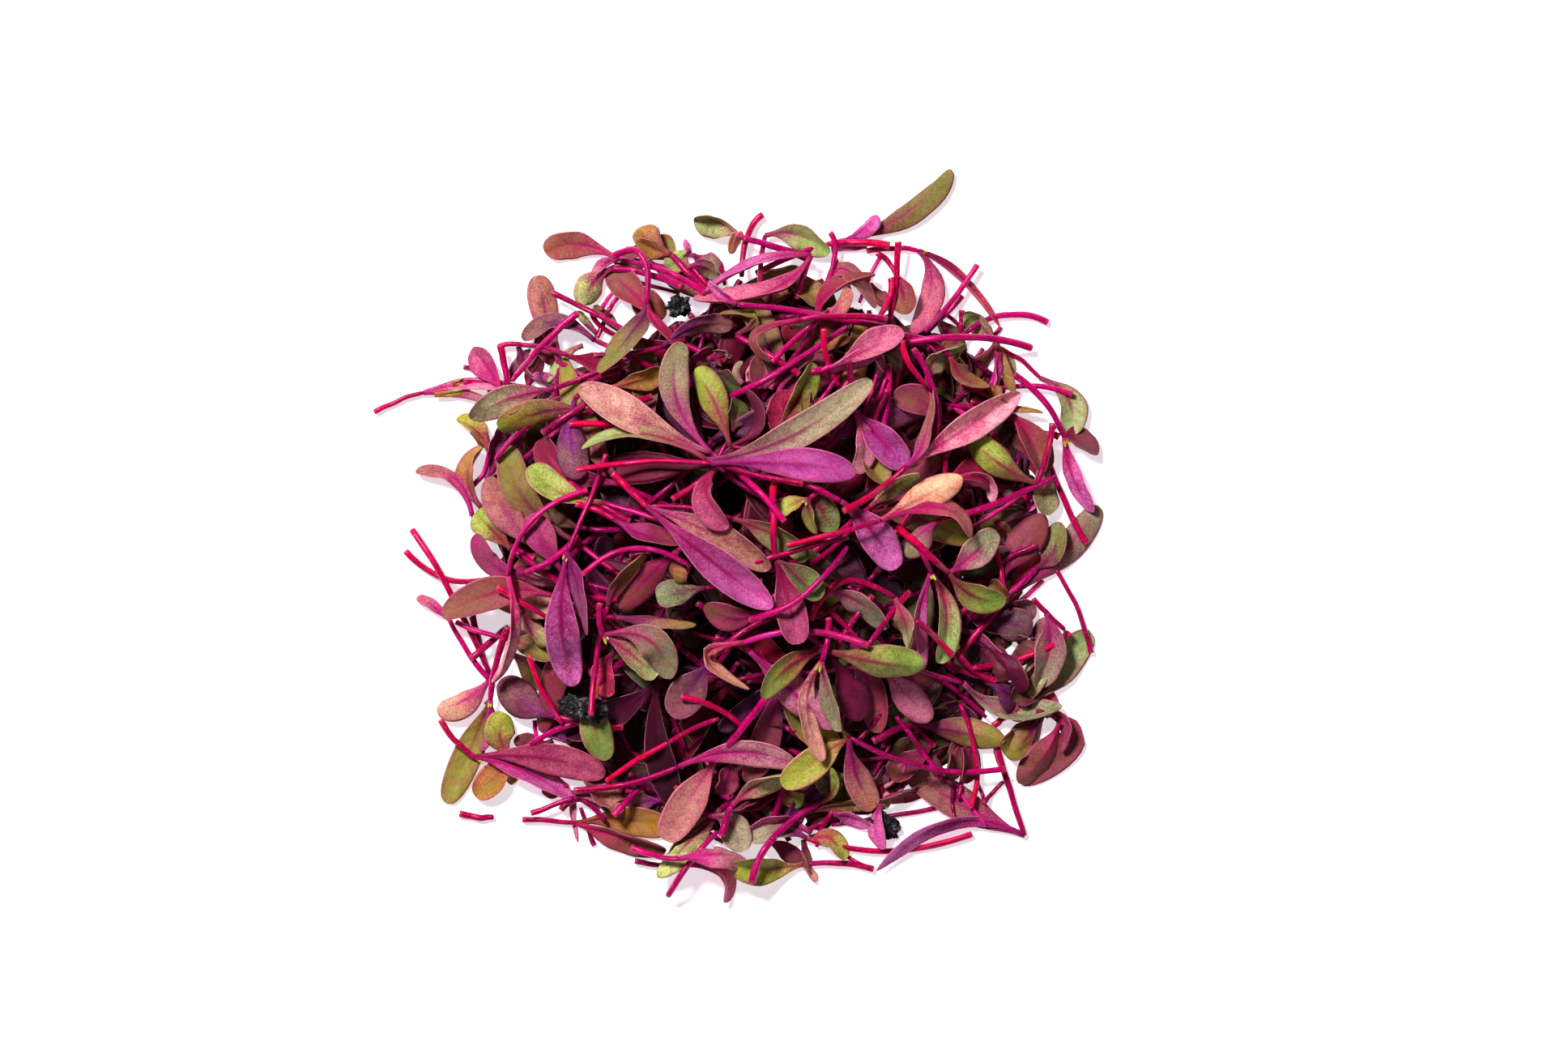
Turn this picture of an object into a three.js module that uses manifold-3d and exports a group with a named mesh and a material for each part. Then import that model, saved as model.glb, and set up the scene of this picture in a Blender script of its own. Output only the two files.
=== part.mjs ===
// A heap of cut beet microgreens: young sprouts with thin magenta stems and two narrow seed leaves each.
// Millimetres, +Z up. The origin is on the table, under the middle of the heap.
import * as THREE from "three";
import Module from "manifold-3d";
import { mergeVertices } from "three/addons/utils/BufferGeometryUtils.js";

// One sprout
const STEM_RADIUS = 0.55; // half the thickness of a stem
const NECK_RADIUS = 0.46; // half the thickness of the narrow foot of a leaf
const BLADE_HALF = 0.32; // half the thickness of a leaf blade
const LEAF_WIDTH = 4.2; // a grown leaf, laid flat
const LEAST_SHOWN = 0.62; // share of a leaf's width that shows where it is turned most on its edge
const WIDEST_AT = 0.6; // share of a leaf's length where it is widest
const NECK_SHARE = 0.1; // share of a leaf's length that is narrow stalk
const TIP_SHARE = 0.3; // width of a leaf's blunt tip, as a share of its full width
const STEM_PLACES = [0, 0.34, 0.67, 1]; // shares of a stem's length where it may bend
const LEAF_PLACES = [0.28, 0.56, 0.84, 1];
const SECOND_PLACES = [0.3, 0.66, 1];

// How sprouts lie on each other
const GAP = 0.4; // clear height between two pieces
const SINKS = [0.5, 0.75, 1]; // depths that sprouts of one piece may grow into each other
const LEAST_SINK = 0.24; // depths between which two strands hold together
const MOST_SINK = 0.95;
const LEAST_CONTACTS = 3;
const SIDE_MARGIN = 0.5; // clear width beside a piece
const TABLE_GAP = 0.1; // clear height under every sprout but the one that the heap rests on
const CELL = 0.3; // square of the height map
const MAP_HALF = 60; // the height map runs this far each way
const FINE_STEP = 0.5; // step along a strand when it is laid
const CROSS_STEP = 0.25; // step across a strand when it is laid
const STIFFNESS = 2.5; // length over which a strand bends
const FORK_REACH = 10; // length over which a raised fork lifts its stem and leaves
const MOST_SPROUTS_A_PIECE = 9;
const MATES_TRIED = 20;

// The heap bulges up over a loose, airy middle
const BULGE_HEIGHT = 14;
const BULGE_RADIUS = 44;

// Sprouts under the others, laid by rule on rings round the middle; they rise from the table by a share of
// the bulge
const FILL_RINGS = [
  { count: 5, radius: 8, rise: 0.2 },
  { count: 9, radius: 20, rise: 1 },
];
const FILL_STEM = 16;
const FILL_LEAF = 14;
const FILL_SPREAD = 0.9; // sideways reach of a leaf, as a share of its length forwards
const FILL_TONES = ["plum", "purple", "olive", "plum"];
const AT_ONCE = 0.001; // run over which a side leaf takes up its share of the bulge
const SEED = 23;

// Seed hulls
const HULL_PLACES = [0, 0.25, 0.5, 0.75, 1];
const HULL_SHAPE = [0.4, 0.85, 1, 0.8, 0.35]; // half widths along it, as shares of the greatest
const HULL_THICKNESS = 0.6; // share of its width

// The sprouts that show, from the lowest to the highest: the stem's tone, then its cut foot, middle and
// fork; then for each leaf its tone, its middle and tip, and the width that shows. A hull has its two ends
// and middle, and its width; an offcut is a short length of stem.
const TRACED = [
  // The rim and the lowest sprouts
  ["red", -50.3, 17, -47, 18.6, -43.5, 19.7, "pink", -36.5, 20.8, -28.5, 19.4, 1.8,
    "pink", -38.5, 19.5, -34.4, 18.2, 1.2],
  ["red", -46, -2, -39.5, -6.1, -31.5, -4.8, "sage", -28.8, -3.9, -25.8, -4.2, 2.6,
    "plum", -28, -5.6, -24.2, -6.2, 2],
  ["red", -45.1, 0.9, -40.2, -7, -34.2, -19.3, "rose", -37.7, -22.6, -41.7, -23.8, 3.3],
  ["magenta", -34.2, -19.8, -37.6, -15.6, -40, -11.3, "rose", -42.2, -9.6, -44.5, -8.5, 1.4],
  ["crimson", -36.9, -16.7, -34.2, -14.4, -31.8, -12.3],
  ["magenta", -39, -11.7, -35.3, -13.1, -32, -13.9, "olive", -28.8, -15.1, -25.4, -16.2, 3.4,
    "sage", -30, -12.5, -27.2, -13, 2.4],
  ["crimson", -31.8, -12.4, -33.4, -17, -34.3, -22.4, "olive", -36.6, -28, -40.4, -36.6, 4.2,
    "plum", -34.6, -26.2, -35.6, -29.4, 1.2],
  ["magenta", -21.2, -25.2, -26.2, -26.9, -31.2, -30.1, "gold", -33.2, -32.4, -36.3, -35.8, 3.8,
    "lime", -33, -27.5, -32.2, -24.2, 4.4],
  ["red", -41.1, -25.1, -38.7, -28.5, -36.4, -30.2, "violet", -29.6, -32.2, -23, -36.2, 3.2,
    "rose", -27.5, -30.2, -18.6, -32.7, 4.4],
  ["crimson", -30, -38.8, -26.2, -39, -22.6, -39.3, "rose", -16.8, -41.3, -10.2, -43, 2.8,
    "tan", -16.2, -38.8, -9.8, -40.2, 4],
  ["dark", -24.7, -37.5, -21.9, -36.2, -18.6, -39],
  ["crimson", -28.8, -37.9, -26, -36.9, -22.9, -35.7, "tan", -19, -35.8, -17, -38.2, 3.4],
  ["dark", -14.6, -44.5, -11.6, -45, -8.5, -45.1, "rose", -2.6, -45.9, -2.3, -50.2, 2.2],
  ["hull", 18, -38, 20, -39.2, 21.6, -41.4, 3],
  ["hull", -10.2, 31.4, -8.6, 32, -6.8, 31.6, 3.4],
  ["offcut", -38.6, -38, -36.2, -38.4, -33.9, -38.5],
  ["crimson", 3.5, -33, 0.5, -35, -2.8, -37.3, "olive", -6.4, -40.4, -10, -44, 3.4,
    "sage", -6.8, -41.8, -11.5, -46.6, 3.2],
  ["magenta", -10, -49.2, -7, -44.6, -3.2, -40.4],
  ["magenta", -15, -42.5, -11.8, -43.6, -8.3, -44, "rose", -4, -43.6, 0.7, -44.3, 3],
  ["crimson", -9, -34, -6.5, -36.5, -4, -38.3, "olive", -0.2, -39.2, 1.2, -43.6, 4],
  ["crimson", 18.2, -45.6, 13.5, -44.8, 8.6, -44.9, "lime", 3.6, -45.6, -1.4, -44.9, 4,
    "bronze", 9.4, -46, 10.3, -47.4, 1],
  ["red", 31.7, -40.8, 20, -43.1, 9, -41.4, "rose", 5.4, -40.2, 1.5, -41.8, 2.4,
    "green", 12.2, -41.6, 14.2, -44.3, 2.4],
  ["crimson", 34.8, -27.5, 36.3, -33.2, 38.9, -41, "tan", 31.6, -37.6, 22.4, -31.7, 4.8,
    "violet", 28.5, -39.3, 18.6, -45.8, 2.6],
  ["magenta", 35, -19, 38.5, -22, 41.6, -24.3, "bronze", 45.2, -27.6, 38.2, -33.8, 4.4,
    "olive", 39.5, -27, 37, -29.8, 3.8],
  ["crimson", 34.5, -26, 36, -25, 37.6, -24, "olive", 42.4, -19, 47.9, -13, 5.2,
    "sage", 39.6, -20.5, 41.2, -16.2, 2.8],
  ["dark", 18, -28, 21, -26.5, 24, -25.6, "olive", 29.6, -26.6, 36.2, -28, 4],
  ["red", 31.4, -37.3, 32.2, -30.5, 30, -22.9],
  ["magenta", 27.5, -33.2, 24.4, -28.8, 21.2, -24.6],
  ["crimson", 48, -16, 46.4, -10.6, 43, -4.2],
  ["crimson", 30, -16, 33.4, -12, 37.6, -7.6, "sage", 44.2, -2.2, 49, 4.2, 4.2],
  ["magenta", 33, -11, 37, -7.6, 40.6, -4.2, "green", 42.6, -2.4, 43.6, 2, 3.6],
  ["crimson", 28, -12, 32, -9, 36, -5.4, "bronze", 38.2, -1.8, 41.6, 3, 5],
  ["crimson", 34.5, 26.2, 38, 24.3, 41, 21.7, "sage", 45, 18.6, 44.8, 13.9, 3.2],
  ["magenta", 45.4, 19.4, 40, 20.6, 34, 20],
  ["magenta", 37.3, 22.2, 41.2, 18.9, 44.3, 13.6, "pink", 45.6, 8.4, 48.3, 3.3, 2.8,
    "bronze", 45.6, 13.6, 48.9, 11.2, 2.6],
  ["crimson", 47.4, -1.1, 44.4, 4.6, 41.6, 12.2, "green", 41.4, 6.6, 42.4, 3, 3.4],
  ["red", 43.6, 13.6, 42, 14, 37.5, 14.8],
  ["crimson", 30, 21, 33.6, 19.4, 36.6, 17, "bronze", 39.6, 13.6, 41.6, 8.6, 3.8],
  ["magenta", 42.1, 29.3, 36.5, 30.4, 31, 28, "olive", 29, 25.4, 30.8, 22.4, 3],
  ["magenta", 17.2, 39.1, 20.8, 39.6, 24.4, 39.1, "pink", 29.8, 35.8, 35.4, 28.8, 1.8,
    "plum", 26, 34.8, 23.3, 27.8, 4],
  ["crimson", 18.6, 38.8, 20.2, 37.6, 21.2, 35.8, "bronze", 22.3, 33.4, 22, 30.4, 3],
  ["magenta", 2, 36, 8, 38.7, 14.6, 40.7, "olive", 22.9, 44.2, 28.8, 50.3, 4,
    "violet", 17, 42, 18.7, 44, 2],
  ["red", 20.4, 39.8, 16, 40.3, 11.8, 40],
  ["magenta", 12.2, 41.6, 13, 38.6, 11.4, 33.6, "violet", 14.2, 36.4, 18.4, 31.2, 3.2],
  ["crimson", 2.6, 33, 2.8, 37.8, 3.3, 41.2, "sage", 7.8, 41.2, 12, 38.6, 3.8],
  ["red", 3, 44.1, 0.9, 41.2, 0.1, 35.5],
  ["magenta", 9.2, 38, 4.6, 39.6, 0.2, 40.8, "sage", -3.2, 42.7, -6.5, 43.2, 2.6,
    "olive", -0.6, 41.4, -1.4, 38.6, 1.6],
  ["dark", -1, 30, -3.5, 33, -6.8, 36.9, "sage", -8.3, 37.5, -9.3, 38.9, 3, "olive", -5, 37, -2.9, 35.4, 3],
  ["crimson", -4, 33, -7, 36, -9.6, 38.6, "tan", -12.3, 40.2, -14, 42.3, 3.4,
    "lime", -12, 39.3, -14.2, 40.4, 2.4],
  ["crimson", -2, 24, -7, 26, -11.5, 29.3, "bronze", -15, 33.6, -18.3, 36.6, 4.2],
  ["magenta", -8, 34, -13, 36, -17.8, 36.6, "sage", -20.4, 34.6, -21.4, 31.6, 3.8],
  ["magenta", -5, 33.2, -10.5, 36.2, -16.8, 38, "rose", -22.3, 40, -26.9, 38.9, 3.6,
    "rose", -19, 37, -19.9, 35.2, 1.4],
  ["magenta", -15, 18, -20, 22, -25, 26.5, "tan", -27.2, 31.3, -27.8, 35.6, 3.8],
  ["crimson", -22, 15, -28, 18, -32.5, 19.5, "violet", -35, 23.4, -36.9, 25.7, 3.8],
  ["crimson", -33.3, 26, -29, 26.3, -23.5, 24.6, "plum", -20, 23.5, -16.5, 22, 2.5],
  ["crimson", -33, 26.2, -32.4, 23.6, -32, 20.5],
  ["crimson", -25.9, 33.4, -20, 30.4, -13.5, 26.8, "plum", -10.6, 25.6, -7.6, 24.4, 2.4],
  ["dark", -10, 22, -15, 24.5, -20, 26.8, "plum", -25, 29.2, -29.8, 26.8, 1.8],
  // The middle of the left side
  ["magenta", -38.2, 5.7, -35.2, 8.8, -34.6, 11.8, "lime", -36.2, 14.6, -39, 16, 2.2],
  ["crimson", -26, -2, -30.6, 0.6, -35.4, 3.8, "gold", -37.6, 8.2, -35.4, 12.2, 2.6],
  ["crimson", -28, -3, -32.6, -0.6, -36.8, 2.8, "pink", -39.4, 7.8, -44.6, 8.8, 1.6],
  ["crimson", -22, -8, -26.4, -5, -31.2, -1.8, "lime", -33.8, 0.8, -36.3, 3.2, 4.2],
  ["magenta", -18, -9, -22, -6, -26.8, -2.4, "tan", -31.8, 2.8, -34.2, 8.2, 4.8],
  ["crimson", -14, -7, -18, -4, -22.4, -0.8, "olive", -29.6, 5.2, -31.4, 12.4, 4.4],
  ["magenta", -24, 18, -29.6, 14.6, -33.4, 10.4],
  ["crimson", -15, 2, -19, 4.4, -23.6, 7.6, "bronze", -26, 10.6, -27, 13.4, 3.8],
  ["crimson", -12, 19, -16, 18, -20.8, 17, "olive", -27, 17, -33, 14.6, 3.8],
  ["crimson", -16, 24, -21, 21.8, -25.6, 20, "grey", -31.4, 18.8, -36.8, 16, 4.2],
  ["magenta", -16, -13, -20, -9, -24.4, -4.6, "rose", -27, -0.4, -30, 3.6, 4.2],
  ["magenta", -22, 0, -25.6, -3, -29.4, -5, "violet", -33.8, -3.6, -36, 0.4, 2.8],
  ["crimson", -14, -9, -19.6, -8.4, -25.2, -8.2, "bronze", -33, -7.6, -40.8, -11, 4.8],
  ["magenta", -6, 1, -12, 2.6, -18.6, 4.6, "sage", -24.8, 6.2, -28.4, 9.8, 3.4],
  ["dark", -16, 23, -19.6, 21.4, -22.6, 18.6, "purple", -23, 12.6, -21.8, 7.8, 4.6],
  ["dark", -31.4, -4, -30.8, -7, -29.6, -10.4, "sage", -28.2, -13.2, -26.2, -14.8, 2],
  ["red", -33.2, -6.9, -30, -9, -26.4, -11],
  ["magenta", -22.3, 30.5, -26.5, 26.8, -31, 21.3],
  // The middle of the foot of the heap
  ["crimson", -16, -26, -20.6, -25.6, -25.4, -24.6, "grey", -29.6, -22.8, -32.4, -19.2, 5],
  ["red", -28.9, -16.2, -27.2, -20.8, -24.4, -25.6],
  ["dark", -12, -14, -16, -17, -19.4, -20.4, "green", -20, -25.4, -18, -30.4, 4.4],
  ["hull", -24.8, -22.4, -21.4, -23, -17.8, -24.6, 3.6],
  ["crimson", -8, -11, -12.6, -13.4, -17, -15.6, "violet", -18.6, -18.4, -17.4, -21.6, 3.8],
  ["dark", 18, -8, 15, -12, 12.6, -16.4, "plum", 14.8, -20.6, 16.2, -25.2, 4.4],
  ["dark", -6, -9, -2, -12, 1.2, -15.6, "rose", 7, -21, 13, -26, 4.8],
  ["crimson", 12, -10, 15.6, -13.6, 19.4, -17.8, "pink", 22.4, -21.4, 26.2, -24.9, 4.6],
  ["magenta", 18, -15, 24, -18, 30.4, -20, "tan", 36.4, -23.9, 44, -23.2, 3.8],
  ["crimson", 34.9, -19.9, 31.8, -18.2, 28.8, -15],
  ["red", 45.1, -13.2, 39, -16.4, 31.6, -18],
  ["dark", 4, -11, -0.5, -13.4, -4.2, -16.8, "grey", -6.6, -20.6, -9.6, -24.4, 5.2],
  ["red", -8.2, -21.8, -3.4, -23.4, 0.6, -26.2],
  ["magenta", -17.4, -38.2, -15.6, -36.2, -13.4, -34],
  ["magenta", 4.4, -20.8, 0.6, -25.6, -3, -30, "tan", -6.6, -35.4, -10.4, -41.6, 4.2],
  ["red", -18.4, -33.5, -10.6, -28.4, -3, -24.8],
  ["crimson", -22.9, -34.8, -15.4, -33.8, -8.4, -31.4, "pink", 0, -29.4, 7.6, -31.4, 3.6],
  ["magenta", -2.6, -41, -2.2, -39, -1.2, -36.8, "sage", 2.6, -33.9, 7.3, -32.9, 3],
  ["magenta", 36.2, -31.8, 25.2, -31.5, 14.8, -27.3, "lime", 10.6, -30.4, 5.6, -34, 4.4,
    "tan", 15.6, -32.6, 18.4, -37.2, 3.6],
  ["magenta", 1.5, -47.4, 4.4, -41.2, 11, -36.4, "gold", 12.8, -34.6, 12.4, -31.6, 0.9],
  // The middle of the head of the heap
  ["crimson", 28, 6, 27.8, 10, 27.2, 14, "plum", 25.4, 18, 20.8, 18.8, 3.8],
  ["crimson", 26.8, 12, 26.4, 16.6, 25.6, 20.8, "olive", 26.6, 24, 30.8, 26.2, 2.6],
  ["dark", 22, 27.4, 25.6, 26.6, 28.6, 24.6, "gold", 30.4, 21.8, 34, 20.5, 2.6],
  ["dark", 4, 20, 7.5, 25, 10.5, 29.5, "bronze", 12.2, 33.6, 18.4, 35.8, 2, "rose", 13.2, 31, 14.3, 34, 3],
  ["red", 21.5, 40.3, 21.3, 36.5, 20.3, 29],
  ["red", 20.5, 35.4, 19.7, 31.2, 15.4, 25.8],
  ["magenta", 32.4, 37.2, 29, 32.4, 25.2, 28],
  ["dark", -20, 24.6, -15, 25, -10.6, 25.8, "grey", -6, 28.9, -1.2, 28.6, 2.2],
  ["crimson", 8, 22, 4, 24.6, -0.6, 27.4, "tan", 1.9, 29.8, -2.8, 30.4, 1.6],
  ["dark", 7.6, 32.5, 8.6, 35.8, 9.6, 38.4, "pink", 3.8, 33.9, -6.5, 32.4, 3.2,
    "pink", 2.3, 37.6, -4.8, 33.4, 1.3],
  ["magenta", 20.5, 28.3, 10, 30.3, -0.5, 31.6, "rose", -2.6, 33, -4.4, 34.8, 1.2],
  ["magenta", -17.6, 38.3, -13.4, 38.2, -12.9, 31.5, "olive", -14.6, 27.8, -19.4, 22.3, 2.8,
    "gold", -11, 28.5, -7, 24.9, 1.3],
  ["magenta", 4.2, 23.6, 7.6, 27, 12, 30.8],
  ["magenta", -2.1, 18.7, 6.2, 23, 14.4, 28.6],
  ["crimson", 20, 29.6, 13, 30, 8, 29.4, "rose", 2, 27.4, 4.2, 23.7, 1.2],
  ["red", 11.3, 28.2, 11.7, 24, 13.4, 20.4],
  ["magenta", 39.8, 25.8, 31, 27.2, 20.5, 26, "violet", 16.4, 24.2, 12, 22.4, 3],
  ["magenta", 9.3, 22.2, 11, 22.7, 12.6, 23.1, "pink", 17.5, 25.6, 22.2, 27.9, 3.6],
  ["magenta", 20.2, 23.4, 20, 19, 19.4, 14.6],
  ["magenta", 23.5, 25.6, 26, 20.6, 26.9, 14.6],
  ["red", 21.9, 26.6, 23, 23.4, 25.4, 20.4],
  // The middle of the heap
  ["dark", 20, 20, 18.6, 16.6, 17.6, 13, "olive", 18, 10, 19.8, 7, 3.8],
  ["dark", 14.6, 24, 15, 20.6, 15.4, 17.2, "purple", 18.8, 13.4, 22.4, 9.6, 4.4,
    "cream", 16.9, 12.6, 15.7, 8.6, 2.4],
  ["dark", 14, 6, 9, 9, 4, 12.6, "crimson", 5.6, 16.2, 6, 19.8, 4, "green", 8.2, 18.6, 9.8, 23.6, 3],
  ["dark", 12, 14, 5, 12.2, -1.4, 12.2, "green", -3.6, 18.4, -6.2, 22.8, 4.4,
    "rose", 2.4, 15.4, 0.6, 20, 1.6],
  ["dark", 2, 11, 5, 9.4, 8.6, 6.6, "sage", 10.6, 4, 12.8, 0.6, 4.2],
  ["crimson", 15, 9, 12.4, 7.6, 9.2, 5, "lime", 7, 4.4, 5, 3, 1.8, "sage", 9.4, 2.6, 10.4, 0.4, 1.6],
  ["crimson", -12, 4, -6.6, 3.8, -1, 2.4, "olive", 4.2, 0.4, 9.2, -3, 3.4],
  ["red", -22.5, 4.4, -19.6, 3.6, -17, 2.2, "plum", -12.6, 0.2, -7.6, -0.8, 2.8],
  ["crimson", -1.5, 1.6, -5, 0, -8.6, -2, "plum", -12.6, -5.6, -16.4, -9.8, 4.4,
    "gold", -8.8, -4.4, -8.2, -6.4, 2.4],
  ["dark", 3, -6, -1, -6.4, -4.8, -7, "sage", -8.4, -7.6, -11.4, -8.4, 3.6],
  ["dark", -22, -10.4, -19.6, -10.8, -17, -11, "olive", -11.4, -11.6, -6, -12, 1.8],
  ["crimson", -20.3, -24.3, -19.6, -16.6, -18, -9.4, "olive", -16.6, -6.2, -13, -2.4, 1.8],
  ["magenta", -19, -9, -19.2, -11.4, -18.6, -13.4, "pink", -12.4, -14, -10, -19.4, 4.8,
    "green", -14.4, -16.4, -11.4, -19, 3.6],
  ["crimson", 8, -5, 5.4, -7.4, 2.8, -9.8, "plum", -0.8, -11, -4.8, -9.2, 3.6],
  ["dark", 6, -2.6, 8.4, -4.8, 11.4, -7.2, "olive", 16, -9, 20, -12.6, 3.4],
  ["crimson", 10, -2, 14, 1, 17.6, 4, "sage", 20.8, 6.6, 24.4, 8.4, 3],
  ["crimson", 20, -1, 24, 4, 27.6, 7.4, "plum", 31.4, 8.8, 33.9, 8, 3.6, "pink", 33.2, 7.8, 34.4, 4.6, 2],
  ["red", 33, 3.4, 30, 3, 26.6, 2, "sage", 24.4, 0, 22.2, -2.6, 3.4],
  ["magenta", 30.6, 3, 36.5, 5.2, 43.2, 8.2],
  ["crimson", 42.6, 15.5, 41.8, 11, 40.4, 7.2, "lime", 35.5, 9.8, 31, 13.9, 4.4],
  ["dark", 40.4, -1.2, 37.8, -2.4, 35.2, -3.9],
  ["red", 34.9, -1.6, 35.5, -4.4, 36, -7.6],
  // The top of the heap
  ["magenta", -18.3, 11.2, -20.9, 4, -23.6, -2.2, "violet", -24.4, -12, -22.6, -20.4, 4.8,
    "pink", -22, -6.6, -20.8, -13.4, 2.2],
  ["magenta", -20.8, 6.3, -28.4, 2.2, -31.6, -5.4, "pink", -31, -13.4, -34, -20, 2.2],
  ["magenta", -21.4, -5.2, -14.6, -1.6, -6.8, -4],
  ["crimson", 23, -7.6, 20, -11, 17.4, -14.8],
  ["magenta", 21.6, 1.2, 24.2, -1.6, 25.9, -5, "sage", 28.2, -10.6, 26.9, -17.3, 3.2,
    "violet", 24.3, -11.6, 24.9, -18, 2],
  ["red", 9.5, -11.3, 14, -6.2, 21, -8.4, "sage", 22.5, -12, 22.8, -15.4, 2.8],
  ["red", 28.8, -16.2, 26.3, -13.6, 23.8, -11.4],
  ["red", 21.2, 1.5, 24.8, -1.8, 28.4, -5, "gold", 31.6, -2.6, 34.8, 0.8, 4.2,
    "olive", 31.6, -8, 36.2, -8.8, 4],
  ["magenta", 4, -10.5, 8, -12.6, 11.4, -15.4, "lime", 18.4, -16.9, 25, -17.4, 4.8,
    "green", 6.4, -17.6, 3, -22, 3.6],
  ["magenta", 11.9, -11, 11.9, -13.6, 11, -17, "gold", 8.8, -23, 11.3, -30.6, 2,
    "lime", 12, -21.6, 13.4, -26.6, 1.8],
  ["pink", 17.4, -14.8, 9, -12.9, 0.4, -14.4, "cream", -4.6, -16.4, 1.2, -20.8, 2.4],
  ["crimson", 4.5, 9.4, 9.5, 6.8, 13.6, 4.8, "violet", 17.6, 1, 21.2, -4.4, 4.8],
  ["red", 4.5, 7.4, 4.4, 2.2, 4.7, -3, "rose", 6.4, -8.5, 7.8, -14.6, 4.2, "sage", 8, -5.6, 10.9, -8.4, 3],
  ["crimson", -0.2, -4.4, 7, -2, 14.6, -0.2],
  ["magenta", 1.2, -11.3, 8.4, -8, 14.5, -1.4],
  ["red", 6.2, -1.2, 13, 0.4, 19, 2.2, "cream", 24.5, 5.2, 30.2, 8, 4.2,
    "salmon", 27.4, 3.9, 31.2, -0.2, 2.6],
  ["red", 13.9, 3.4, 18.6, 6.2, 22.6, 9.6, "pink", 30.2, 14.4, 38.2, 19.6, 4.2,
    "gold", 25.2, 13.4, 26.2, 20, 1.8],
  ["red", -17.4, 8.6, -15, 6.2, -12.6, 4, "violet", -3.8, -3.4, 4.4, -9.6, 4.8,
    "grey", -4, 0.6, 4, -4.4, 4.2],
  ["red", -23.4, 15.2, -15.6, 15, -8, 13],
  ["dark", -27, 14, -22, 17.5, -17.6, 20.2, "olive", -13.6, 21.4, -10, 22.3, 2.4],
  ["magenta", 6, 2, 1, 7.5, -4, 11.3, "salmon", -13.8, 15.8, -22, 20.4, 5,
    "sage", -8.8, 19, -7.8, 26.3, 4.2],
  ["crimson", -9.3, 5, -6.4, 6.8, -3.2, 9.2, "violet", -4.8, 5.5, -1.5, 1.2, 3.2],
  ["crimson", 8.5, 7.1, 2, 8.5, -4.6, 10.4, "grey", 6.5, 13.4, 17.8, 21.2, 4.4,
    "sage", -13.5, 14, -21.6, 11.9, 1.9],
  ["red", -22.3, 9, -13, 10.2, -4, 9.9, "violet", 7.6, 9.9, 15.6, 8.4, 4.6],
];

const STEM_TONES = { red: 0xdc1446, crimson: 0xb90f3c, magenta: 0xc8147a, pink: 0xd93a8c, dark: 0x870a37 };
const LEAF_TONES = {
  violet: 0xa53c82, pink: 0xc36496, rose: 0xb4646e, tan: 0xaa7864, salmon: 0xdc9686, cream: 0xdcaf8c,
  crimson: 0xa01441, bronze: 0x825046, plum: 0x5f3246, purple: 0x50285a, grey: 0x735a64,
  olive: 0x7d7346, sage: 0x7d8764, lime: 0x96aa3c, green: 0x6e8c3c, gold: 0xb9a04b,
};

// Repeatable draws between 0 and 1
let drawState = SEED;
function draw() {
  drawState = (drawState * 1664525 + 1013904223) % 4294967296;
  return drawState / 4294967296;
}

// A point on the curve that runs through three plan points
function through(a, b, c, share) {
  const first = (1 - share) * (1 - 2 * share);
  const middle = 4 * share * (1 - share);
  const last = share * (2 * share - 1);
  return [a[0] * first + b[0] * middle + c[0] * last, a[1] * first + b[1] * middle + c[1] * last];
}

// Half the width of a leaf at a share of its length
function leafHalfWidth(half, share) {
  if (share <= NECK_SHARE) return NECK_RADIUS;
  if (share < WIDEST_AT) {
    const rise = (share - NECK_SHARE) / (WIDEST_AT - NECK_SHARE);
    return NECK_RADIUS + (half - NECK_RADIUS) * rise * rise * (3 - 2 * rise);
  }
  const past = (share - WIDEST_AT) / (1 - WIDEST_AT);
  return half * Math.max(Math.sqrt(Math.max(1 - past * past, 0)), TIP_SHARE);
}

// Stations of a leaf after its fork: plan point, half width, half thickness and how far it is turned
function leafStations(fork, leaf, turn, places) {
  const likely = Math.min(Math.max(LEAF_WIDTH, leaf.width), leaf.width / LEAST_SHOWN);
  const full = Math.max(likely, 2 * NECK_RADIUS);
  const shown = Math.min(leaf.width / full, 1);
  const edge = turn * Math.sqrt(Math.max(1 - shown * shown, 0));
  return places.map((share) => {
    const grown = Math.min(share / places[1], 1);
    const point = through(fork, leaf.middle, leaf.tip, share);
    return {
      x: point[0], y: point[1], half: leafHalfWidth(full / 2, share),
      thick: NECK_RADIUS + (BLADE_HALF - NECK_RADIUS) * grown, rise: edge * grown,
    };
  });
}

function stemStations(sprout) {
  return STEM_PLACES.map((share) => {
    const point = through(sprout.foot, sprout.middle, sprout.fork, share);
    return { x: point[0], y: point[1], half: STEM_RADIUS, thick: STEM_RADIUS, rise: 0 };
  });
}

// Sets each station's sideways direction, and narrows a leaf where it bends sharply
function aim(stations) {
  const last = stations.length - 1;
  stations.forEach((station, i) => {
    const before = stations[Math.max(i - 1, 0)];
    const after = stations[Math.min(i + 1, last)];
    const dx = after.x - before.x;
    const dy = after.y - before.y;
    const length = Math.sqrt(dx * dx + dy * dy);
    station.nx = -dy / length;
    station.ny = dx / length;
    if (i > 0 && i < last) {
      const ax = station.x - before.x;
      const ay = station.y - before.y;
      const bx = after.x - station.x;
      const by = after.y - station.y;
      const al = Math.sqrt(ax * ax + ay * ay);
      const bl = Math.sqrt(bx * bx + by * by);
      const kx = bx / bl - ax / al;
      const ky = by / bl - ay / al;
      const bend = Math.sqrt(kx * kx + ky * ky);
      station.half = Math.min(station.half, (0.8 * Math.min(al, bl)) / Math.max(bend, 0.01));
    }
    station.flat = Math.sqrt(1 - station.rise * station.rise);
  });
}

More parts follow.
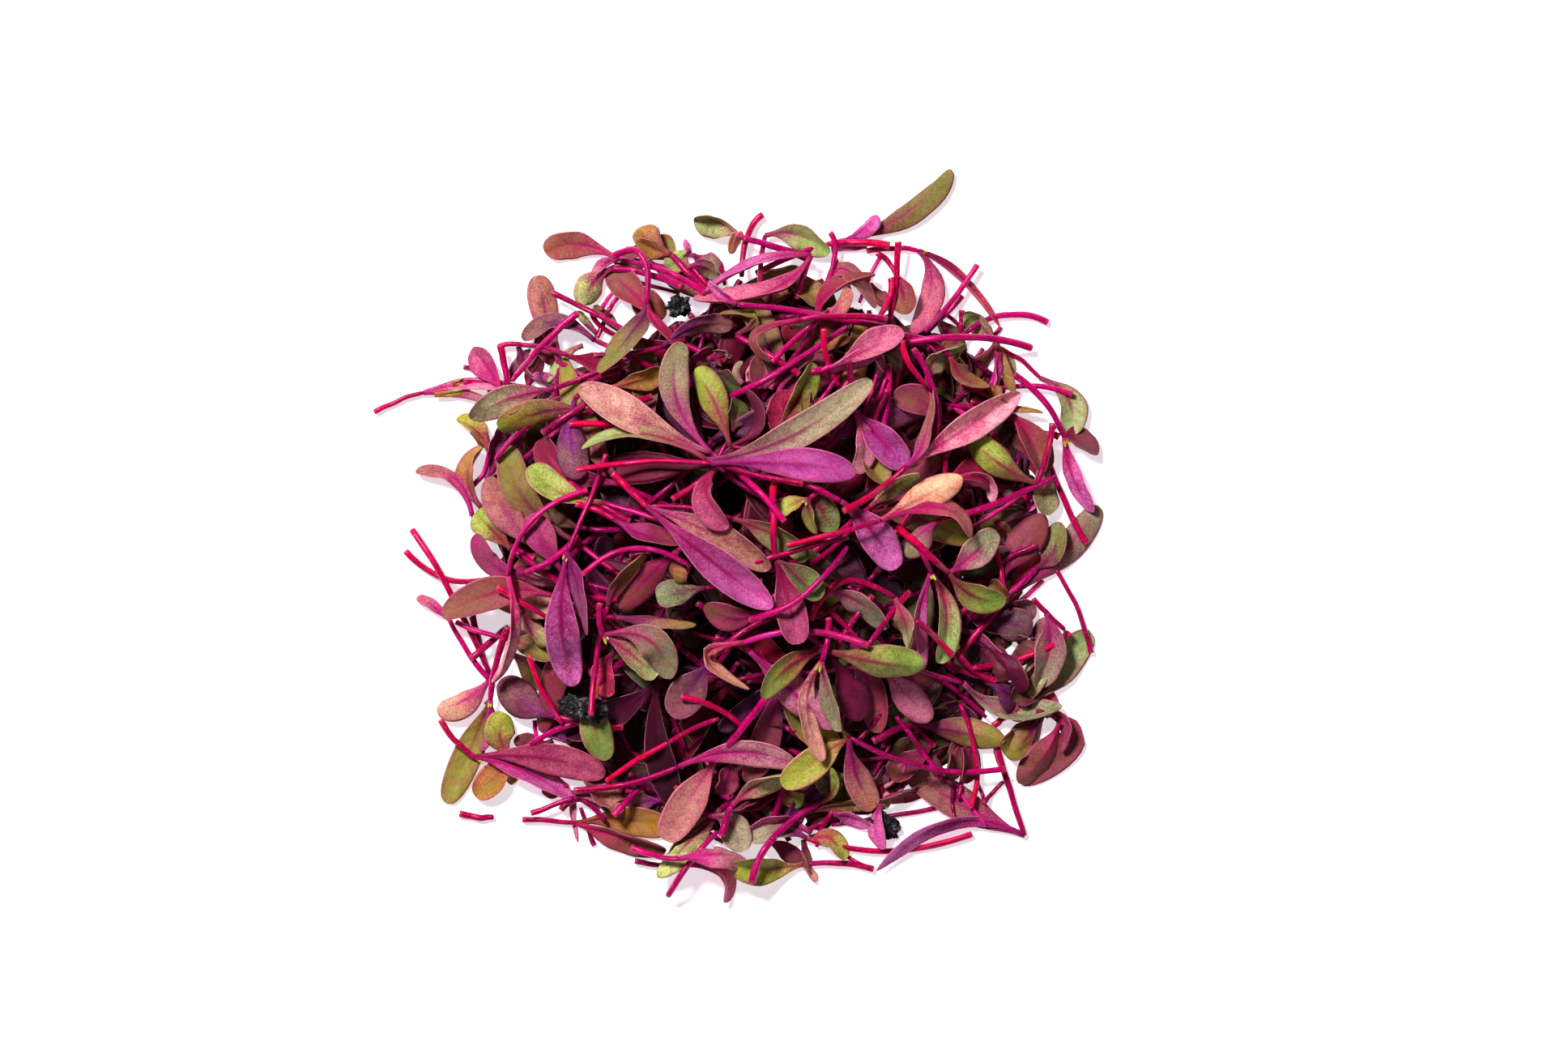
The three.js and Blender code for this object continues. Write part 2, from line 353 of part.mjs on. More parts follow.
// The height map: the two highest tops over each cell, of different pieces, and what lies there
const CELLS = Math.round((2 * MAP_HALF) / CELL);
const topHeight = new Float64Array(CELLS * CELLS);
const nextHeight = new Float64Array(CELLS * CELLS);
const topPiece = new Int16Array(CELLS * CELLS).fill(-1);
const corePiece = new Int16Array(CELLS * CELLS).fill(-1);
const coreHeight = new Float64Array(CELLS * CELLS);

// How high the bulge carries what lies over each cell
const bulge = new Float64Array(CELLS * CELLS);
for (let row = 0; row < CELLS; row += 1) {
  for (let column = 0; column < CELLS; column += 1) {
    const x = column * CELL - MAP_HALF;
    const y = row * CELL - MAP_HALF;
    const inside = Math.max(1 - (x * x + y * y) / (BULGE_RADIUS * BULGE_RADIUS), 0);
    bulge[row * CELLS + column] = BULGE_HEIGHT * inside * inside;
  }
}

function cellAt(x, y) {
  return Math.floor((y + MAP_HALF) / CELL) * CELLS + Math.floor((x + MAP_HALF) / CELL);
}

function cover(cell, height, piece) {
  if (topPiece[cell] === piece) {
    topHeight[cell] = Math.max(topHeight[cell], height);
  } else if (height > topHeight[cell]) {
    nextHeight[cell] = topHeight[cell];
    topHeight[cell] = height;
    topPiece[cell] = piece;
  } else {
    nextHeight[cell] = Math.max(nextHeight[cell], height);
  }
}

// Least height of an underside over a cell, where it may sink into its mate
function leastHeight(cell, mate, sink, rise) {
  const bare = TABLE_GAP + bulge[cell] * rise;
  if (topPiece[cell] < 0) return bare;
  if (topPiece[cell] !== mate) return Math.max(topHeight[cell] + GAP, bare);
  const under = nextHeight[cell] > 0 ? nextHeight[cell] + GAP : bare;
  return Math.max(topHeight[cell] - sink, under);
}

// Fine samples along a strand, each with the cells under it
function sampleStrand(stations, section) {
  const samples = [];
  let run = 0;
  for (let i = 0; i + 1 < stations.length; i += 1) {
    const a = stations[i];
    const b = stations[i + 1];
    const dx = b.x - a.x;
    const dy = b.y - a.y;
    const length = Math.sqrt(dx * dx + dy * dy);
    const count = Math.ceil(length / FINE_STEP);
    for (let j = i === 0 ? 0 : 1; j <= count; j += 1) {
      const share = j / count;
      const keep = 1 - share;
      const sx = a.nx * a.flat * a.half * keep + b.nx * b.flat * b.half * share;
      const sy = a.ny * a.flat * a.half * keep + b.ny * b.flat * b.half * share;
      const sz = a.rise * a.half * keep + b.rise * b.half * share;
      const thick = a.thick * a.flat * keep + b.thick * b.flat * share;
      const crossCount = Math.ceil(Math.sqrt(sx * sx + sy * sy) / CROSS_STEP);
      const cells = [];
      for (let k = -crossCount; k <= crossCount; k += 1) {
        const u = k / crossCount;
        const x = a.x + dx * share + u * sx;
        const y = a.y + dy * share + u * sy;
        const high = section === SECTION ? 1 - Math.abs(u) : 1;
        cells.push({ cell: cellAt(x, y), bottom: u * sz - thick * high, top: u * sz + thick * high });
      }
      samples.push({ segment: i, share, run: run + length * share, cells });
    }
    run += length;
  }
  return samples;
}

// Lowest height that each sample's middle may have
function needs(strand, mate, sink) {
  return strand.samples.map((sample) => {
    const rise = strand.rise * Math.min(sample.run / strand.riseRun, 1);
    let need = 0;
    sample.cells.forEach((c) => {
      need = Math.max(need, leastHeight(c.cell, mate, sink, strand.leans ? rise : 1) - c.bottom);
    });
    return need;
  });
}

// A smooth line that is nowhere lower than the needs
function drape(samples, need) {
  const reach = (values, join) => samples.map((sample, i) => {
    let first = i;
    let last = i;
    while (first > 0 && sample.run - samples[first - 1].run <= STIFFNESS) first -= 1;
    while (last + 1 < samples.length && samples[last + 1].run - sample.run <= STIFFNESS) last += 1;
    return join(values, first, last);
  });
  const highest = reach(need, (values, first, last) => {
    let best = values[first];
    for (let k = first; k <= last; k += 1) best = Math.max(best, values[k]);
    return best;
  });
  return reach(highest, (values, first, last) => {
    let sum = 0;
    for (let k = first; k <= last; k += 1) sum += values[k];
    return sum / (last - first + 1);
  });
}

function stationHeights(samples, line) {
  const heights = [line[0]];
  samples.forEach((sample, i) => {
    if (sample.share === 1) heights.push(line[i]);
  });
  return heights;
}

// Raises stations until the straight stretches between them clear the needs too
function raise(samples, need, heights) {
  const lack = heights.map(() => 0);
  samples.forEach((sample, i) => {
    const low = heights[sample.segment] * (1 - sample.share) + heights[sample.segment + 1] * sample.share;
    const short = need[i] - low;
    lack[sample.segment] = Math.max(lack[sample.segment], short);
    lack[sample.segment + 1] = Math.max(lack[sample.segment + 1], short);
  });
  return heights.map((height, i) => height + lack[i]);
}

// Lifts the stations near a place that was raised
function lift(samples, heights, place, amount) {
  const runs = stationHeights(samples, samples.map((sample) => sample.run));
  return heights.map((height, i) => {
    const away = Math.abs(runs[i] - runs[place]) / FORK_REACH;
    return height + amount * Math.max(1 - away, 0);
  });
}

// Station heights of a sprout's strands over what already lies there
function lay(strands, mate, sink) {
  const main = strands[0];
  const mainNeed = needs(main, mate, sink);
  let mainHeights = stationHeights(main.samples, drape(main.samples, mainNeed));
  const fork = STEM_PLACES.length - 1;
  if (strands.length === 1) return [raise(main.samples, mainNeed, mainHeights)];
  const side = strands[1];
  const sideNeed = needs(side, mate, sink);
  let sideHeights = stationHeights(side.samples, drape(side.samples, sideNeed));
  const top = Math.max(mainHeights[fork], sideHeights[0]);
  mainHeights = lift(main.samples, mainHeights, fork, top - mainHeights[fork]);
  sideHeights = lift(side.samples, sideHeights, 0, top - sideHeights[0]);
  mainHeights = raise(main.samples, mainNeed, mainHeights);
  sideHeights = raise(side.samples, sideNeed, sideHeights);
  const shared = Math.max(mainHeights[fork], sideHeights[0]);
  mainHeights[fork] = shared;
  sideHeights[0] = shared;
  return [mainHeights, sideHeights];
}

function contacts(strands, heights, mate) {
  let count = 0;
  strands.forEach((strand, s) => {
    strand.samples.forEach((sample) => {
      const low = heights[s][sample.segment];
      const middle = low * (1 - sample.share) + heights[s][sample.segment + 1] * sample.share;
      sample.cells.forEach((c) => {
        const sunk = coreHeight[c.cell] - middle - c.bottom;
        const grown = sunk > LEAST_SINK && sunk < MOST_SINK;
        if (grown && corePiece[c.cell] === mate && topPiece[c.cell] === mate) count += 1;
      });
    });
  });
  return count;
}

// Pieces under a sprout that it could grow into, those that it covers most first
function possibleMates(strands, members) {
  const counts = new Map();
  strands.forEach((strand) => {
    strand.samples.forEach((sample) => {
      sample.cells.forEach((c) => {
        const piece = topPiece[c.cell];
        if (piece >= 0 && piece === corePiece[c.cell]) counts.set(piece, (counts.get(piece) || 0) + 1);
      });
    });
  });
  const free = [...counts.keys()].filter((piece) => members[piece].length < MOST_SPROUTS_A_PIECE
    && !members[piece][0].sprout.loose);
  free.sort((a, b) => members[a].length - members[b].length || counts.get(b) - counts.get(a) || a - b);
  return free.slice(0, MATES_TRIED);
}

function stamp(strands, heights, piece) {
  const around = Math.ceil(SIDE_MARGIN / CELL);
  strands.forEach((strand, s) => {
    strand.samples.forEach((sample) => {
      const low = heights[s][sample.segment];
      const middle = low * (1 - sample.share) + heights[s][sample.segment + 1] * sample.share;
      sample.cells.forEach((c) => {
        for (let dy = -around; dy <= around; dy += 1) {
          for (let dx = -around; dx <= around; dx += 1) {
            if ((dx * dx + dy * dy) * CELL * CELL <= SIDE_MARGIN * SIDE_MARGIN + CELL * CELL) {
              cover(c.cell + dy * CELLS + dx, middle + c.top, piece);
            }
          }
        }
      });
    });
  });
  strands.forEach((strand, s) => {
    strand.samples.forEach((sample) => {
      const low = heights[s][sample.segment];
      const middle = low * (1 - sample.share) + heights[s][sample.segment + 1] * sample.share;
      sample.cells.forEach((c) => {
        if (topPiece[c.cell] !== piece) return;
        const known = corePiece[c.cell] === piece ? coreHeight[c.cell] : 0;
        corePiece[c.cell] = piece;
        coreHeight[c.cell] = Math.max(known, middle + c.top);
      });
    });
  });
}

// Corners of a strand's section, as shares of its half width and half thickness
const SECTION = [[-1, 0], [0, -1], [1, 0], [0, 1]];
const FLAT_SECTION = [[-1, -1], [1, -1], [0.5, 1], [-0.5, 1]];
const ROUND_SECTION = [[-1, 0], [-0.5, -1], [0.5, -1], [1, 0], [0.5, 1], [-0.5, 1]];

function hullStations(hull) {
  return HULL_PLACES.map((share, i) => {
    const point = through(hull.foot, hull.middle, hull.fork, share);
    const half = (HULL_SHAPE[i] * hull.width) / 2;
    return { x: point[0], y: point[1], half, thick: half * HULL_THICKNESS, rise: 0 };
  });
}

function strandsOf(sprout) {
  const turns = sprout.leaves.map(() => (draw() < 0.5 ? -1 : 1) * (sprout.flat ? 0 : 1));
  const stem = sprout.kind === "hull" ? hullStations(sprout) : stemStations(sprout);
  let section = sprout.flat ? FLAT_SECTION : SECTION;
  if (sprout.kind === "hull") section = ROUND_SECTION;
  const lines = [stem];
  if (sprout.leaves.length > 0) {
    lines[0] = stem.concat(leafStations(sprout.fork, sprout.leaves[0], turns[0], LEAF_PLACES));
  }
  if (sprout.leaves.length > 1) {
    const fork = stem[stem.length - 1];
    const start = { x: fork.x, y: fork.y, half: NECK_RADIUS, thick: NECK_RADIUS, rise: 0 };
    lines.push([start].concat(leafStations(sprout.fork, sprout.leaves[1], turns[1], SECOND_PLACES)));
  }
  return lines.map((stations, i) => {
    aim(stations);
    const samples = sampleStrand(stations, section);
    const riseRun = i ? AT_ONCE : FILL_STEM;
    return { stations, section, samples, leans: sprout.leans, rise: sprout.rise, riseRun };
  });
}

function readRow(row) {
  const kind = row[0] === "hull" || row[0] === "offcut" ? row[0] : "sprout";
  const plan = { foot: [row[1], row[2]], middle: [row[3], row[4]], fork: [row[5], row[6]] };
  if (kind !== "sprout") return { ...plan, kind, tone: "red", loose: true, width: row[7], leaves: [] };
  const leaves = [];
  for (let i = 7; i < row.length; i += 6) {
    leaves.push({
      tone: row[i], middle: [row[i + 1], row[i + 2]], tip: [row[i + 3], row[i + 4]], width: row[i + 5],
    });
  }
  return { ...plan, kind, tone: row[0], leaves };
}

// One hidden sprout, whose fork lies on a ring and whose leaves point outwards
function fillSprout(angleX, angleY, radius, rise) {
  const length = Math.sqrt(angleX * angleX + angleY * angleY);
  const ux = angleX / length;
  const uy = angleY / length;
  const fork = [ux * radius, uy * radius];
  const sway = (draw() - 0.5) * FILL_STEM;
  const foot = [fork[0] - ux * FILL_STEM - uy * sway, fork[1] - uy * FILL_STEM + ux * sway];
  const middle = [(foot[0] + fork[0]) / 2 - uy * sway * 0.2, (foot[1] + fork[1]) / 2 + ux * sway * 0.2];
  const leaves = [-1, 1].map((side) => {
    const reach = FILL_LEAF * (0.8 + 0.3 * draw());
    const out = side * reach * FILL_SPREAD * (0.4 + 0.6 * draw());
    return {
      tone: FILL_TONES[Math.floor(draw() * FILL_TONES.length)],
      middle: [fork[0] + ux * reach * 0.5 - uy * out * 0.35, fork[1] + uy * reach * 0.5 + ux * out * 0.35],
      tip: [fork[0] + ux * reach - uy * out, fork[1] + uy * reach + ux * out],
      width: LEAF_WIDTH * (0.8 + 0.3 * draw()),
    };
  });
  return { kind: "sprout", tone: "crimson", foot, middle, fork, leaves, leans: true, rise };
}

function hiddenSprouts() {
  const sprouts = [];
  FILL_RINGS.forEach((ring) => {
    for (let i = 0; i < ring.count; i += 1) {
      // Points of a square walked round evenly give the directions
      const around = (4 * (i + 0.35 * draw())) / ring.count;
      const side = Math.floor(around);
      const along = 2 * (around - side) - 1;
      const corner = [[1, along], [-along, 1], [-1, -along], [along, -1]][side % 4];
      sprouts.push(fillSprout(corner[0], corner[1], ring.radius * (0.85 + 0.3 * draw()), ring.rise));
    }
  });
  sprouts[0].flat = true;
  return sprouts;
}

// Lays every sprout, from the table up, and sorts them into pieces that hold together
function layHeap(sprouts) {
  const members = [];
  sprouts.forEach((sprout) => {
    const strands = strandsOf(sprout);
    let piece = -1;
    let heights;
    if (sprout.flat) {
      heights = strands.map((strand) => strand.stations.map((station) => station.thick));
    } else {
      const mates = sprout.loose ? [] : possibleMates(strands, members);
      SINKS.forEach((sink) => {
        for (let i = 0; i < mates.length && piece < 0; i += 1) {
          heights = lay(strands, mates[i], sink);
          if (contacts(strands, heights, mates[i]) >= LEAST_CONTACTS) piece = mates[i];
        }
      });
      if (piece < 0) heights = lay(strands, -1, 0);
    }
    if (piece < 0) {
      piece = members.length;
      members.push([]);
    }
    stamp(strands, heights, piece);
    members[piece].push({ sprout, strands, heights });
  });
  return members;
}

const wasm = await Module();
wasm.setup();

function solidOf(strand, heights, shift) {
  const positions = [];
  strand.stations.forEach((station, i) => {
    strand.section.forEach(([across, up]) => {
      const side = across * station.half;
      const rise = up * station.thick;
      positions.push(
        station.x + station.nx * (side * station.flat - rise * station.rise) - shift.x,
        station.y + station.ny * (side * station.flat - rise * station.rise) - shift.y,
        heights[i] + side * station.rise + rise * station.flat - shift.z,
      );
    });
  });
  const corners = strand.section.length;
  const triangles = [];
  for (let i = 0; i + 1 < strand.stations.length; i += 1) {
    for (let k = 0; k < corners; k += 1) {
      const a = i * corners + k;
      const b = i * corners + ((k + 1) % corners);
      triangles.push(a, b, a + corners, b, b + corners, a + corners);
    }
  }
  const end = (strand.stations.length - 1) * corners;
  for (let k = 1; k + 1 < corners; k += 1) {
    triangles.push(0, k + 1, k, end, end + k, end + k + 1);
  }
  return toSolid(positions, triangles);
}

function toSolid(positions, triangles) {
  return new wasm.Manifold(new wasm.Mesh({
    numProp: 3, vertProperties: new Float32Array(positions), triVerts: new Uint32Array(triangles),
  }));
}

const WELD = 0.001; // corners closer than this are one

function toGeometry(solid) {
  const mesh = solid.getMesh();
  const geometry = new THREE.BufferGeometry();
  geometry.setAttribute("position", new THREE.BufferAttribute(new Float32Array(mesh.vertProperties), 3));
  geometry.setIndex(new THREE.BufferAttribute(new Uint32Array(mesh.triVerts), 1));
  const merged = mergeVertices(geometry, WELD);
  merged.computeVertexNormals();
  return merged;
}

const heap = layHeap(hiddenSprouts().concat(TRACED.map(readRow)));

// The box round the heap, to set the origin under its middle
function heapShift() {
  const low = [Infinity, Infinity];
  const high = [-Infinity, -Infinity];
  heap.flat().forEach(({ strands }) => {
    strands.forEach((strand) => {
      strand.stations.forEach((station) => {
        const reach = station.half * station.flat;
        [station.x - reach * station.nx, station.x + reach * station.nx].forEach((x) => {
          low[0] = Math.min(low[0], x);
          high[0] = Math.max(high[0], x);
        });
        [station.y - reach * station.ny, station.y + reach * station.ny].forEach((y) => {
          low[1] = Math.min(low[1], y);
          high[1] = Math.max(high[1], y);
        });
      });
    });
  });
  return { x: (low[0] + high[0]) / 2, y: (low[1] + high[1]) / 2, z: 0 };
}

const shift = heapShift();
const group = new THREE.Group();
const counts = {};
heap.forEach((members) => {
  const solids = members.flatMap(({ strands, heights }) => (
    strands.map((strand, s) => solidOf(strand, heights[s], shift))
  ));
  const solid = solids.reduce((whole, next) => whole.add(next));
  const leaf = members[0].sprout.leaves[0];
  const tone = leaf ? LEAF_TONES[leaf.tone] : STEM_TONES[members[0].sprout.tone];
  const material = new THREE.MeshStandardMaterial({ color: tone, roughness: 0.6, metalness: 0 });
  const mesh = new THREE.Mesh(toGeometry(solid), material);
  const kind = members[0].sprout.kind;
  counts[kind] = (counts[kind] || 0) + 1;
  const number = String(counts[kind]).padStart(2, "0");
  mesh.name = { sprout: `sprouts_${number}`, hull: `seed_hull_${number}`, offcut: "stem_offcut" }[kind];
  group.add(mesh);
});

export default group;
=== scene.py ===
"""A heap of cut beet microgreens: thin magenta stems with paired narrow seed leaves, on a pale floor."""
import math
import random

import bmesh
import bpy
from mathutils import Matrix, Vector, noise


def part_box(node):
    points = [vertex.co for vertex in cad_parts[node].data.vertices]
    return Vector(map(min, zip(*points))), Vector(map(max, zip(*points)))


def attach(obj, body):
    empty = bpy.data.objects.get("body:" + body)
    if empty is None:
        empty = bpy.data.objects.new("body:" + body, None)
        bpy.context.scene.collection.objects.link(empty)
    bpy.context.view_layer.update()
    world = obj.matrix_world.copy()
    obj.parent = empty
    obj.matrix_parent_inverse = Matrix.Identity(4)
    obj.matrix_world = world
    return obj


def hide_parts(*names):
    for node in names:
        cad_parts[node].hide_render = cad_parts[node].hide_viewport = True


bl_info = {
    "name": "Beet microgreens",
    "version": (1, 0, 0),
    "blender": (4, 5, 0),
    "location": "View3D > Sidebar > Microgreens",
    "description": "Builds a loose heap of cut beet microgreens over its plain solids",
    "category": "Add Mesh",
}

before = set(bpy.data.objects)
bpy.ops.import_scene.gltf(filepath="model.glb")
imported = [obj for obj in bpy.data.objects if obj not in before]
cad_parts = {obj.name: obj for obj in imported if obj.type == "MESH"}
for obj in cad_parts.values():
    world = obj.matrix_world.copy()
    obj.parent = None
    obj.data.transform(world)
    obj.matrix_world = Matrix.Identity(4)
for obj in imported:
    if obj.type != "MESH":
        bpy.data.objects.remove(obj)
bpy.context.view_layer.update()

MM = 0.001
TABLE_GAP = 0.02 * MM  # nothing reaches lower than this over the table
LOWEST = 0.06 * MM  # a leaf that lies on the table is pressed flat above this height
PLACE_SLACK = 3 * MM  # how far a finer piece may depart from its node's box
SHIFT = (-0.508, 0.18)  # from the middle of the traced rows to the middle of the heap's box, mm

# Shares of a stem's and of a leaf's length at which the rows below give heights
STEM_PLACES = (0, 0.34, 0.67, 1)
LEAF_PLACES = (0, 0.28, 0.56, 0.84, 1)
SECOND_PLACES = (0, 0.3, 0.66, 1)

# A leaf across and along: places of its corners
ACROSS = (-1, -0.86, -0.6, -0.3, -0.12, 0, 0.12, 0.3, 0.6, 0.86, 1)
LEAF_RINGS = (0, 0.05, 0.1, 0.16, 0.23, 0.3, 0.37, 0.44, 0.51, 0.58, 0.65, 0.72, 0.79,
              0.85, 0.9, 0.94, 0.97, 0.99, 1)
COARSE_RINGS = (0, 0.1, 0.2, 0.32, 0.45, 0.6, 0.75, 0.87, 0.95, 1)

# A leaf's shape, as shares of its length or half width; pairs are the ends of a random draw
STALK_END = 0.08
WIDEST = (0.56, 0.66)
TIP_ROUNDNESS = (1.9, 2.7)
ROLL_END = 0.56
LEAST_SHOWN = 0.62
CUP_SPREAD = (0.4, 1.5)
CUPPED_UP = 0.75
MOST_FOLD = 1.8
GROOVE_ABOVE = 0.6
MOST_TWIST = 0.5
WAVE = (0.03, 0.09)
RIM_THINNING = 2.4
RIB_HALF = 0.17
LEAST_HALF = 0.1 * MM

# A stem's shape: how it is flattened, how its thickness varies, and its narrower ends
STEM_FLAT = (0.8, 0.98)
STEM_SPREAD = (0.86, 1.1)
STEM_TAPER = 0.2
STEM_WAVER = 0.06
CUT_RING = 0.012
CUT_EDGE = 0.86
FORK_START = 0.97
FORK_NARROW = 0.8
FINE_STEM = (9, 18)  # sides and rings
COARSE_STEM = (6, 10)

# The first true leaves, two scales: places along one, and its half width there as a share of the stalk's
BUD_RINGS = ((0, 0.6), (0.3, 0.7), (0.6, 0.6), (0.85, 0.35), (1, 0.08))
BUD_SIDES = 6
BUDDED = 0.35  # share of the two-leaved sprouts that have them

# Colours as they look on the screen, 0 to 255
STEM_TONES = {  # foot, fork
    "red": ((201, 8, 65), (158, 5, 65)),
    "crimson": ((150, 4, 58), (150, 4, 80)),
    "magenta": ((184, 5, 102), (160, 8, 98)),
    "pink": ((195, 37, 114), (227, 48, 156)),
    "dark": ((93, 2, 32), (120, 3, 60)),
}
LEAF_TONES = {  # tip, foot and middle, bloom
    "violet": ((190, 78, 144), (148, 10, 92), (210, 124, 176)),
    "orchid": ((172, 68, 136), (142, 10, 92), (190, 108, 164)),
    "pink": ((202, 114, 150), (173, 26, 108), (222, 170, 173)),
    "rose": ((178, 88, 122), (150, 16, 94), (200, 126, 142)),
    "tan": ((150, 92, 84), (152, 22, 98), (168, 118, 108)),
    "salmon": ((195, 138, 121), (164, 28, 99), (206, 167, 143)),
    "cream": ((224, 161, 132), (173, 39, 92), (235, 184, 156)),
    "crimson": ((168, 22, 71), (109, 5, 55), (186, 73, 102)),
    "bronze": ((116, 81, 54), (136, 12, 74), (129, 77, 77)),
    "plum": ((111, 74, 53), (132, 12, 86), (135, 58, 80)),
    "purple": ((117, 48, 96), (108, 10, 91), (147, 91, 115)),
    "grey": ((118, 69, 87), (106, 15, 85), (134, 99, 91)),
    "olive": ((120, 124, 46), (114, 26, 68), (139, 113, 69)),
    "sage": ((138, 160, 97), (142, 42, 85), (176, 178, 129)),
    "lime": ((144, 156, 55), (143, 57, 69), (164, 165, 84)),
    "green": ((125, 150, 62), (125, 42, 55), (157, 165, 96)),
    "gold": ((148, 113, 49), (128, 41, 65), (163, 120, 76)),
    "mist": ((128, 118, 92), (138, 28, 92), (150, 142, 116)),
    "moss": ((92, 102, 56), (104, 30, 60), (116, 120, 78)),
    # The next two tones are painted shade: darkened for leaves that lie in the heap's dark hollows
    "shade": ((84, 16, 50), (92, 4, 50), (92, 28, 58)),
    "night": ((46, 10, 32), (58, 4, 36), (54, 20, 38)),
    "wine": ((148, 56, 100), (140, 8, 78), (160, 86, 104)),
    "deep": ((152, 18, 58), (142, 4, 64), (134, 30, 66)),
    "dusk": ((124, 40, 52), (142, 5, 68), (138, 32, 72)),
    "bud": ((170, 168, 64), (160, 90, 60), (184, 180, 96)),
}
DEPTH = 0.26  # how far a colour's weaker parts are held back, which deepens it
TONE_LIGHT = 0.13  # how far a tone varies in light
LEAF_REACH = 8  # and how far each of its parts does, on a leaf and on a stem
STEM_REACH = 4
STEM_DIM = 0.45  # a stem in the shade darkens by this power of a leaf's light

# The noise that shapes the pieces: how quickly it changes along a sprout, and the step from one to the next
SWAY_PITCH = 3.1
SWAY_STEP = 7.3
STEM_PITCH = 9
LEAF_PITCH = 4
LEAF_KEYS = 50

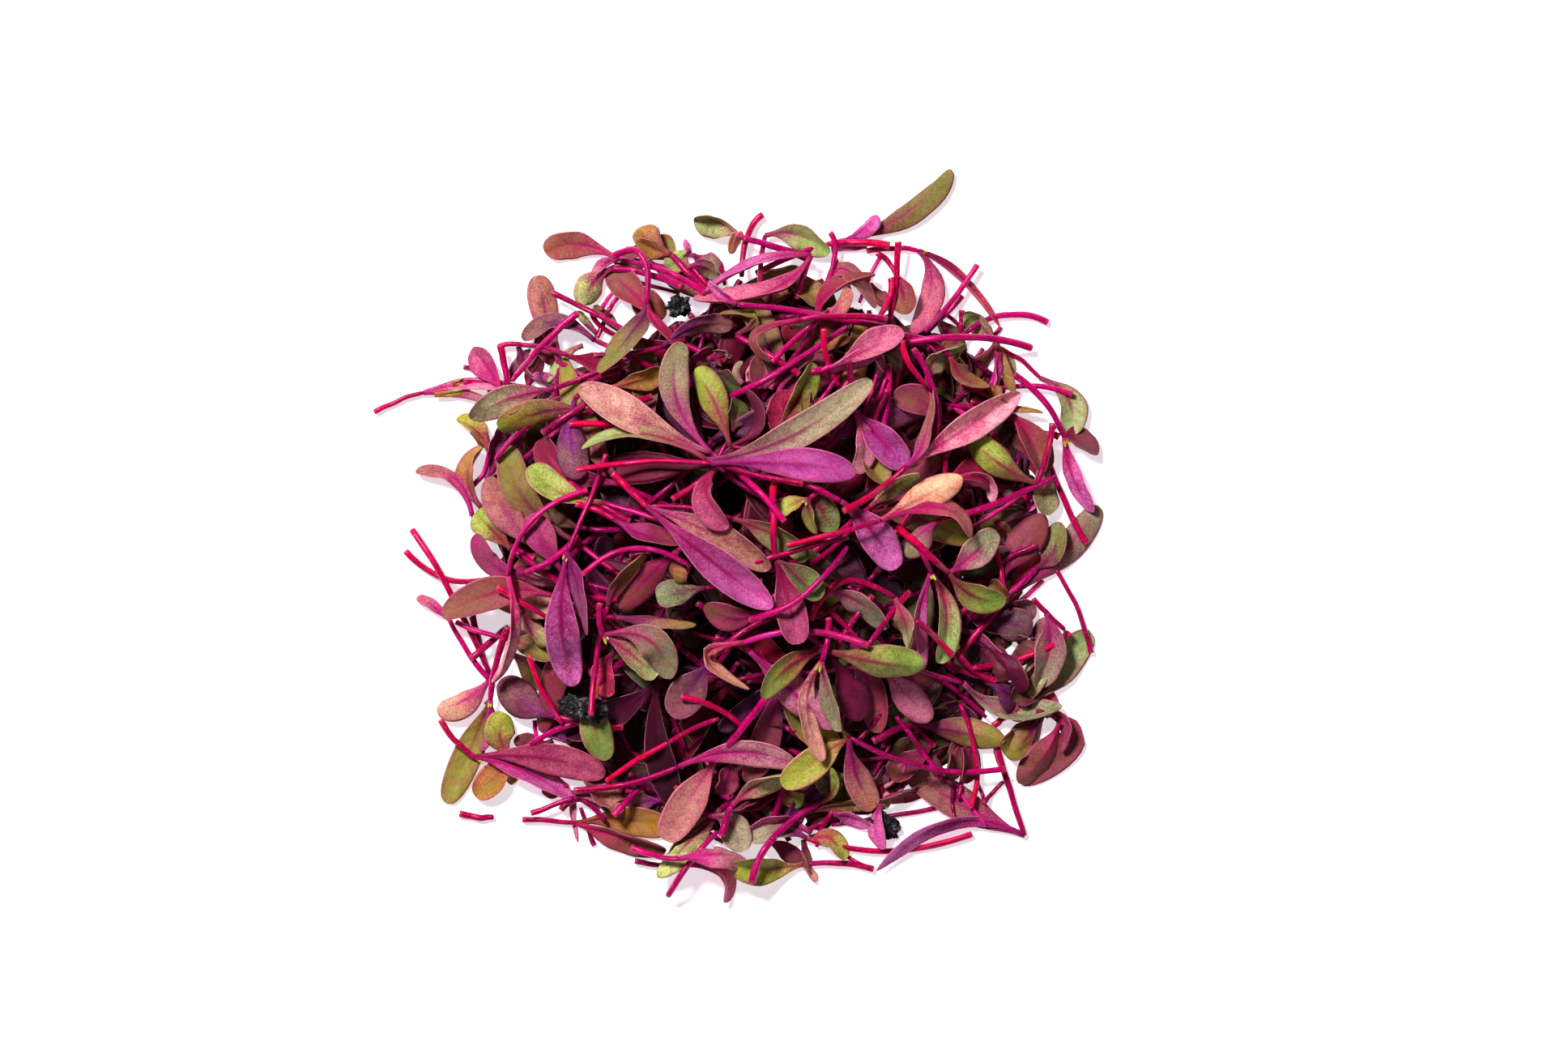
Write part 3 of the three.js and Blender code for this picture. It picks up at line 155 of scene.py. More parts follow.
# Each sprout: the number of its CAD node; the stem's tone; its foot, middle and fork in plan; heights along
# the stem; and for each leaf its tone, middle, tip, width, the side it is turned to, and heights along it
SPROUTS = (
    (1, "crimson", (-5.6, 6.3, 0.3, 0.8, 5.8, -5), (0.6, 0.6, 0.6, 0.6),
     ("plum", 8.6, -12, 9.4, -21.3, 3.7, 0, 0.4, 0.3, 0.3, 0.3),
     ("plum", 12.7, -7.9, 20.9, -9.2, 3.7, 0, 0.4, 0.3, 0.3)),
    (2, "crimson", (-9.7, -2.6, -2.8, 1.7, 5.3, 4.6), (1.3, 2, 3, 3.4),
     ("plum", 11.3, 7.1, 18.5, 8.2, 4.2, 1, 3.2, 2.9, 2.6, 2.5),
     ("purple", 8.8, 9.9, 11.4, 16.2, 4, 1, 3.2, 2.9, 2.7)),
    (2, "crimson", (1, -7.8, -2.5, -0.5, -4.9, 7.5), (1.3, 2.1, 3, 3.3),
     ("purple", -5.5, 14.8, -3.6, 23.9, 3.5, -1, 3.2, 3.3, 2.9, 2.6),
     ("olive", -11.4, 10.8, -20.5, 12.3, 4, -1, 3.1, 2.7, 2.2)),
    (3, "crimson", (8.8, -5.7, 0.8, -3.9, -7.1, 0.1), (2, 2.5, 3.8, 3.4),
     ("olive", -13.3, 2, -19.5, 5.4, 4.5, -1, 3.2, 2.9, 2.5, 2.4),
     ("purple", -12.9, -2.4, -18.8, -7.2, 4.1, -1, 3.2, 2.8, 2.5)),
    (3, "crimson", (-3.9, 9.1, -3, 1, -0.4, -7.1), (4.4, 4.6, 4.4, 3.6),
     ("olive", -2.8, -13.7, -6.9, -20.1, 4.1, -1, 3.2, 2.8, 2.6, 2.4),
     ("purple", 1.3, -14.8, 4.7, -22.6, 3.7, 1, 3.3, 3, 2.6)),
    (3, "crimson", (-4.4, 6.1, 2.6, 10.5, 11.8, 12.8), (4.7, 6.9, 10.7, 11.5),
     ("purple", 18, 15.9, 25.6, 17.7, 4.5, -1, 10, 8.1, 6.3, 5.5),
     ("olive", 15.1, 20.3, 16.6, 29.4, 4, 1, 9.9, 6.7, 4.4)),
    (3, "crimson", (0.1, 1.9, 2.5, 9.6, 5.1, 17.1), (4.6, 8.2, 10.2, 10.5),
     ("plum", 9.1, 23.8, 14.8, 29.9, 4, -1, 9.6, 7.5, 5.2, 4.5),
     ("olive", 4, 25.1, 0.2, 33.9, 3.5, 1, 9.5, 6.8, 4.4)),
    (3, "crimson", (-3.1, -0.3, -7.7, 6.3, -11.4, 13.6), (4.4, 6.8, 9.8, 10.6),
     ("olive", -13.1, 19.6, -13.3, 26.9, 4.1, 1, 9.9, 8.4, 6.8, 6.3),
     ("plum", -17.9, 16.6, -26.4, 17.8, 3.6, -1, 9.7, 7.8, 5.6)),
    (3, "crimson", (-1.3, 0.2, -8.6, 3.5, -15.8, 6.9), (6.1, 7.1, 9.7, 10.7),
     ("olive", -20.8, 13.9, -24.2, 24.4, 4.2, -1, 9.7, 8.6, 7.4, 3.8),
     ("plum", -23.1, 8.1, -31, 7.9, 3.9, -1, 9.8, 7.5, 5.6)),
    (3, "crimson", (-1.8, -4.4, 0.9, -12, 4.6, -19.3), (4.2, 6.5, 9, 9.7),
     ("plum", 3.8, -26.3, 0.8, -33.7, 4.2, -1, 8.7, 6.7, 4.8, 4.1),
     ("olive", 8, -24.4, 13.1, -29, 4.4, -1, 8.9, 6.8, 5.1)),
    (3, "crimson", (3.5, -33, 0.5, -35, -2.8, -37.3), (3.9, 3.9, 3.1, 2.1),
     ("olive", -6.4, -40.4, -10, -44, 3.4, -1, 1.6, 1.6, 1.9, 2),
     ("sage", -6.8, -41.8, -11.5, -46.6, 3.2, 1, 1.7, 3.6, 3.2)),
    (3, "magenta", (-10, -49.2, -7, -44.6, -3.2, -40.4), (2.7, 4.5, 4.5, 3.3)),
    (4, "crimson", (3, -3.7, 8.8, -9.2, 14.8, -14.5), (4.2, 6.4, 8.6, 9.1),
     ("plum", 17.4, -20, 18.7, -26.9, 4.2, -1, 8.5, 6.8, 5.2, 4.7),
     ("plum", 20.1, -17.5, 26.3, -19.6, 3.9, 1, 8.5, 6.3, 4.7)),
    (5, "crimson", (2.9, -7.3, 10.3, -3.5, 17.1, 3.4), (7.2, 7.6, 10.7, 11.6),
     ("olive", 24.2, 2.3, 31.8, -0.9, 3.9, -1, 9.9, 7.9, 5.9, 5.2),
     ("plum", 23.2, 7.9, 28.8, 15.1, 4.2, -1, 10.1, 7.3, 5)),
    (5, "crimson", (28, 6, 27.8, 10, 27.2, 14), (6.3, 6.8, 6.9, 6.6),
     ("plum", 25.4, 18, 20.8, 18.8, 3.8, 1, 6.8, 7.3, 7.7, 7.8)),
    (5, "crimson", (26.8, 12, 26.4, 16.6, 25.6, 20.8), (7.3, 7.4, 7.4, 6.8),
     ("sage", 26.6, 24, 30.8, 26.2, 2.6, 1, 5.9, 5.2, 5.3, 5.3)),
    (5, "dark", (22, 27.4, 25.6, 26.6, 28.6, 24.6), (3.6, 5.2, 6.6, 6.3),
     ("gold", 30.4, 21.8, 34, 20.5, 2.6, -1, 5.7, 5.2, 4.3, 3.9)),
    (5, "magenta", (23.5, 25.6, 26, 20.6, 26.9, 14.6), (8.7, 8, 8, 8)),
    (5, "crimson", (10, -2, 14, 1, 17.6, 4), (13.9, 14.2, 13.3, 11.7),
     ("sage", 20.8, 6.6, 24.4, 8.4, 3, 1, 11.4, 11, 10.6, 10.4)),
    (5, "crimson", (20, -1, 24, 4, 27.6, 7.4), (9.8, 9.9, 8.6, 7.5),
     ("dusk", 31.4, 8.8, 33.9, 8, 3.6, -1, 6.6, 5, 4.3, 3.9),
     ("pink", 33.2, 7.8, 34.4, 4.6, 2, 1, 5.7, 3.9, 3.7)),
    (5, "red", (13.9, 3.4, 18.6, 6.2, 22.6, 9.6), (16.8, 15.5, 12.6, 12.4),
     ("pink", 30.2, 14.4, 38.2, 19.6, 4.2, -1, 8.5, 6.5, 3.6, 2.8),
     ("tan", 25.2, 13.4, 26.2, 20, 1.8, -1, 10.7, 8.5, 8.4)),
    (6, "crimson", (-5.9, -1.2, -12.9, -5.1, -19.7, -9.4), (4.8, 6.2, 8.2, 8.6),
     ("salmon", -27, -9.4, -35.4, -7, 4.4, -1, 7.7, 5.7, 3.8, 3),
     ("plum", -24.3, -16.5, -27.3, -26.9, 4, 1, 7.5, 4.4, 2.1)),
    (6, "magenta", (-39, -11.7, -35.3, -13.1, -32, -13.9), (3.1, 3.7, 4.2, 4.4),
     ("olive", -28.8, -15.1, -25.4, -16.2, 3.4, -1, 4.7, 5.1, 5.3, 5.3),
     ("sage", -30, -12.5, -27.2, -13, 2.4, 1, 4.4, 4.6, 4.5)),
    (6, "crimson", (-31.8, -12.4, -33.4, -17, -34.3, -22.4), (4.9, 4.5, 3.3, 2.4),
     ("olive", -36.6, -28, -40.4, -36.6, 4.2, -1, 1.1, 0.5, 0.4, 0.4),
     ("rose", -34.6, -26.2, -35.6, -29.4, 1.2, 1, 2.1, 1.7, 1.3)),
    (6, "magenta", (-21.2, -25.2, -26.2, -26.9, -31.2, -30.1), (5.3, 5, 3.2, 1.8),
     ("gold", -33.2, -32.4, -36.3, -35.8, 3.8, 1, 1.6, 1.5, 1.2, 1.1),
     ("lime", -33, -27.5, -32.2, -24.2, 4.4, -1, 2, 2.2, 2.1)),
    (6, "red", (-41.1, -25.1, -38.7, -28.5, -36.4, -30.2), (3.2, 2.2, 1.4, 1.6),
     ("violet", -29.6, -32.2, -23, -36.2, 3.2, -1, 2.4, 2, 1.4, 1.3),
     ("wine", -27.5, -30.2, -18.6, -32.7, 4.4, -1, 3, 2.3, 1.4)),
    (6, "dark", (-24.7, -37.5, -21.9, -36.2, -18.6, -39), (1.7, 1.7, 1.9, 2.1)),
    (6, "crimson", (-28.8, -37.9, -26, -36.9, -22.9, -35.7), (1.8, 1.9, 2.1, 2.1),
     ("tan", -19, -35.8, -17, -38.2, 3.4, -1, 2.1, 2.1, 2.3, 2.3)),
    (6, "crimson", (-16, -26, -20.6, -25.6, -25.4, -24.6), (6.7, 6.5, 5.8, 5),
     ("grey", -29.6, -22.8, -32.4, -19.2, 5, -1, 3.6, 2.8, 2.6, 2.7)),
    (6, "red", (-28.9, -16.2, -27.2, -20.8, -24.4, -25.6), (6.4, 5.6, 5.2, 5.8)),
    (7, "crimson", (-3.4, -5.5, -7.3, -12.5, -11.2, -19.5), (3.5, 6, 8, 8.3),
     ("night", -16.6, -23.8, -24.1, -26.9, 4.5, -1, 7.4, 5.5, 3.8, 3.1),
     ("night", -11.4, -27.7, -8.8, -37.5, 3.4, 1, 7.1, 4.4, 2.3)),
    (7, "crimson", (-9, -34, -6.5, -36.5, -4, -38.3), (3.2, 2.8, 2.8, 3.2),
     ("mist", -1.4, -39.4, -0.1, -43.2, 4.4, -1, 3.3, 3, 3, 3.2)),
    (7, "red", (31.7, -40.8, 20, -43.1, 9, -41.4), (0.7, 0.7, 0.7, 1.2),
     ("mist", 5.4, -40.2, 1.5, -41.8, 2.4, 1, 1.9, 2.6, 3, 3),
     ("lime", 12.2, -41.6, 14.2, -44.3, 2.4, -1, 1.3, 1.7, 1.7)),
    (7, "crimson", (34.8, -27.5, 36.3, -33.2, 38.9, -41), (0.7, 0.7, 0.7, 0.7),
     ("tan", 31.6, -37.6, 22.4, -31.7, 4.8, -1, 0.6, 0.5, 0.8, 1.1),
     ("violet", 28.5, -39.3, 18.6, -45.8, 1.9, -1, 1.4, 2.3, 1.5)),
    (7, "magenta", (4.4, -20.8, 0.6, -25.6, -3, -30), (11.9, 10.2, 8.7, 5.8),
     ("tan", -6.6, -35.4, -10.4, -41.6, 5, -1, 4.2, 3.9, 3.6, 3.5)),
    (7, "red", (-18.4, -33.5, -10.6, -28.4, -3, -24.8), (2.6, 5.4, 6.6, 9.5)),
    (7, "crimson", (-22.9, -34.8, -15.4, -33.8, -8.4, -31.4), (3.2, 3.3, 4.3, 5.2),
     ("pink", 0, -29.4, 7.6, -31.4, 3.6, 1, 7.1, 7.3, 6.4, 5.6)),
    (7, "magenta", (1.5, -47.4, 4.4, -41.2, 11, -36.4), (5.1, 5, 3.2, 1.9),
     ("green", 12.8, -34.6, 12.4, -31.6, 0.9, -1, 2.9, 4.8, 6.2, 7.3)),
    (8, "red", (-50.3, 17, -47, 18.6, -43.5, 19.7), (0.7, 0.7, 0.7, 0.7),
     ("pink", -36.5, 20.8, -28.5, 19.4, 1.8, -1, 0.9, 1.7, 2.4, 2.5),
     ("pink", -38.5, 19.5, -34.4, 18.2, 1.2, 1, 0.8, 1, 1)),
    (8, "crimson", (-22, 15, -28, 18, -32.5, 19.5), (9.8, 8.4, 4.8, 3.1),
     ("rose", -35, 23.4, -36.9, 25.7, 3.8, -1, 2.5, 1.6, 1.1, 1)),
    (8, "crimson", (-33, 26.2, -32.4, 23.6, -32, 20.5), (2.7, 2.7, 2.8, 2.8)),
    (8, "magenta", (-24, 18, -29.6, 14.6, -33.4, 10.4), (9.4, 8.8, 7.4, 7.5)),
    (8, "crimson", (-12, 19, -16, 18, -20.8, 17), (11.2, 11.4, 11, 10.1),
     ("olive", -27, 17, -33, 14.6, 3.8, -1, 9.7, 9.7, 9.2, 8.9)),
    (8, "crimson", (-16, 24, -21, 21.8, -25.6, 20), (9.2, 8.8, 8.7, 9.5),
     ("mist", -31.4, 18.8, -36.8, 16, 4.2, -1, 10.1, 10, 7.6, 5.9)),
    (8, "dark", (-16, 23, -19.6, 21.4, -22.6, 18.6), (9.4, 9.4, 9.6, 10.3),
     ("grey", -23, 12.6, -21.8, 7.8, 4.6, -1, 10.4, 10.5, 10.6, 10.6)),
    (8, "red", (-23.4, 15.2, -15.6, 15, -8, 13), (10.9, 10.9, 12.1, 12.1)),
    (8, "dark", (-27, 14, -22, 17.5, -17.6, 20.2), (10.3, 10.8, 10.4, 10.1),
     ("gold", -13.6, 21.4, -10, 22.3, 2.4, 1, 10.5, 10.8, 10.7, 10.7)),
    (9, "red", (-46, -2, -39.5, -6.1, -31.5, -4.8), (0.7, 1.1, 3.5, 5.8),
     ("sage", -28.8, -3.9, -25.8, -4.2, 2.6, 1, 6.6, 6.9, 6.9, 6.8),
     ("rose", -28, -5.6, -24.2, -6.2, 2, 1, 6.6, 7.4, 7.1)),
    (9, "red", (-45.1, 0.9, -40.2, -7, -34.2, -19.3), (0.7, 2.2, 1.7, 1.2),
     ("salmon", -37.7, -22.6, -41.7, -23.8, 3.3, 1, 1.3, 1.4, 1.3, 1.3)),
    (9, "magenta", (-34.2, -19.8, -37.6, -15.6, -40, -11.3), (1.6, 1.4, 1, 0.9),
     ("rose", -42.2, -9.6, -44.5, -8.5, 1.4, 1, 1, 1, 1, 1)),
    (9, "crimson", (-36.9, -16.7, -34.2, -14.4, -31.8, -12.3), (2, 2.2, 2.6, 2.9)),
    (10, "crimson", (-30, -38.8, -26.2, -39, -22.6, -39.3), (0.7, 0.7, 0.7, 0.7),
     ("bronze", -16.8, -41.3, -10.2, -43, 2.8, 1, 1.2, 1.6, 1.5, 1.4),
     ("gold", -16.2, -38.8, -9.8, -40.2, 4, 1, 0.7, 0.8, 0.6)),
    (11, "dark", (-14.6, -44.5, -11.6, -45, -8.5, -45.1), (0.7, 0.7, 0.7, 0.7),
     ("rose", -2.6, -45.9, -2.3, -50.2, 2.2, -1, 1.2, 1.5, 1.4, 1.4)),
    (12, "magenta", (-15, -42.5, -11.8, -43.6, -8.3, -44), (2.9, 3.7, 5.1, 5.9),
     ("pink", -4, -43.6, 0.7, -44.3, 3, -1, 6, 6, 3.6, 2.7)),
    (12, "crimson", (18.2, -45.6, 13.5, -44.8, 8.6, -44.9), (0.7, 0.7, 0.7, 0.7),
     ("lime", 3.6, -45.6, -1.4, -44.9, 4, -1, 1.2, 3.1, 4.5, 4.9),
     ("salmon", 9.4, -46, 10.3, -47.4, 1, -1, 0.7, 0.7, 0.7)),
    (13, "magenta", (35, -19, 38.5, -22, 41.6, -24.3), (1.1, 1, 0.8, 0.7),
     ("bronze", 45.2, -27.6, 38.2, -33.8, 4.4, -1, 0.6, 0.5, 0.4, 0.4),
     ("olive", 39.5, -27, 37, -29.8, 3.8, -1, 0.8, 1, 1)),
    (13, "crimson", (34.5, -26, 36, -25, 37.6, -24), (0.8, 1, 1.1, 1.2),
     ("sage", 42.4, -19, 47.9, -13, 5.2, -1, 1.1, 0.5, 0.4, 0.4),
     ("sage", 39.6, -20.5, 41.2, -16.2, 2.8, -1, 1.4, 1.7, 1.6)),
    (13, "crimson", (48, -16, 46.4, -10.6, 43, -4.2), (0.8, 0.8, 0.7, 0.7)),
    (13, "crimson", (30, -16, 33.4, -12, 37.6, -7.6), (2.9, 2.8, 2.4, 1.8),
     ("mist", 44.2, -2.2, 49, 4.2, 4.2, -1, 1.1, 0.6, 0.4, 0.4)),
    (13, "magenta", (33, -11, 37, -7.6, 40.6, -4.2), (2.6, 2.5, 2.2, 1.7),
     ("moss", 42.6, -2.4, 43.6, 2, 3.6, -1, 1.5, 1.4, 1.3, 1.3)),
    (13, "crimson", (47.4, -1.1, 44.4, 4.6, 41.6, 12.2), (0.9, 0.8, 0.7, 0.7),
     ("mist", 41.4, 6.6, 42.4, 3, 3.4, -1, 1.1, 1.7, 2.1, 2.2)),
    (13, "magenta", (18, -15, 24, -18, 30.4, -20), (11.5, 9.8, 7.3, 3.9),
     ("mist", 36.4, -23.9, 44, -23.2, 3.8, -1, 1.7, 2, 2, 1.5)),
    (14, "dark", (18, -28, 21, -26.5, 24, -25.6), (5.9, 5.7, 4.1, 3.1),
     ("olive", 29.6, -26.6, 36.2, -28, 4, 1, 2.2, 1.5, 1.9, 2)),
    (14, "red", (31.4, -37.3, 32.2, -30.5, 30, -22.9), (1.8, 1.5, 2.2, 2.3)),
    (14, "magenta", (27.5, -33.2, 24.4, -28.8, 21.2, -24.6), (1.8, 2.3, 4.4, 4.8)),
    (15, "crimson", (28, -12, 32, -9, 36, -5.4), (4.5, 4.2, 3.4, 2.6),
     ("plum", 38.2, -1.8, 41.6, 3, 5, -1, 2.1, 1.7, 1.4, 1.3)),
    (15, "dark", (40.4, -1.2, 37.8, -2.4, 35.2, -3.9), (2.4, 2.4, 2.5, 2.5)),
    (15, "red", (34.9, -1.6, 35.5, -4.4, 36, -7.6), (2.7, 3, 3.4, 3.9)),
    (16, "crimson", (34.5, 26.2, 38, 24.3, 41, 21.7), (0.7, 0.7, 0.7, 0.7),
     ("sage", 45, 18.6, 44.8, 13.9, 3.2, -1, 1.2, 1.4, 1.4, 1.3)),
    (16, "magenta", (45.4, 19.4, 40, 20.6, 34, 20), (1.8, 1.7, 1.2, 1.2)),
    (16, "magenta", (37.3, 22.2, 41.2, 18.9, 44.3, 13.6), (1.8, 1.8, 2.1, 2.1),
     ("violet", 45.6, 8.4, 48.3, 3.3, 2.2, 1, 1.7, 1.7, 1.7, 1.8),
     ("bronze", 45.6, 13.6, 48.9, 11.2, 2.6, -1, 1.9, 1.9, 1.7)),
    (16, "red", (43.6, 13.6, 42, 14, 37.5, 14.8), (2.2, 2.1, 1.7, 1)),
    (16, "crimson", (30, 21, 33.6, 19.4, 36.6, 17), (2, 1.9, 1.5, 1.6),
     ("bronze", 39.6, 13.6, 41.6, 8.6, 3.8, -1, 2.1, 2.5, 2.5, 2.4)),
    (17, "magenta", (42.1, 29.3, 36.5, 30.4, 31, 28), (0.7, 0.7, 0.7, 1.6),
     ("olive", 29, 25.4, 30.8, 22.4, 3, 1, 2.4, 2.6, 2.6, 2.6)),
    (17, "magenta", (17.2, 39.1, 20.8, 39.6, 24.4, 39.1), (0.7, 0.7, 0.7, 0.7),
     ("crimson", 29.8, 35.8, 35.4, 28.8, 1.2, -1, 0.9, 1.2, 1.1, 1.1),
     ("rose", 26.2, 34.2, 23.3, 27.8, 3.8, 1, 0.8, 1.3, 1.9)),
    (17, "crimson", (18.6, 38.8, 20.2, 37.6, 21.2, 35.8), (0.8, 0.9, 1.2, 1.6),
     ("bronze", 22.3, 33.4, 22, 30.4, 3, 1, 2, 2.3, 2.3, 2.3)),
    (17, "red", (21.5, 40.3, 21.3, 36.5, 20.3, 29), (3.3, 3, 2.1, 2.5)),
    (17, "red", (20.5, 35.4, 19.7, 31.2, 15.4, 25.8), (2.5, 2.8, 5.6, 7.1)),
    (17, "magenta", (32.4, 37.2, 29, 32.4, 25.2, 28), (1.6, 1.9, 2.8, 6.3)),
    (18, "magenta", (2, 36, 8, 38.7, 14.6, 40.7), (2.2, 1.9, 1.4, 1.1),
     ("olive", 22.9, 44.2, 28.8, 50.3, 3.5, -1, 0.8, 0.7, 0.7, 0.6),
     ("violet", 17, 42, 18.7, 44, 2, -1, 1.2, 1.4, 1.4)),
    (18, "red", (20.4, 39.8, 16, 40.3, 11.8, 40), (2.2, 2.1, 1.8, 1.7)),
    (18, "magenta", (12.2, 41.6, 13, 38.6, 11.4, 33.6), (2.1, 2.1, 2.2, 2.4),
     ("tan", 14.2, 36.4, 18.4, 31.2, 3.2, -1, 2.1, 2, 1.9, 1.9)),
    (18, "crimson", (2.6, 33, 2.8, 37.8, 3.3, 41.2), (4.8, 3.5, 2.1, 1.4),
     ("sage", 7.8, 41.2, 12, 38.6, 3.8, 1, 1.7, 2.3, 2.3, 2.2)),
    (18, "magenta", (9.2, 38, 4.6, 39.6, 0.2, 40.8), (2.2, 2.2, 2.9, 3.2),
     ("sage", -3.2, 42.7, -6.5, 43.2, 2.6, -1, 2.6, 2, 1.9, 1.8),
     ("cream", -0.6, 41.4, -1.4, 38.6, 1.6, -1, 3.1, 3.1, 3.1)),
    (18, "dark", (4, 20, 7.5, 25, 10.5, 29.5), (11.3, 10.7, 8.7, 6.7),
     ("bronze", 12.2, 33.6, 18.4, 35.8, 2, -1, 4.5, 3.6, 3.4, 2.7),
     ("tan", 13.2, 31, 14.3, 34, 3, -1, 6.4, 5.6, 4.8)),
    (18, "crimson", (8, 22, 4, 24.6, -0.6, 27.4), (11.4, 11.3, 10.2, 8.9),
     ("olive", 1.9, 29.8, -2.8, 30.4, 1.6, 1, 8.3, 8.2, 7.8, 7.6)),
    (18, "magenta", (4.2, 23.6, 7.6, 27, 12, 30.8), (11.9, 11.2, 9.5, 9.6)),
    (18, "magenta", (-2.1, 18.7, 6.2, 23, 14.4, 28.6), (10, 12.3, 11.7, 9.1)),
    (19, "red", (3, 44.1, 0.9, 41.2, 0.1, 35.5), (0.9, 1.1, 1.8, 2.4)),
    (20, "dark", (-1, 30, -3.5, 33, -6.8, 36.9), (4.7, 4.5, 3.9, 3.1),
     ("sage", -8.3, 37.5, -9.3, 38.9, 3, -1, 3, 2.9, 2.9, 2.9),
     ("mist", -5, 37, -2.9, 35.4, 3, 1, 3.1, 3.1, 3.1)),
    (20, "crimson", (-4, 33, -7, 36, -9.6, 38.6), (4.4, 4.2, 3.7, 3.3),
     ("gold", -12.3, 40.2, -14, 42.3, 3.4, -1, 2.6, 2, 1.6, 1.5),
     ("gold", -12, 39.3, -14.2, 40.4, 2.4, -1, 3, 2.6, 2.2)),
    (21, "crimson", (-2, 24, -7, 26, -11.5, 29.3), (7.5, 7.2, 6.3, 5),
     ("bronze", -15, 33.6, -18.3, 36.6, 4.2, -1, 3.6, 2.4, 1.6, 1.4)),
    (21, "magenta", (-8, 34, -13, 36, -17.8, 36.6), (6.7, 4.3, 2.1, 1.9),
     ("sage", -20.4, 34.6, -21.4, 31.6, 3.8, -1, 1.8, 1.8, 1.8, 1.8)),
    (21, "magenta", (-5, 33.2, -10.5, 36.2, -16.8, 38), (6.6, 6.6, 4.5, 1.9),
     ("tan", -22.3, 40, -26.9, 38.9, 3.2, -1, 1.1, 1.2, 1.1, 1.1),
     ("rose", -19, 37, -19.9, 35.2, 1.4, 1, 1.9, 1.9, 1.9)),
    (21, "dark", (7.6, 32.5, 8.6, 35.8, 9.6, 38.4), (3.2, 3.4, 3.6, 3.7),
     ("rose", 3.8, 33.6, -6.5, 32.4, 2.4, 1, 4.5, 6.4, 7, 7.3),
     ("violet", 2.3, 37.6, -4.8, 33.4, 1.3, 1, 4.1, 4.6, 6.7)),
    (22, "magenta", (-15, 18, -20, 21, -24.9, 23.8), (9.8, 7.3, 5.9, 4.5),
     ("tan", -26.7, 30, -27.8, 35.8, 3.6, 1, 1.8, 1.3, 1.1, 1.1)),
    (22, "crimson", (-33.3, 26, -29, 26.3, -23.5, 24.6), (1.1, 1.7, 4.4, 6.2),
     ("dusk", -20, 23.5, -16.5, 22, 2.5, -1, 6.2, 6.1, 6, 5.9)),
    (22, "dark", (-10, 22, -15, 24.5, -20, 26.8), (8.5, 8.8, 7.6, 4),
     ("grey", -25, 29.2, -29.8, 26.8, 1.8, 1, 2.9, 2.5, 2.4, 2.4)),
    (22, "magenta", (-22.3, 30.5, -26.5, 26.8, -31, 21.3), (4.2, 4.3, 5, 10.5)),
    (23, "crimson", (-25.9, 33.4, -20, 30.4, -13.5, 26.8), (2.6, 3.1, 4.8, 8),
     ("dusk", -10.6, 25.6, -7.6, 24.4, 2.4, 1, 8, 8, 7.8, 7.7)),
    (23, "dark", (-20, 24.6, -15, 25, -10.6, 25.8), (10.2, 10.4, 10.1, 9.4),
     ("grey", -6, 28.9, -1.2, 28.6, 2.2, 1, 8.8, 7.2, 6.2, 6.2)),
    (23, "magenta", (-17.6, 38.3, -13.4, 38.2, -12.9, 31.5), (4.2, 5.6, 6.5, 7.1),
     ("olive", -14.6, 27.8, -19.4, 22.3, 3.8, 1, 8.2, 10.5, 11.5, 11.3),
     ("dusk", -11, 28.5, -7, 24.9, 1.3, -1, 8.1, 9.5, 9.4)),
    (24, "magenta", (-38.2, 5.7, -35.2, 8.8, -34.6, 11.8), (1.9, 2.1, 2.1, 2.1),
     ("lime", -36.2, 14.6, -39, 16, 2.2, 1, 2.1, 2.1, 2, 2)),
    (24, "crimson", (-26, -2, -30.6, 0.6, -35.4, 3.8), (8.6, 6.4, 4.5, 3.1),
     ("gold", -37.6, 8.2, -35.4, 12.2, 2.6, -1, 2.6, 2.5, 2.5, 2.5)),
    (24, "crimson", (-28, -3, -32.6, -0.6, -36.8, 2.8), (9.9, 8, 3.7, 2.7),
     ("tan", -39.4, 7.8, -44.6, 8.8, 1.6, 1, 2.6, 2.2, 1.4, 1.2)),
    (24, "crimson", (-22, -8, -26.4, -5, -31.2, -1.8), (8.8, 9.5, 10, 9.5),
     ("green", -33.8, 0.8, -36.3, 3.2, 4.2, -1, 8.6, 6.8, 5.2, 4.5)),
    (25, "magenta", (-18, -9, -22, -6, -26.8, -2.4), (10.1, 9.9, 9.7, 10.8),
     ("tan", -31.8, 2.8, -34.2, 8.2, 4.8, -1, 10.1, 8.7, 6.3, 5.3)),
    (25, "crimson", (-14, -7, -18, -4, -22.4, -0.8), (11.3, 11, 10.3, 9.1),
     ("olive", -29.6, 5.2, -31.4, 12.4, 4.4, -1, 8.7, 8.9, 6.7, 5.9)),
    (25, "magenta", (-16, -13, -20, -9, -24.4, -4.6), (9.4, 10, 10.3, 10.9),
     ("wine", -26.6, -1, -28.8, 3, 4.2, -1, 11.1, 11, 10.5, 10.2)),
    (25, "magenta", (-22, 0, -25.6, -3, -29.4, -5), (10.6, 11.3, 11.7, 11.3),
     ("wine", -33.8, -3.6, -36, 0.4, 2.8, -1, 8.9, 7.6, 7.7, 7.8)),
    (25, "crimson", (-14, -9, -19.6, -8.4, -25.2, -8.2), (10.9, 10.9, 10.9, 9.9),
     ("bronze", -33, -7.6, -40.8, -11, 4.8, -1, 9.4, 8.4, 4.7, 4.2)),
    (25, "dark", (-31.4, -4, -30.8, -7, -29.6, -10.4), (10.2, 10.1, 9.7, 8.6),
     ("sage", -28.2, -13.2, -26.2, -14.8, 2, 1, 7.7, 6.9, 6.9, 6.9)),
    (25, "red", (-33.2, -6.9, -30, -9, -26.4, -11), (9.9, 10.1, 9.7, 9.1)),
    (25, "crimson", (-1.5, 1.6, -5, 0, -8.6, -2), (15.7, 15.4, 15.6, 16.3),
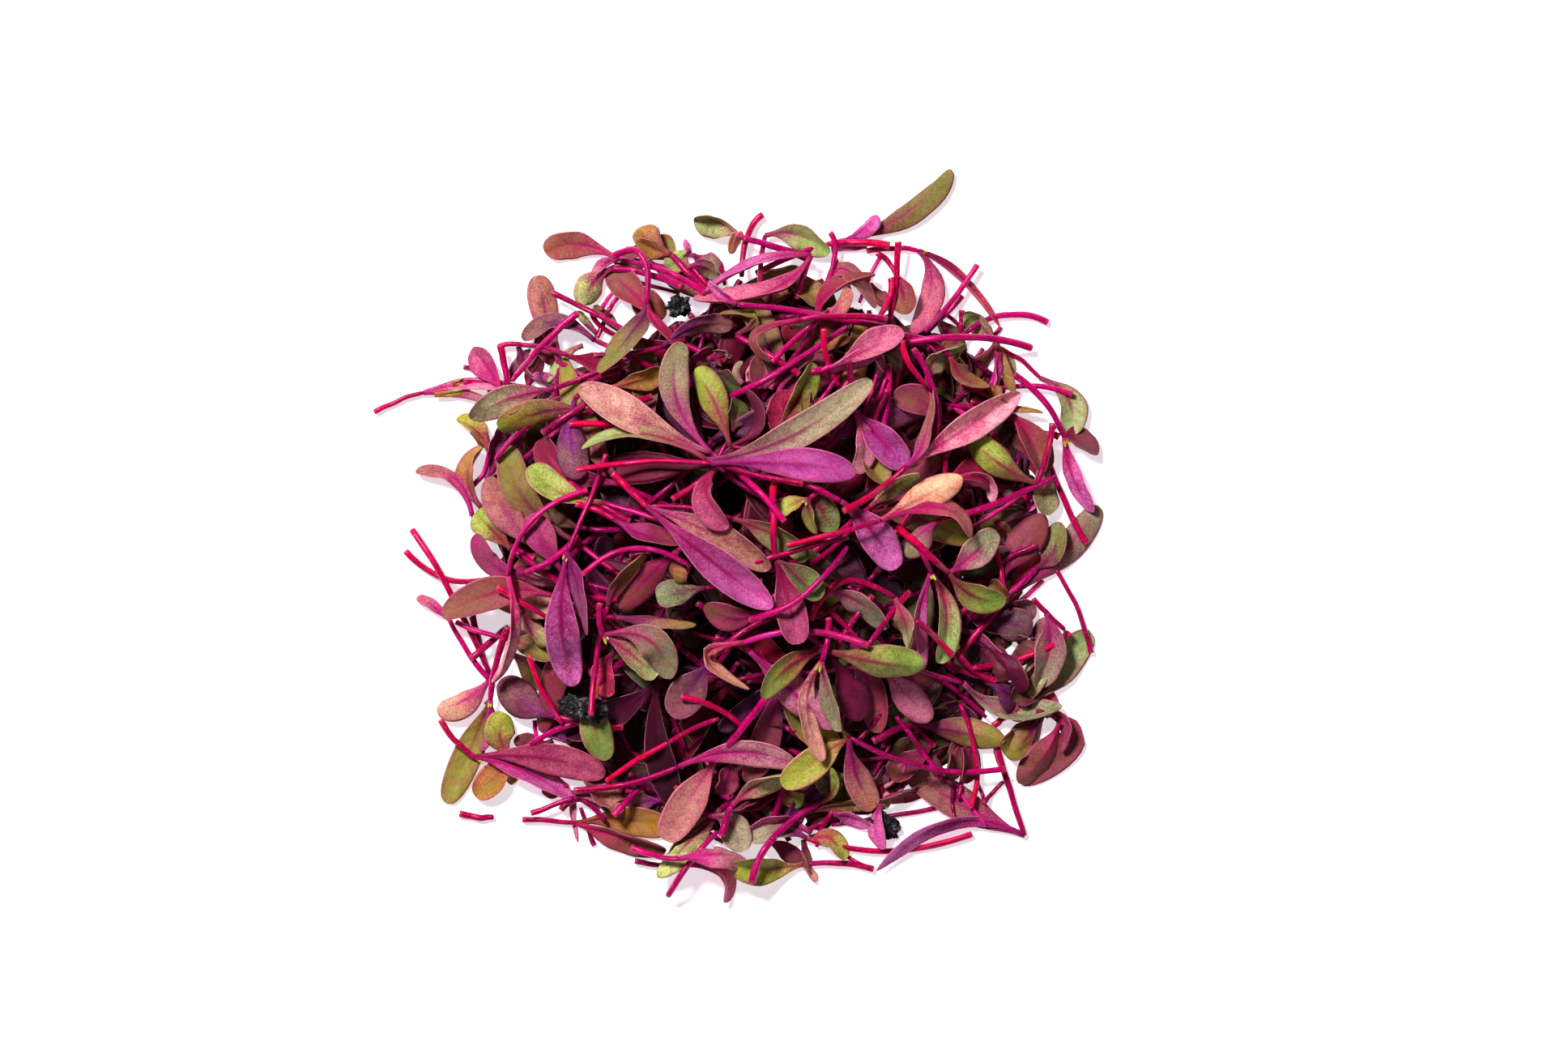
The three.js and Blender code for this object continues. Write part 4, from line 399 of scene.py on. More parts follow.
     ("plum", -12.6, -5.6, -16.4, -9.8, 4.4, -1, 14.8, 12.3, 11.5, 11.3),
     ("gold", -8.8, -4.4, -8.2, -6.4, 2.4, 1, 15.4, 15, 14.2)),
    (25, "dark", (3, -6, -1, -6.4, -4.8, -7), (14.1, 14.1, 14, 14.3),
     ("moss", -8.4, -7.6, -11.4, -8.4, 3.6, 1, 14.7, 14.8, 14.6, 14.5)),
    (26, "crimson", (-15, 2, -19, 4.4, -23.6, 7.6), (11.5, 11.1, 10.2, 9.8),
     ("dusk", -26, 10.6, -27, 13.4, 3.8, -1, 9.6, 8.9, 8.1, 7.7)),
    (26, "magenta", (-6, 1, -12, 2.6, -18.6, 4.6), (14.1, 13.7, 12.5, 11.3),
     ("green", -24.8, 6.2, -28.4, 9.8, 3.4, 1, 10.9, 10.7, 10.4, 10.2)),
    (26, "red", (-22.5, 4.4, -19.6, 3.6, -17, 2.2), (11.2, 11.2, 11.4, 11.9),
     ("plum", -12.6, 0.2, -7.6, -0.8, 2.8, -1, 13.2, 14.2, 14.2, 14.1)),
    (26, "magenta", (-18.3, 11.2, -20.9, 4, -23.6, -2.2), (11.3, 11.5, 12.2, 12.6),
     ("violet", -24.4, -12, -22.6, -20.4, 4.8, -1, 12.9, 11.7, 7.7, 7),
     ("purple", -22, -6.6, -20.8, -13.4, 2.2, 1, 12.7, 13.4, 13.4)),
    (26, "magenta", (-20.8, 6.3, -28.4, 2.2, -31.6, -5.4), (11.6, 11.9, 12.1, 11.7),
     ("pink", -31, -13.4, -34, -20, 1.5, -1, 11.3, 8.6, 5.7, 4.7)),
    (27, "dark", (-12, -14, -16, -17, -19.4, -20.4), (10.1, 9.5, 8.1, 6.8),
     ("green", -20, -25.4, -18, -30.4, 4.4, -1, 7.2, 7.8, 6.8, 5.9)),
    (27, "crimson", (-8, -11, -12.6, -13.4, -17, -15.6), (12.1, 11.5, 10.4, 9.2),
     ("crimson", -18.6, -18.4, -17.4, -21.6, 3.8, 1, 8.5, 7.9, 7.7, 7.7)),
    (27, "dark", (-22, -10.4, -19.6, -10.8, -17, -11), (11.4, 11.5, 11.7, 11.9),
     ("olive", -11.4, -11.6, -6, -12, 1.8, -1, 12, 12.6, 12.8, 12.8)),
    (27, "crimson", (-20.3, -24.3, -19.6, -16.6, -18, -9.4), (11.9, 10.6, 10.3, 12.8),
     ("olive", -16.6, -6.2, -13, -2.4, 1.8, 1, 13.3, 14.1, 14.6, 14.6)),
    (27, "magenta", (-19, -9, -19.2, -11.4, -18.6, -13.4), (12.6, 12.5, 12.3, 12.1),
     ("mist", -12.4, -14, -10, -19.4, 4.8, -1, 12.6, 13.1, 11.1, 9.9),
     ("sage", -14.4, -16.4, -11.4, -19, 3.6, -1, 11.4, 10.7, 10.2)),
    (28, "dark", (18, -8, 15, -12, 12.6, -16.4), (9.9, 10.2, 10.7, 10.2),
     ("shade", 14.8, -20.6, 16.2, -25.2, 4.4, -1, 9, 8.5, 7.8, 7.6)),
    (28, "crimson", (12, -10, 15.6, -13.6, 19.4, -17.8), (11.3, 11.2, 10.6, 9.7),
     ("rose", 22.4, -21.4, 26.2, -24.9, 4.6, -1, 8.4, 6.7, 5.2, 4.7)),
    (28, "dark", (6, -2.6, 8.4, -4.8, 11.4, -7.2), (15.1, 15.1, 14.8, 13.3),
     ("mist", 16, -9, 20, -12.6, 3.4, 1, 12, 11.4, 10.7, 10.4)),
    (28, "crimson", (23, -7.6, 20, -11, 17.4, -14.8), (9, 10.6, 12.1, 13)),
    (28, "red", (9.5, -11.3, 14, -6.2, 21, -8.4), (12.7, 13.6, 12.3, 10.8),
     ("sage", 22.5, -12, 22.8, -15.4, 2.8, 1, 11, 10.4, 9.8, 9.2)),
    (28, "red", (4.5, 7.4, 4.4, 2.2, 4.7, -3), (14.6, 16.6, 17.1, 15.9),
     ("wine", 6.4, -8.5, 7.8, -14.6, 4.2, -1, 14.9, 15.2, 15.6, 15.6),
     ("moss", 8, -5.6, 10.9, -8.4, 3, -1, 16, 15.9, 15.7)),
    (28, "crimson", (-0.2, -4.4, 7, -2, 14.6, -0.2), (15.1, 16.6, 16.5, 15.6)),
    (28, "magenta", (1.2, -11.3, 8.4, -8, 14.5, -1.4), (15.8, 17.2, 17, 15.4)),
    (28, "red", (-17.4, 8.6, -15, 6.2, -12.6, 4), (12.2, 12.6, 14, 15.1),
     ("orchid", -3.8, -3.4, 4.4, -9.6, 4.8, -1, 18.6, 17.6, 16.1, 16.8),
     ("tan", -4, 0.6, 4, -4.4, 4.2, -1, 16.6, 17, 16.2)),
    (29, "dark", (-6, -9, -2, -12, 1.2, -15.6), (13, 12.9, 12.6, 11.9),
     ("pink", 7, -21, 13, -26, 4.8, -1, 11.1, 10.5, 8.9, 8.3)),
    (29, "dark", (4, -11, -0.5, -13.4, -4.2, -16.8), (12.8, 13, 12.9, 11.6),
     ("grey", -6.6, -20.6, -9.6, -24.4, 5.2, -1, 10.5, 9.2, 8.1, 7.8)),
    (29, "red", (-8.2, -21.8, -3.4, -23.4, 0.6, -26.2), (9.4, 9.4, 8.2, 7.4)),
    (29, "crimson", (8, -5, 5.4, -7.4, 2.8, -9.8), (13.5, 13.5, 13.4, 13.5),
     ("plum", -0.8, -11, -4.8, -9.2, 3.6, -1, 13.6, 13.8, 13.8, 13.8)),
    (29, "magenta", (11.9, -11, 11.9, -13.6, 11, -17), (13, 13.1, 13.5, 13.4),
     ("salmon", 8.8, -23, 11.3, -30.6, 2, -1, 11, 10.3, 9.3, 8.4),
     ("mist", 12, -21.6, 13.4, -26.6, 1.8, 1, 12.4, 11.1, 9.5)),
    (29, "pink", (17.4, -14.8, 9, -12.9, 0.4, -14.4), (15, 14.1, 14.3, 13.2),
     ("cream", -4.6, -16.4, 1.2, -20.8, 2.4, -1, 13.2, 12.8, 11.7, 10.7)),
    (30, "crimson", (34.9, -19.9, 31.8, -18.2, 28.8, -15), (2.4, 3, 4.3, 4.6)),
    (30, "red", (45.1, -13.2, 39, -16.4, 31.6, -18), (1.8, 2.6, 2.4, 4.2)),
    (31, "magenta", (-17.4, -38.2, -15.6, -36.2, -13.4, -34), (3.8, 3.6, 2.9, 2.3)),
    (32, "magenta", (-2.6, -41, -2.2, -39, -1.2, -36.8), (4.7, 4.7, 4.8, 4.9),
     ("sage", 2.6, -33.9, 7.3, -32.9, 3, 1, 5.2, 5.3, 5.3, 5.3)),
    (33, "magenta", (36.2, -31.8, 25.2, -31.5, 14.8, -27.3), (2.8, 3.5, 6, 7.9),
     ("lime", 10.6, -30.4, 5.6, -34, 4.4, -1, 6.5, 6.8, 6.9, 6.9),
     ("tan", 15.6, -32.6, 18.4, -37.2, 3.6, -1, 5.3, 3.2, 2.2)),
    (34, "magenta", (20.5, 28.3, 10, 30.3, -0.5, 31.6), (7.4, 8.1, 7.9, 9.2),
     ("violet", -2.6, 33, -4.4, 34.8, 1.2, -1, 8.9, 8.8, 8.7, 8.6)),
    (35, "crimson", (20, 29.6, 13, 30, 8, 29.4), (9.2, 10.4, 11.1, 10.8),
     ("bronze", 2, 27.4, 4.2, 23.7, 1.2, 1, 10.5, 11.9, 12.6, 13)),
    (36, "red", (11.3, 28.2, 11.7, 24, 13.4, 20.4), (12.3, 12.2, 10.8, 9.7)),
    (36, "magenta", (39.8, 25.8, 31, 27.2, 20.5, 26), (1.6, 5, 8.3, 7.1),
     ("violet", 16.4, 24.2, 12, 22.4, 3, -1, 8.1, 9.9, 10.9, 11.1)),
    (36, "magenta", (9.3, 22.2, 11, 22.7, 12.6, 23.1), (11.6, 11.6, 11.6, 11.8),
     ("rose", 17.5, 25.6, 22.2, 27.9, 3.6, -1, 11.6, 10.5, 9.5, 9.4)),
    (36, "red", (21.9, 26.6, 23, 23.4, 25.4, 20.4), (10.1, 9.9, 9.6, 9.5)),
    (36, "dark", (14, 6, 9, 9, 4, 12.6), (12.3, 12.5, 12.6, 12.5),
     ("crimson", 5.6, 15.8, 6, 20, 5.2, 1, 12.1, 11.7, 11.6, 11.6),
     ("green", 7.9, 18.6, 9.7, 23.6, 3, 1, 11.5, 11.9, 12.3)),
    (36, "dark", (12, 14, 5, 12.2, -1.4, 12.2), (12.6, 13, 13.1, 12.6),
     ("lime", -3.6, 18.4, -6.2, 22.8, 4.4, -1, 12, 11.2, 10.2, 9.7),
     ("shade", 2.4, 15.4, 0.6, 20, 1.6, -1, 12.4, 12.2, 12.4)),
    (37, "magenta", (20.2, 23.4, 20, 19, 19.4, 14.6), (6.9, 8.2, 9.2, 9.3)),
    (38, "dark", (20, 20, 18.6, 16.6, 17.6, 13), (10.4, 10.4, 10.3, 10),
     ("olive", 18, 10, 19.8, 7, 3.8, -1, 9.6, 9.8, 10, 10.5)),
    (38, "dark", (14.6, 24, 15, 20.6, 15.4, 17.2), (13.2, 12.7, 11.6, 10.8),
     ("orchid", 18.8, 13.4, 22.4, 9.6, 4.4, -1, 10.7, 10.4, 9.7, 9.2),
     ("pink", 16.9, 12.6, 15.7, 8.6, 2.4, -1, 10.8, 10.9, 10.8)),
    (39, "dark", (2, 11, 5, 9.4, 8.6, 6.6), (14, 13.8, 13.3, 13.1),
     ("moss", 10.6, 4, 12.8, 0.6, 4.2, -1, 13.1, 13, 12.8, 12.8)),
    (39, "crimson", (4.5, 9.4, 9.5, 6.8, 13.6, 4.8), (14, 15.3, 16, 15.2),
     ("violet", 17.6, 1, 21.2, -4.4, 4.8, -1, 14.5, 13.8, 11.9, 11.2)),
    (40, "crimson", (15, 9, 12.4, 7.6, 9.2, 5), (13.7, 14, 14.3, 14.5),
     ("lime", 7, 4.4, 5, 3, 1.8, 1, 14.4, 14.4, 14.4, 14.4),
     ("olive", 9.4, 2.6, 10.4, 0.4, 1.6, 1, 14.4, 14.3, 14.2)),
    (41, "crimson", (-12, 4, -6.6, 3.8, -1, 2.4), (13.6, 13.9, 14.4, 14.6),
     ("moss", 4.2, 0.4, 9.2, -3, 3.4, 1, 14.8, 15.1, 14.8, 14.7)),
    (42, "red", (33, 3.4, 30, 3, 26.6, 2), (5.7, 6.6, 8.4, 10),
     ("mist", 24.4, 0, 22.2, -2.6, 3.4, 1, 10.7, 11, 10.6, 10.4)),
    (42, "magenta", (30.6, 3, 36.5, 5.2, 43.2, 8.2), (7.2, 6.1, 3.9, 3.5)),
    (42, "crimson", (42.6, 15.5, 41.8, 11, 40.4, 7.2), (3.6, 3.7, 3.8, 3.8),
     ("lime", 35.5, 9.8, 31, 13.9, 4.4, -1, 5.2, 6, 5.1, 4.6)),
    (42, "magenta", (21.6, 1.2, 24.2, -1.6, 25.9, -5), (11.5, 11.6, 11.7, 9),
     ("sage", 28.2, -10.6, 26.9, -17.3, 3.2, -1, 6.5, 6.6, 6.6, 6.6),
     ("violet", 24.3, -11.6, 24.9, -18, 2, -1, 7.9, 7.7, 9.6)),
    (42, "red", (21.2, 1.5, 24.8, -1.8, 28.4, -5), (12.3, 12.4, 12.2, 8.9),
     ("mist", 31.6, -2.6, 34.8, 0.8, 4.2, -1, 6.5, 6.4, 6.2, 6.1),
     ("green", 31.6, -8, 36.2, -8.8, 4, 1, 8, 6.9, 5.4)),
    (43, "magenta", (-21.4, -5.2, -14.6, -1.6, -6.8, -4), (14.5, 14.8, 17.2, 17.4)),
    (44, "red", (28.8, -16.2, 26.3, -13.6, 23.8, -11.4), (8.7, 9.8, 11.9, 13)),
    (45, "magenta", (4, -10.5, 8, -12.6, 11.4, -15.4), (14.4, 13.4, 12, 11.7),
     ("green", 18.4, -16.9, 25, -17.4, 4.8, -1, 13.8, 14.1, 11.7, 11.2),
     ("green", 6.4, -17.6, 3, -22, 3.6, -1, 12.6, 13.7, 13.5)),
    (46, "red", (6.2, -1.2, 13, 0.4, 19, 2.2), (17.6, 17.6, 16.9, 15.5),
     ("cream", 24.5, 5.2, 30.2, 8, 4.2, -1, 13.3, 10.7, 9.7, 9.2),
     ("tan", 27.4, 3.9, 31.2, -0.2, 2.6, -1, 11.9, 10, 9.6)),
    (47, "magenta", (6, 2, 1, 7.5, -4, 11.3), (18.6, 17.8, 14.1, 13.4),
     ("salmon", -13.8, 15.8, -22, 20.4, 5, -1, 13.5, 13.3, 12.2, 11.9),
     ("mist", -8.8, 19, -7.8, 26.3, 4.2, -1, 11.8, 12, 11.5)),
    (47, "crimson", (8.5, 7.1, 2, 8.5, -4.6, 10.4), (17, 16.4, 16, 15.9),
     ("mist", 6.5, 13.4, 17.8, 21.2, 4.4, -1, 15.3, 14.3, 13.3, 13.2),
     ("sage", -13.5, 14, -21.6, 11.9, 1.9, 1, 14.6, 13.8, 11.9)),
    (47, "red", (-22.3, 9, -13, 10.2, -4, 9.9), (13.1, 12.9, 14.3, 16.6),
     ("orchid", 7.6, 9.9, 15.6, 8.4, 4.6, -1, 16.3, 16.7, 15.9, 15.4)),
    (48, "crimson", (-9.3, 5, -6.4, 6.8, -3.2, 9.2), (14.8, 14.4, 14.2, 14.6),
     ("wine", -4.8, 5.5, -1.5, 1.2, 3.2, 1, 15.9, 17.8, 18.5, 18.4)),
)

# A short offcut of stem, as a row of the same form without a number
OFFCUT = ("red", (-38.6, -38, -36.2, -38.4, -33.9, -38.5), (0.7, 0.7, 0.7, 0.7))

# Each hull: its two ends in plan and their heights, the height of its middle, and its width
HULLS = (
    ((18, -38, 21.6, -41.4), (1, 1), 1, 3),
    ((-10.2, 31.4, -6.8, 31.6), (4.4, 4.4), 4.4, 3.4),
    ((-24.8, -22.4, -17.8, -24.6), (8.2, 9.3), 9.2, 3.6),
)
HULL_SPREAD = (0.56, 0.52, 0.34)  # half its length, breadth and height, as shares of its length and width
HULL_FINENESS = 5

# What shows in the gaps between the others: tone, how light it is painted (below 1 a painted shade, above 1
# painted light), how far it is lifted, and its foot, middle and end in plan; and for a leaf its width
UNDER_STEMS = (
    ("crimson", 0.9, 0, 32, -32.6, 32.9, -35, 33.3, -36.6),
    ("dark", 1, 0, 33.2, -36.6, 34.6, -35, 36, -33.6),
    ("pink", 0.9, 0, 28.8, -32.2, 29.6, -34.6, 33.6, -39.6),
    ("crimson", 0.7, 0, 30.6, -31.4, 30.2, -34, 29.7, -36),
    ("dark", 1, 0, 29.3, -39.3, 29.1, -37, 29, -33),
    ("dark", 0.8, 0, 34.6, -26, 35, -29.5, 35.8, -31.8),
    ("dark", 1, 0, 26.9, -37.2, 20.4, -38.4, 12.4, -39.6),
    ("dark", 0.7, 0, 32, -17.9, 35.6, -17.9, 39, -16.6),
    ("magenta", 0.85, 1.2, 24.4, -18.4, 28.4, -20.4, 33.6, -24.8),
    ("dark", 0.7, 0, 22, -17.4, 26.8, -18.6, 31.6, -20.6),
    ("pink", 0.8, 2, 27.8, -16.6, 31.5, -18.9, 36.6, -19.7),
    ("crimson", 0.9, 0, 28.8, -14, 29.4, -16, 31.2, -17.8),
    ("crimson", 1, 0.5, 40, -8.5, 42, -10.6, 44.4, -12.8),
    ("crimson", 0.7, 0, 36.8, -11.5, 37.6, -13.6, 39, -15.8),
    ("pink", 0.9, 0, 41.4, -6, 39.8, -7.6, 37.6, -9.4),
    ("pink", 0.9, 0, 30.4, 33, 27.6, 30, 25.2, 27.8),
    ("crimson", 0.8, 0, 26.1, 31.2, 28.6, 30, 31, 27.4),
    ("crimson", 0.9, 0, 30.3, 31, 30.2, 29.6, 30, 27.6),
    ("dark", 1, 0, 35.6, 28.7, 35, 27.9, 34, 27),
    ("pink", 0.9, 2, 35, 25.2, 34.9, 23, 34.1, 20.6),
    ("dark", 0.6, 0, 31.2, 22.4, 32.1, 24, 33.2, 25.8),
    ("crimson", 0.6, 0, 30.6, 20.2, 33.2, 19.6, 36, 18.6),
    ("magenta", 1, 2, 27.2, 18.1, 30.5, 17.7, 34.4, 17.5),
    ("pink", 0.9, 2, 28.4, 17.9, 30, 17.1, 31.8, 16),
    ("pink", 0.8, 0, 26.8, 29.4, 28, 28.5, 29.2, 27.4),
    ("red", 1.1, 1, -0.4, -32.2, 0.9, -32.1, 2.6, -32),
    ("magenta", 0.8, 0, 9.6, -37.4, 12.6, -36.4, 16.6, -35.6),
    ("crimson", 0.6, 0, 2.6, -36.4, 5.4, -38.2, 8.6, -40.2),
    ("dark", 0.8, 0, 1.2, -37.4, 3.4, -38.9, 6, -40),
    ("crimson", 0.6, 0, 9, -40.4, 12, -38.9, 15.6, -37.6),
    ("dark", 0.9, 0, 1.8, -38, 2.1, -39.8, 1.9, -41.8),
    ("crimson", 0.9, 0, 17.8, -45.4, 16, -44.7, 13.8, -43.4),
    ("pink", 0.7, 0, -3.6, -34.8, -2.4, -35.6, -1, -36.3),
    ("magenta", 0.7, 0, 18.2, -32.7, 19.1, -31, 20.4, -28.6),
    ("dark", 0.8, 0, 23, -28, 22.3, -29.6, 21.8, -31),
    ("dark", 1, 0, -20.1, -42.4, -20.9, -40.4, -22, -37.2),
    ("pink", 0.9, 0, -28.3, -25.2, -28.1, -27, -27.8, -29),
    ("dark", 1.1, 0, -38.1, 23.2, -35.4, 21.9, -34.3, 18.4),
    ("pink", 1, 0, -19.3, 31, -18.5, 32.2, -17.4, 33.6),
    ("magenta", 1, 0, -18.4, 30.6, -17.5, 31.9, -16.6, 33.2),
    ("dark", 1, 0, -15, 35.1, -11.6, 34.2, -8.4, 33.3),
    ("red", 0.8, 0, -20.6, 31.2, -19, 28.6, -15.2, 26.8),
    ("dark", 0.9, 0, -19.8, 27.2, -18.6, 29.8, -18.2, 31),
    ("crimson", 0.9, 0, -2.9, 37.5, -2.5, 36.2, -2.2, 34.4),
    ("crimson", 0.9, 0, 12.6, 40.4, 13.2, 37.4, 15, 33.8),
    ("pink", 0.9, 0, 19.1, 38.3, 17.8, 35.8, 16.2, 32),
    ("crimson", 0.7, 0, 6.4, 32.3, 8.4, 31.4, 10.6, 30.8),
    ("magenta", 0.6, 0, 5.2, 25.4, 5.6, 27.4, 5.8, 29.6),
    ("red", 0.8, 0, 34.4, 14.2, 35.6, 12.8, 37, 11),
    ("dark", 1, 0, 43.4, 15.6, 42.2, 13.8, 41, 12),
    ("red", 1, 1, 38.3, 7.2, 38.8, 5.8, 39.5, 3.6),
    ("pink", 0.9, 2, 38.4, 5.5, 34.8, 3.2, 31, 0.9),
    ("dark", 0.7, 0, -8, -27, -5.6, -29.4, -4.6, -32),
    ("crimson", 0.7, 0, -24.8, 2.2, -28, 3.6, -31, 2.6),
    ("crimson", 0.7, 0.8, 12.6, -37.6, 11, -40, 10.4, -42.6),
    ("crimson", 0.8, 0, 21, -31, 19.4, -34.4, 19.2, -37),
    ("magenta", 1, 1, -38, 21.2, -33, 20.9, -28, 20.3),
    ("magenta", 0.9, 0.2, -37, -11, -35.6, -15.4, -34, -20),
    ("magenta", 1, 8.6, 9.6, 17, 11.8, 19.8, 13.9, 22.6),
    ("crimson", 0.9, 8, 10.6, 16.6, 12.8, 19, 15, 21.4),
    ("crimson", 0.85, 7.6, 15.6, 14.4, 17.4, 18.4, 18.6, 22.4),
    ("magenta", 0.9, 7.6, 17.2, 14.6, 18.6, 18.2, 19.8, 21.6),
)
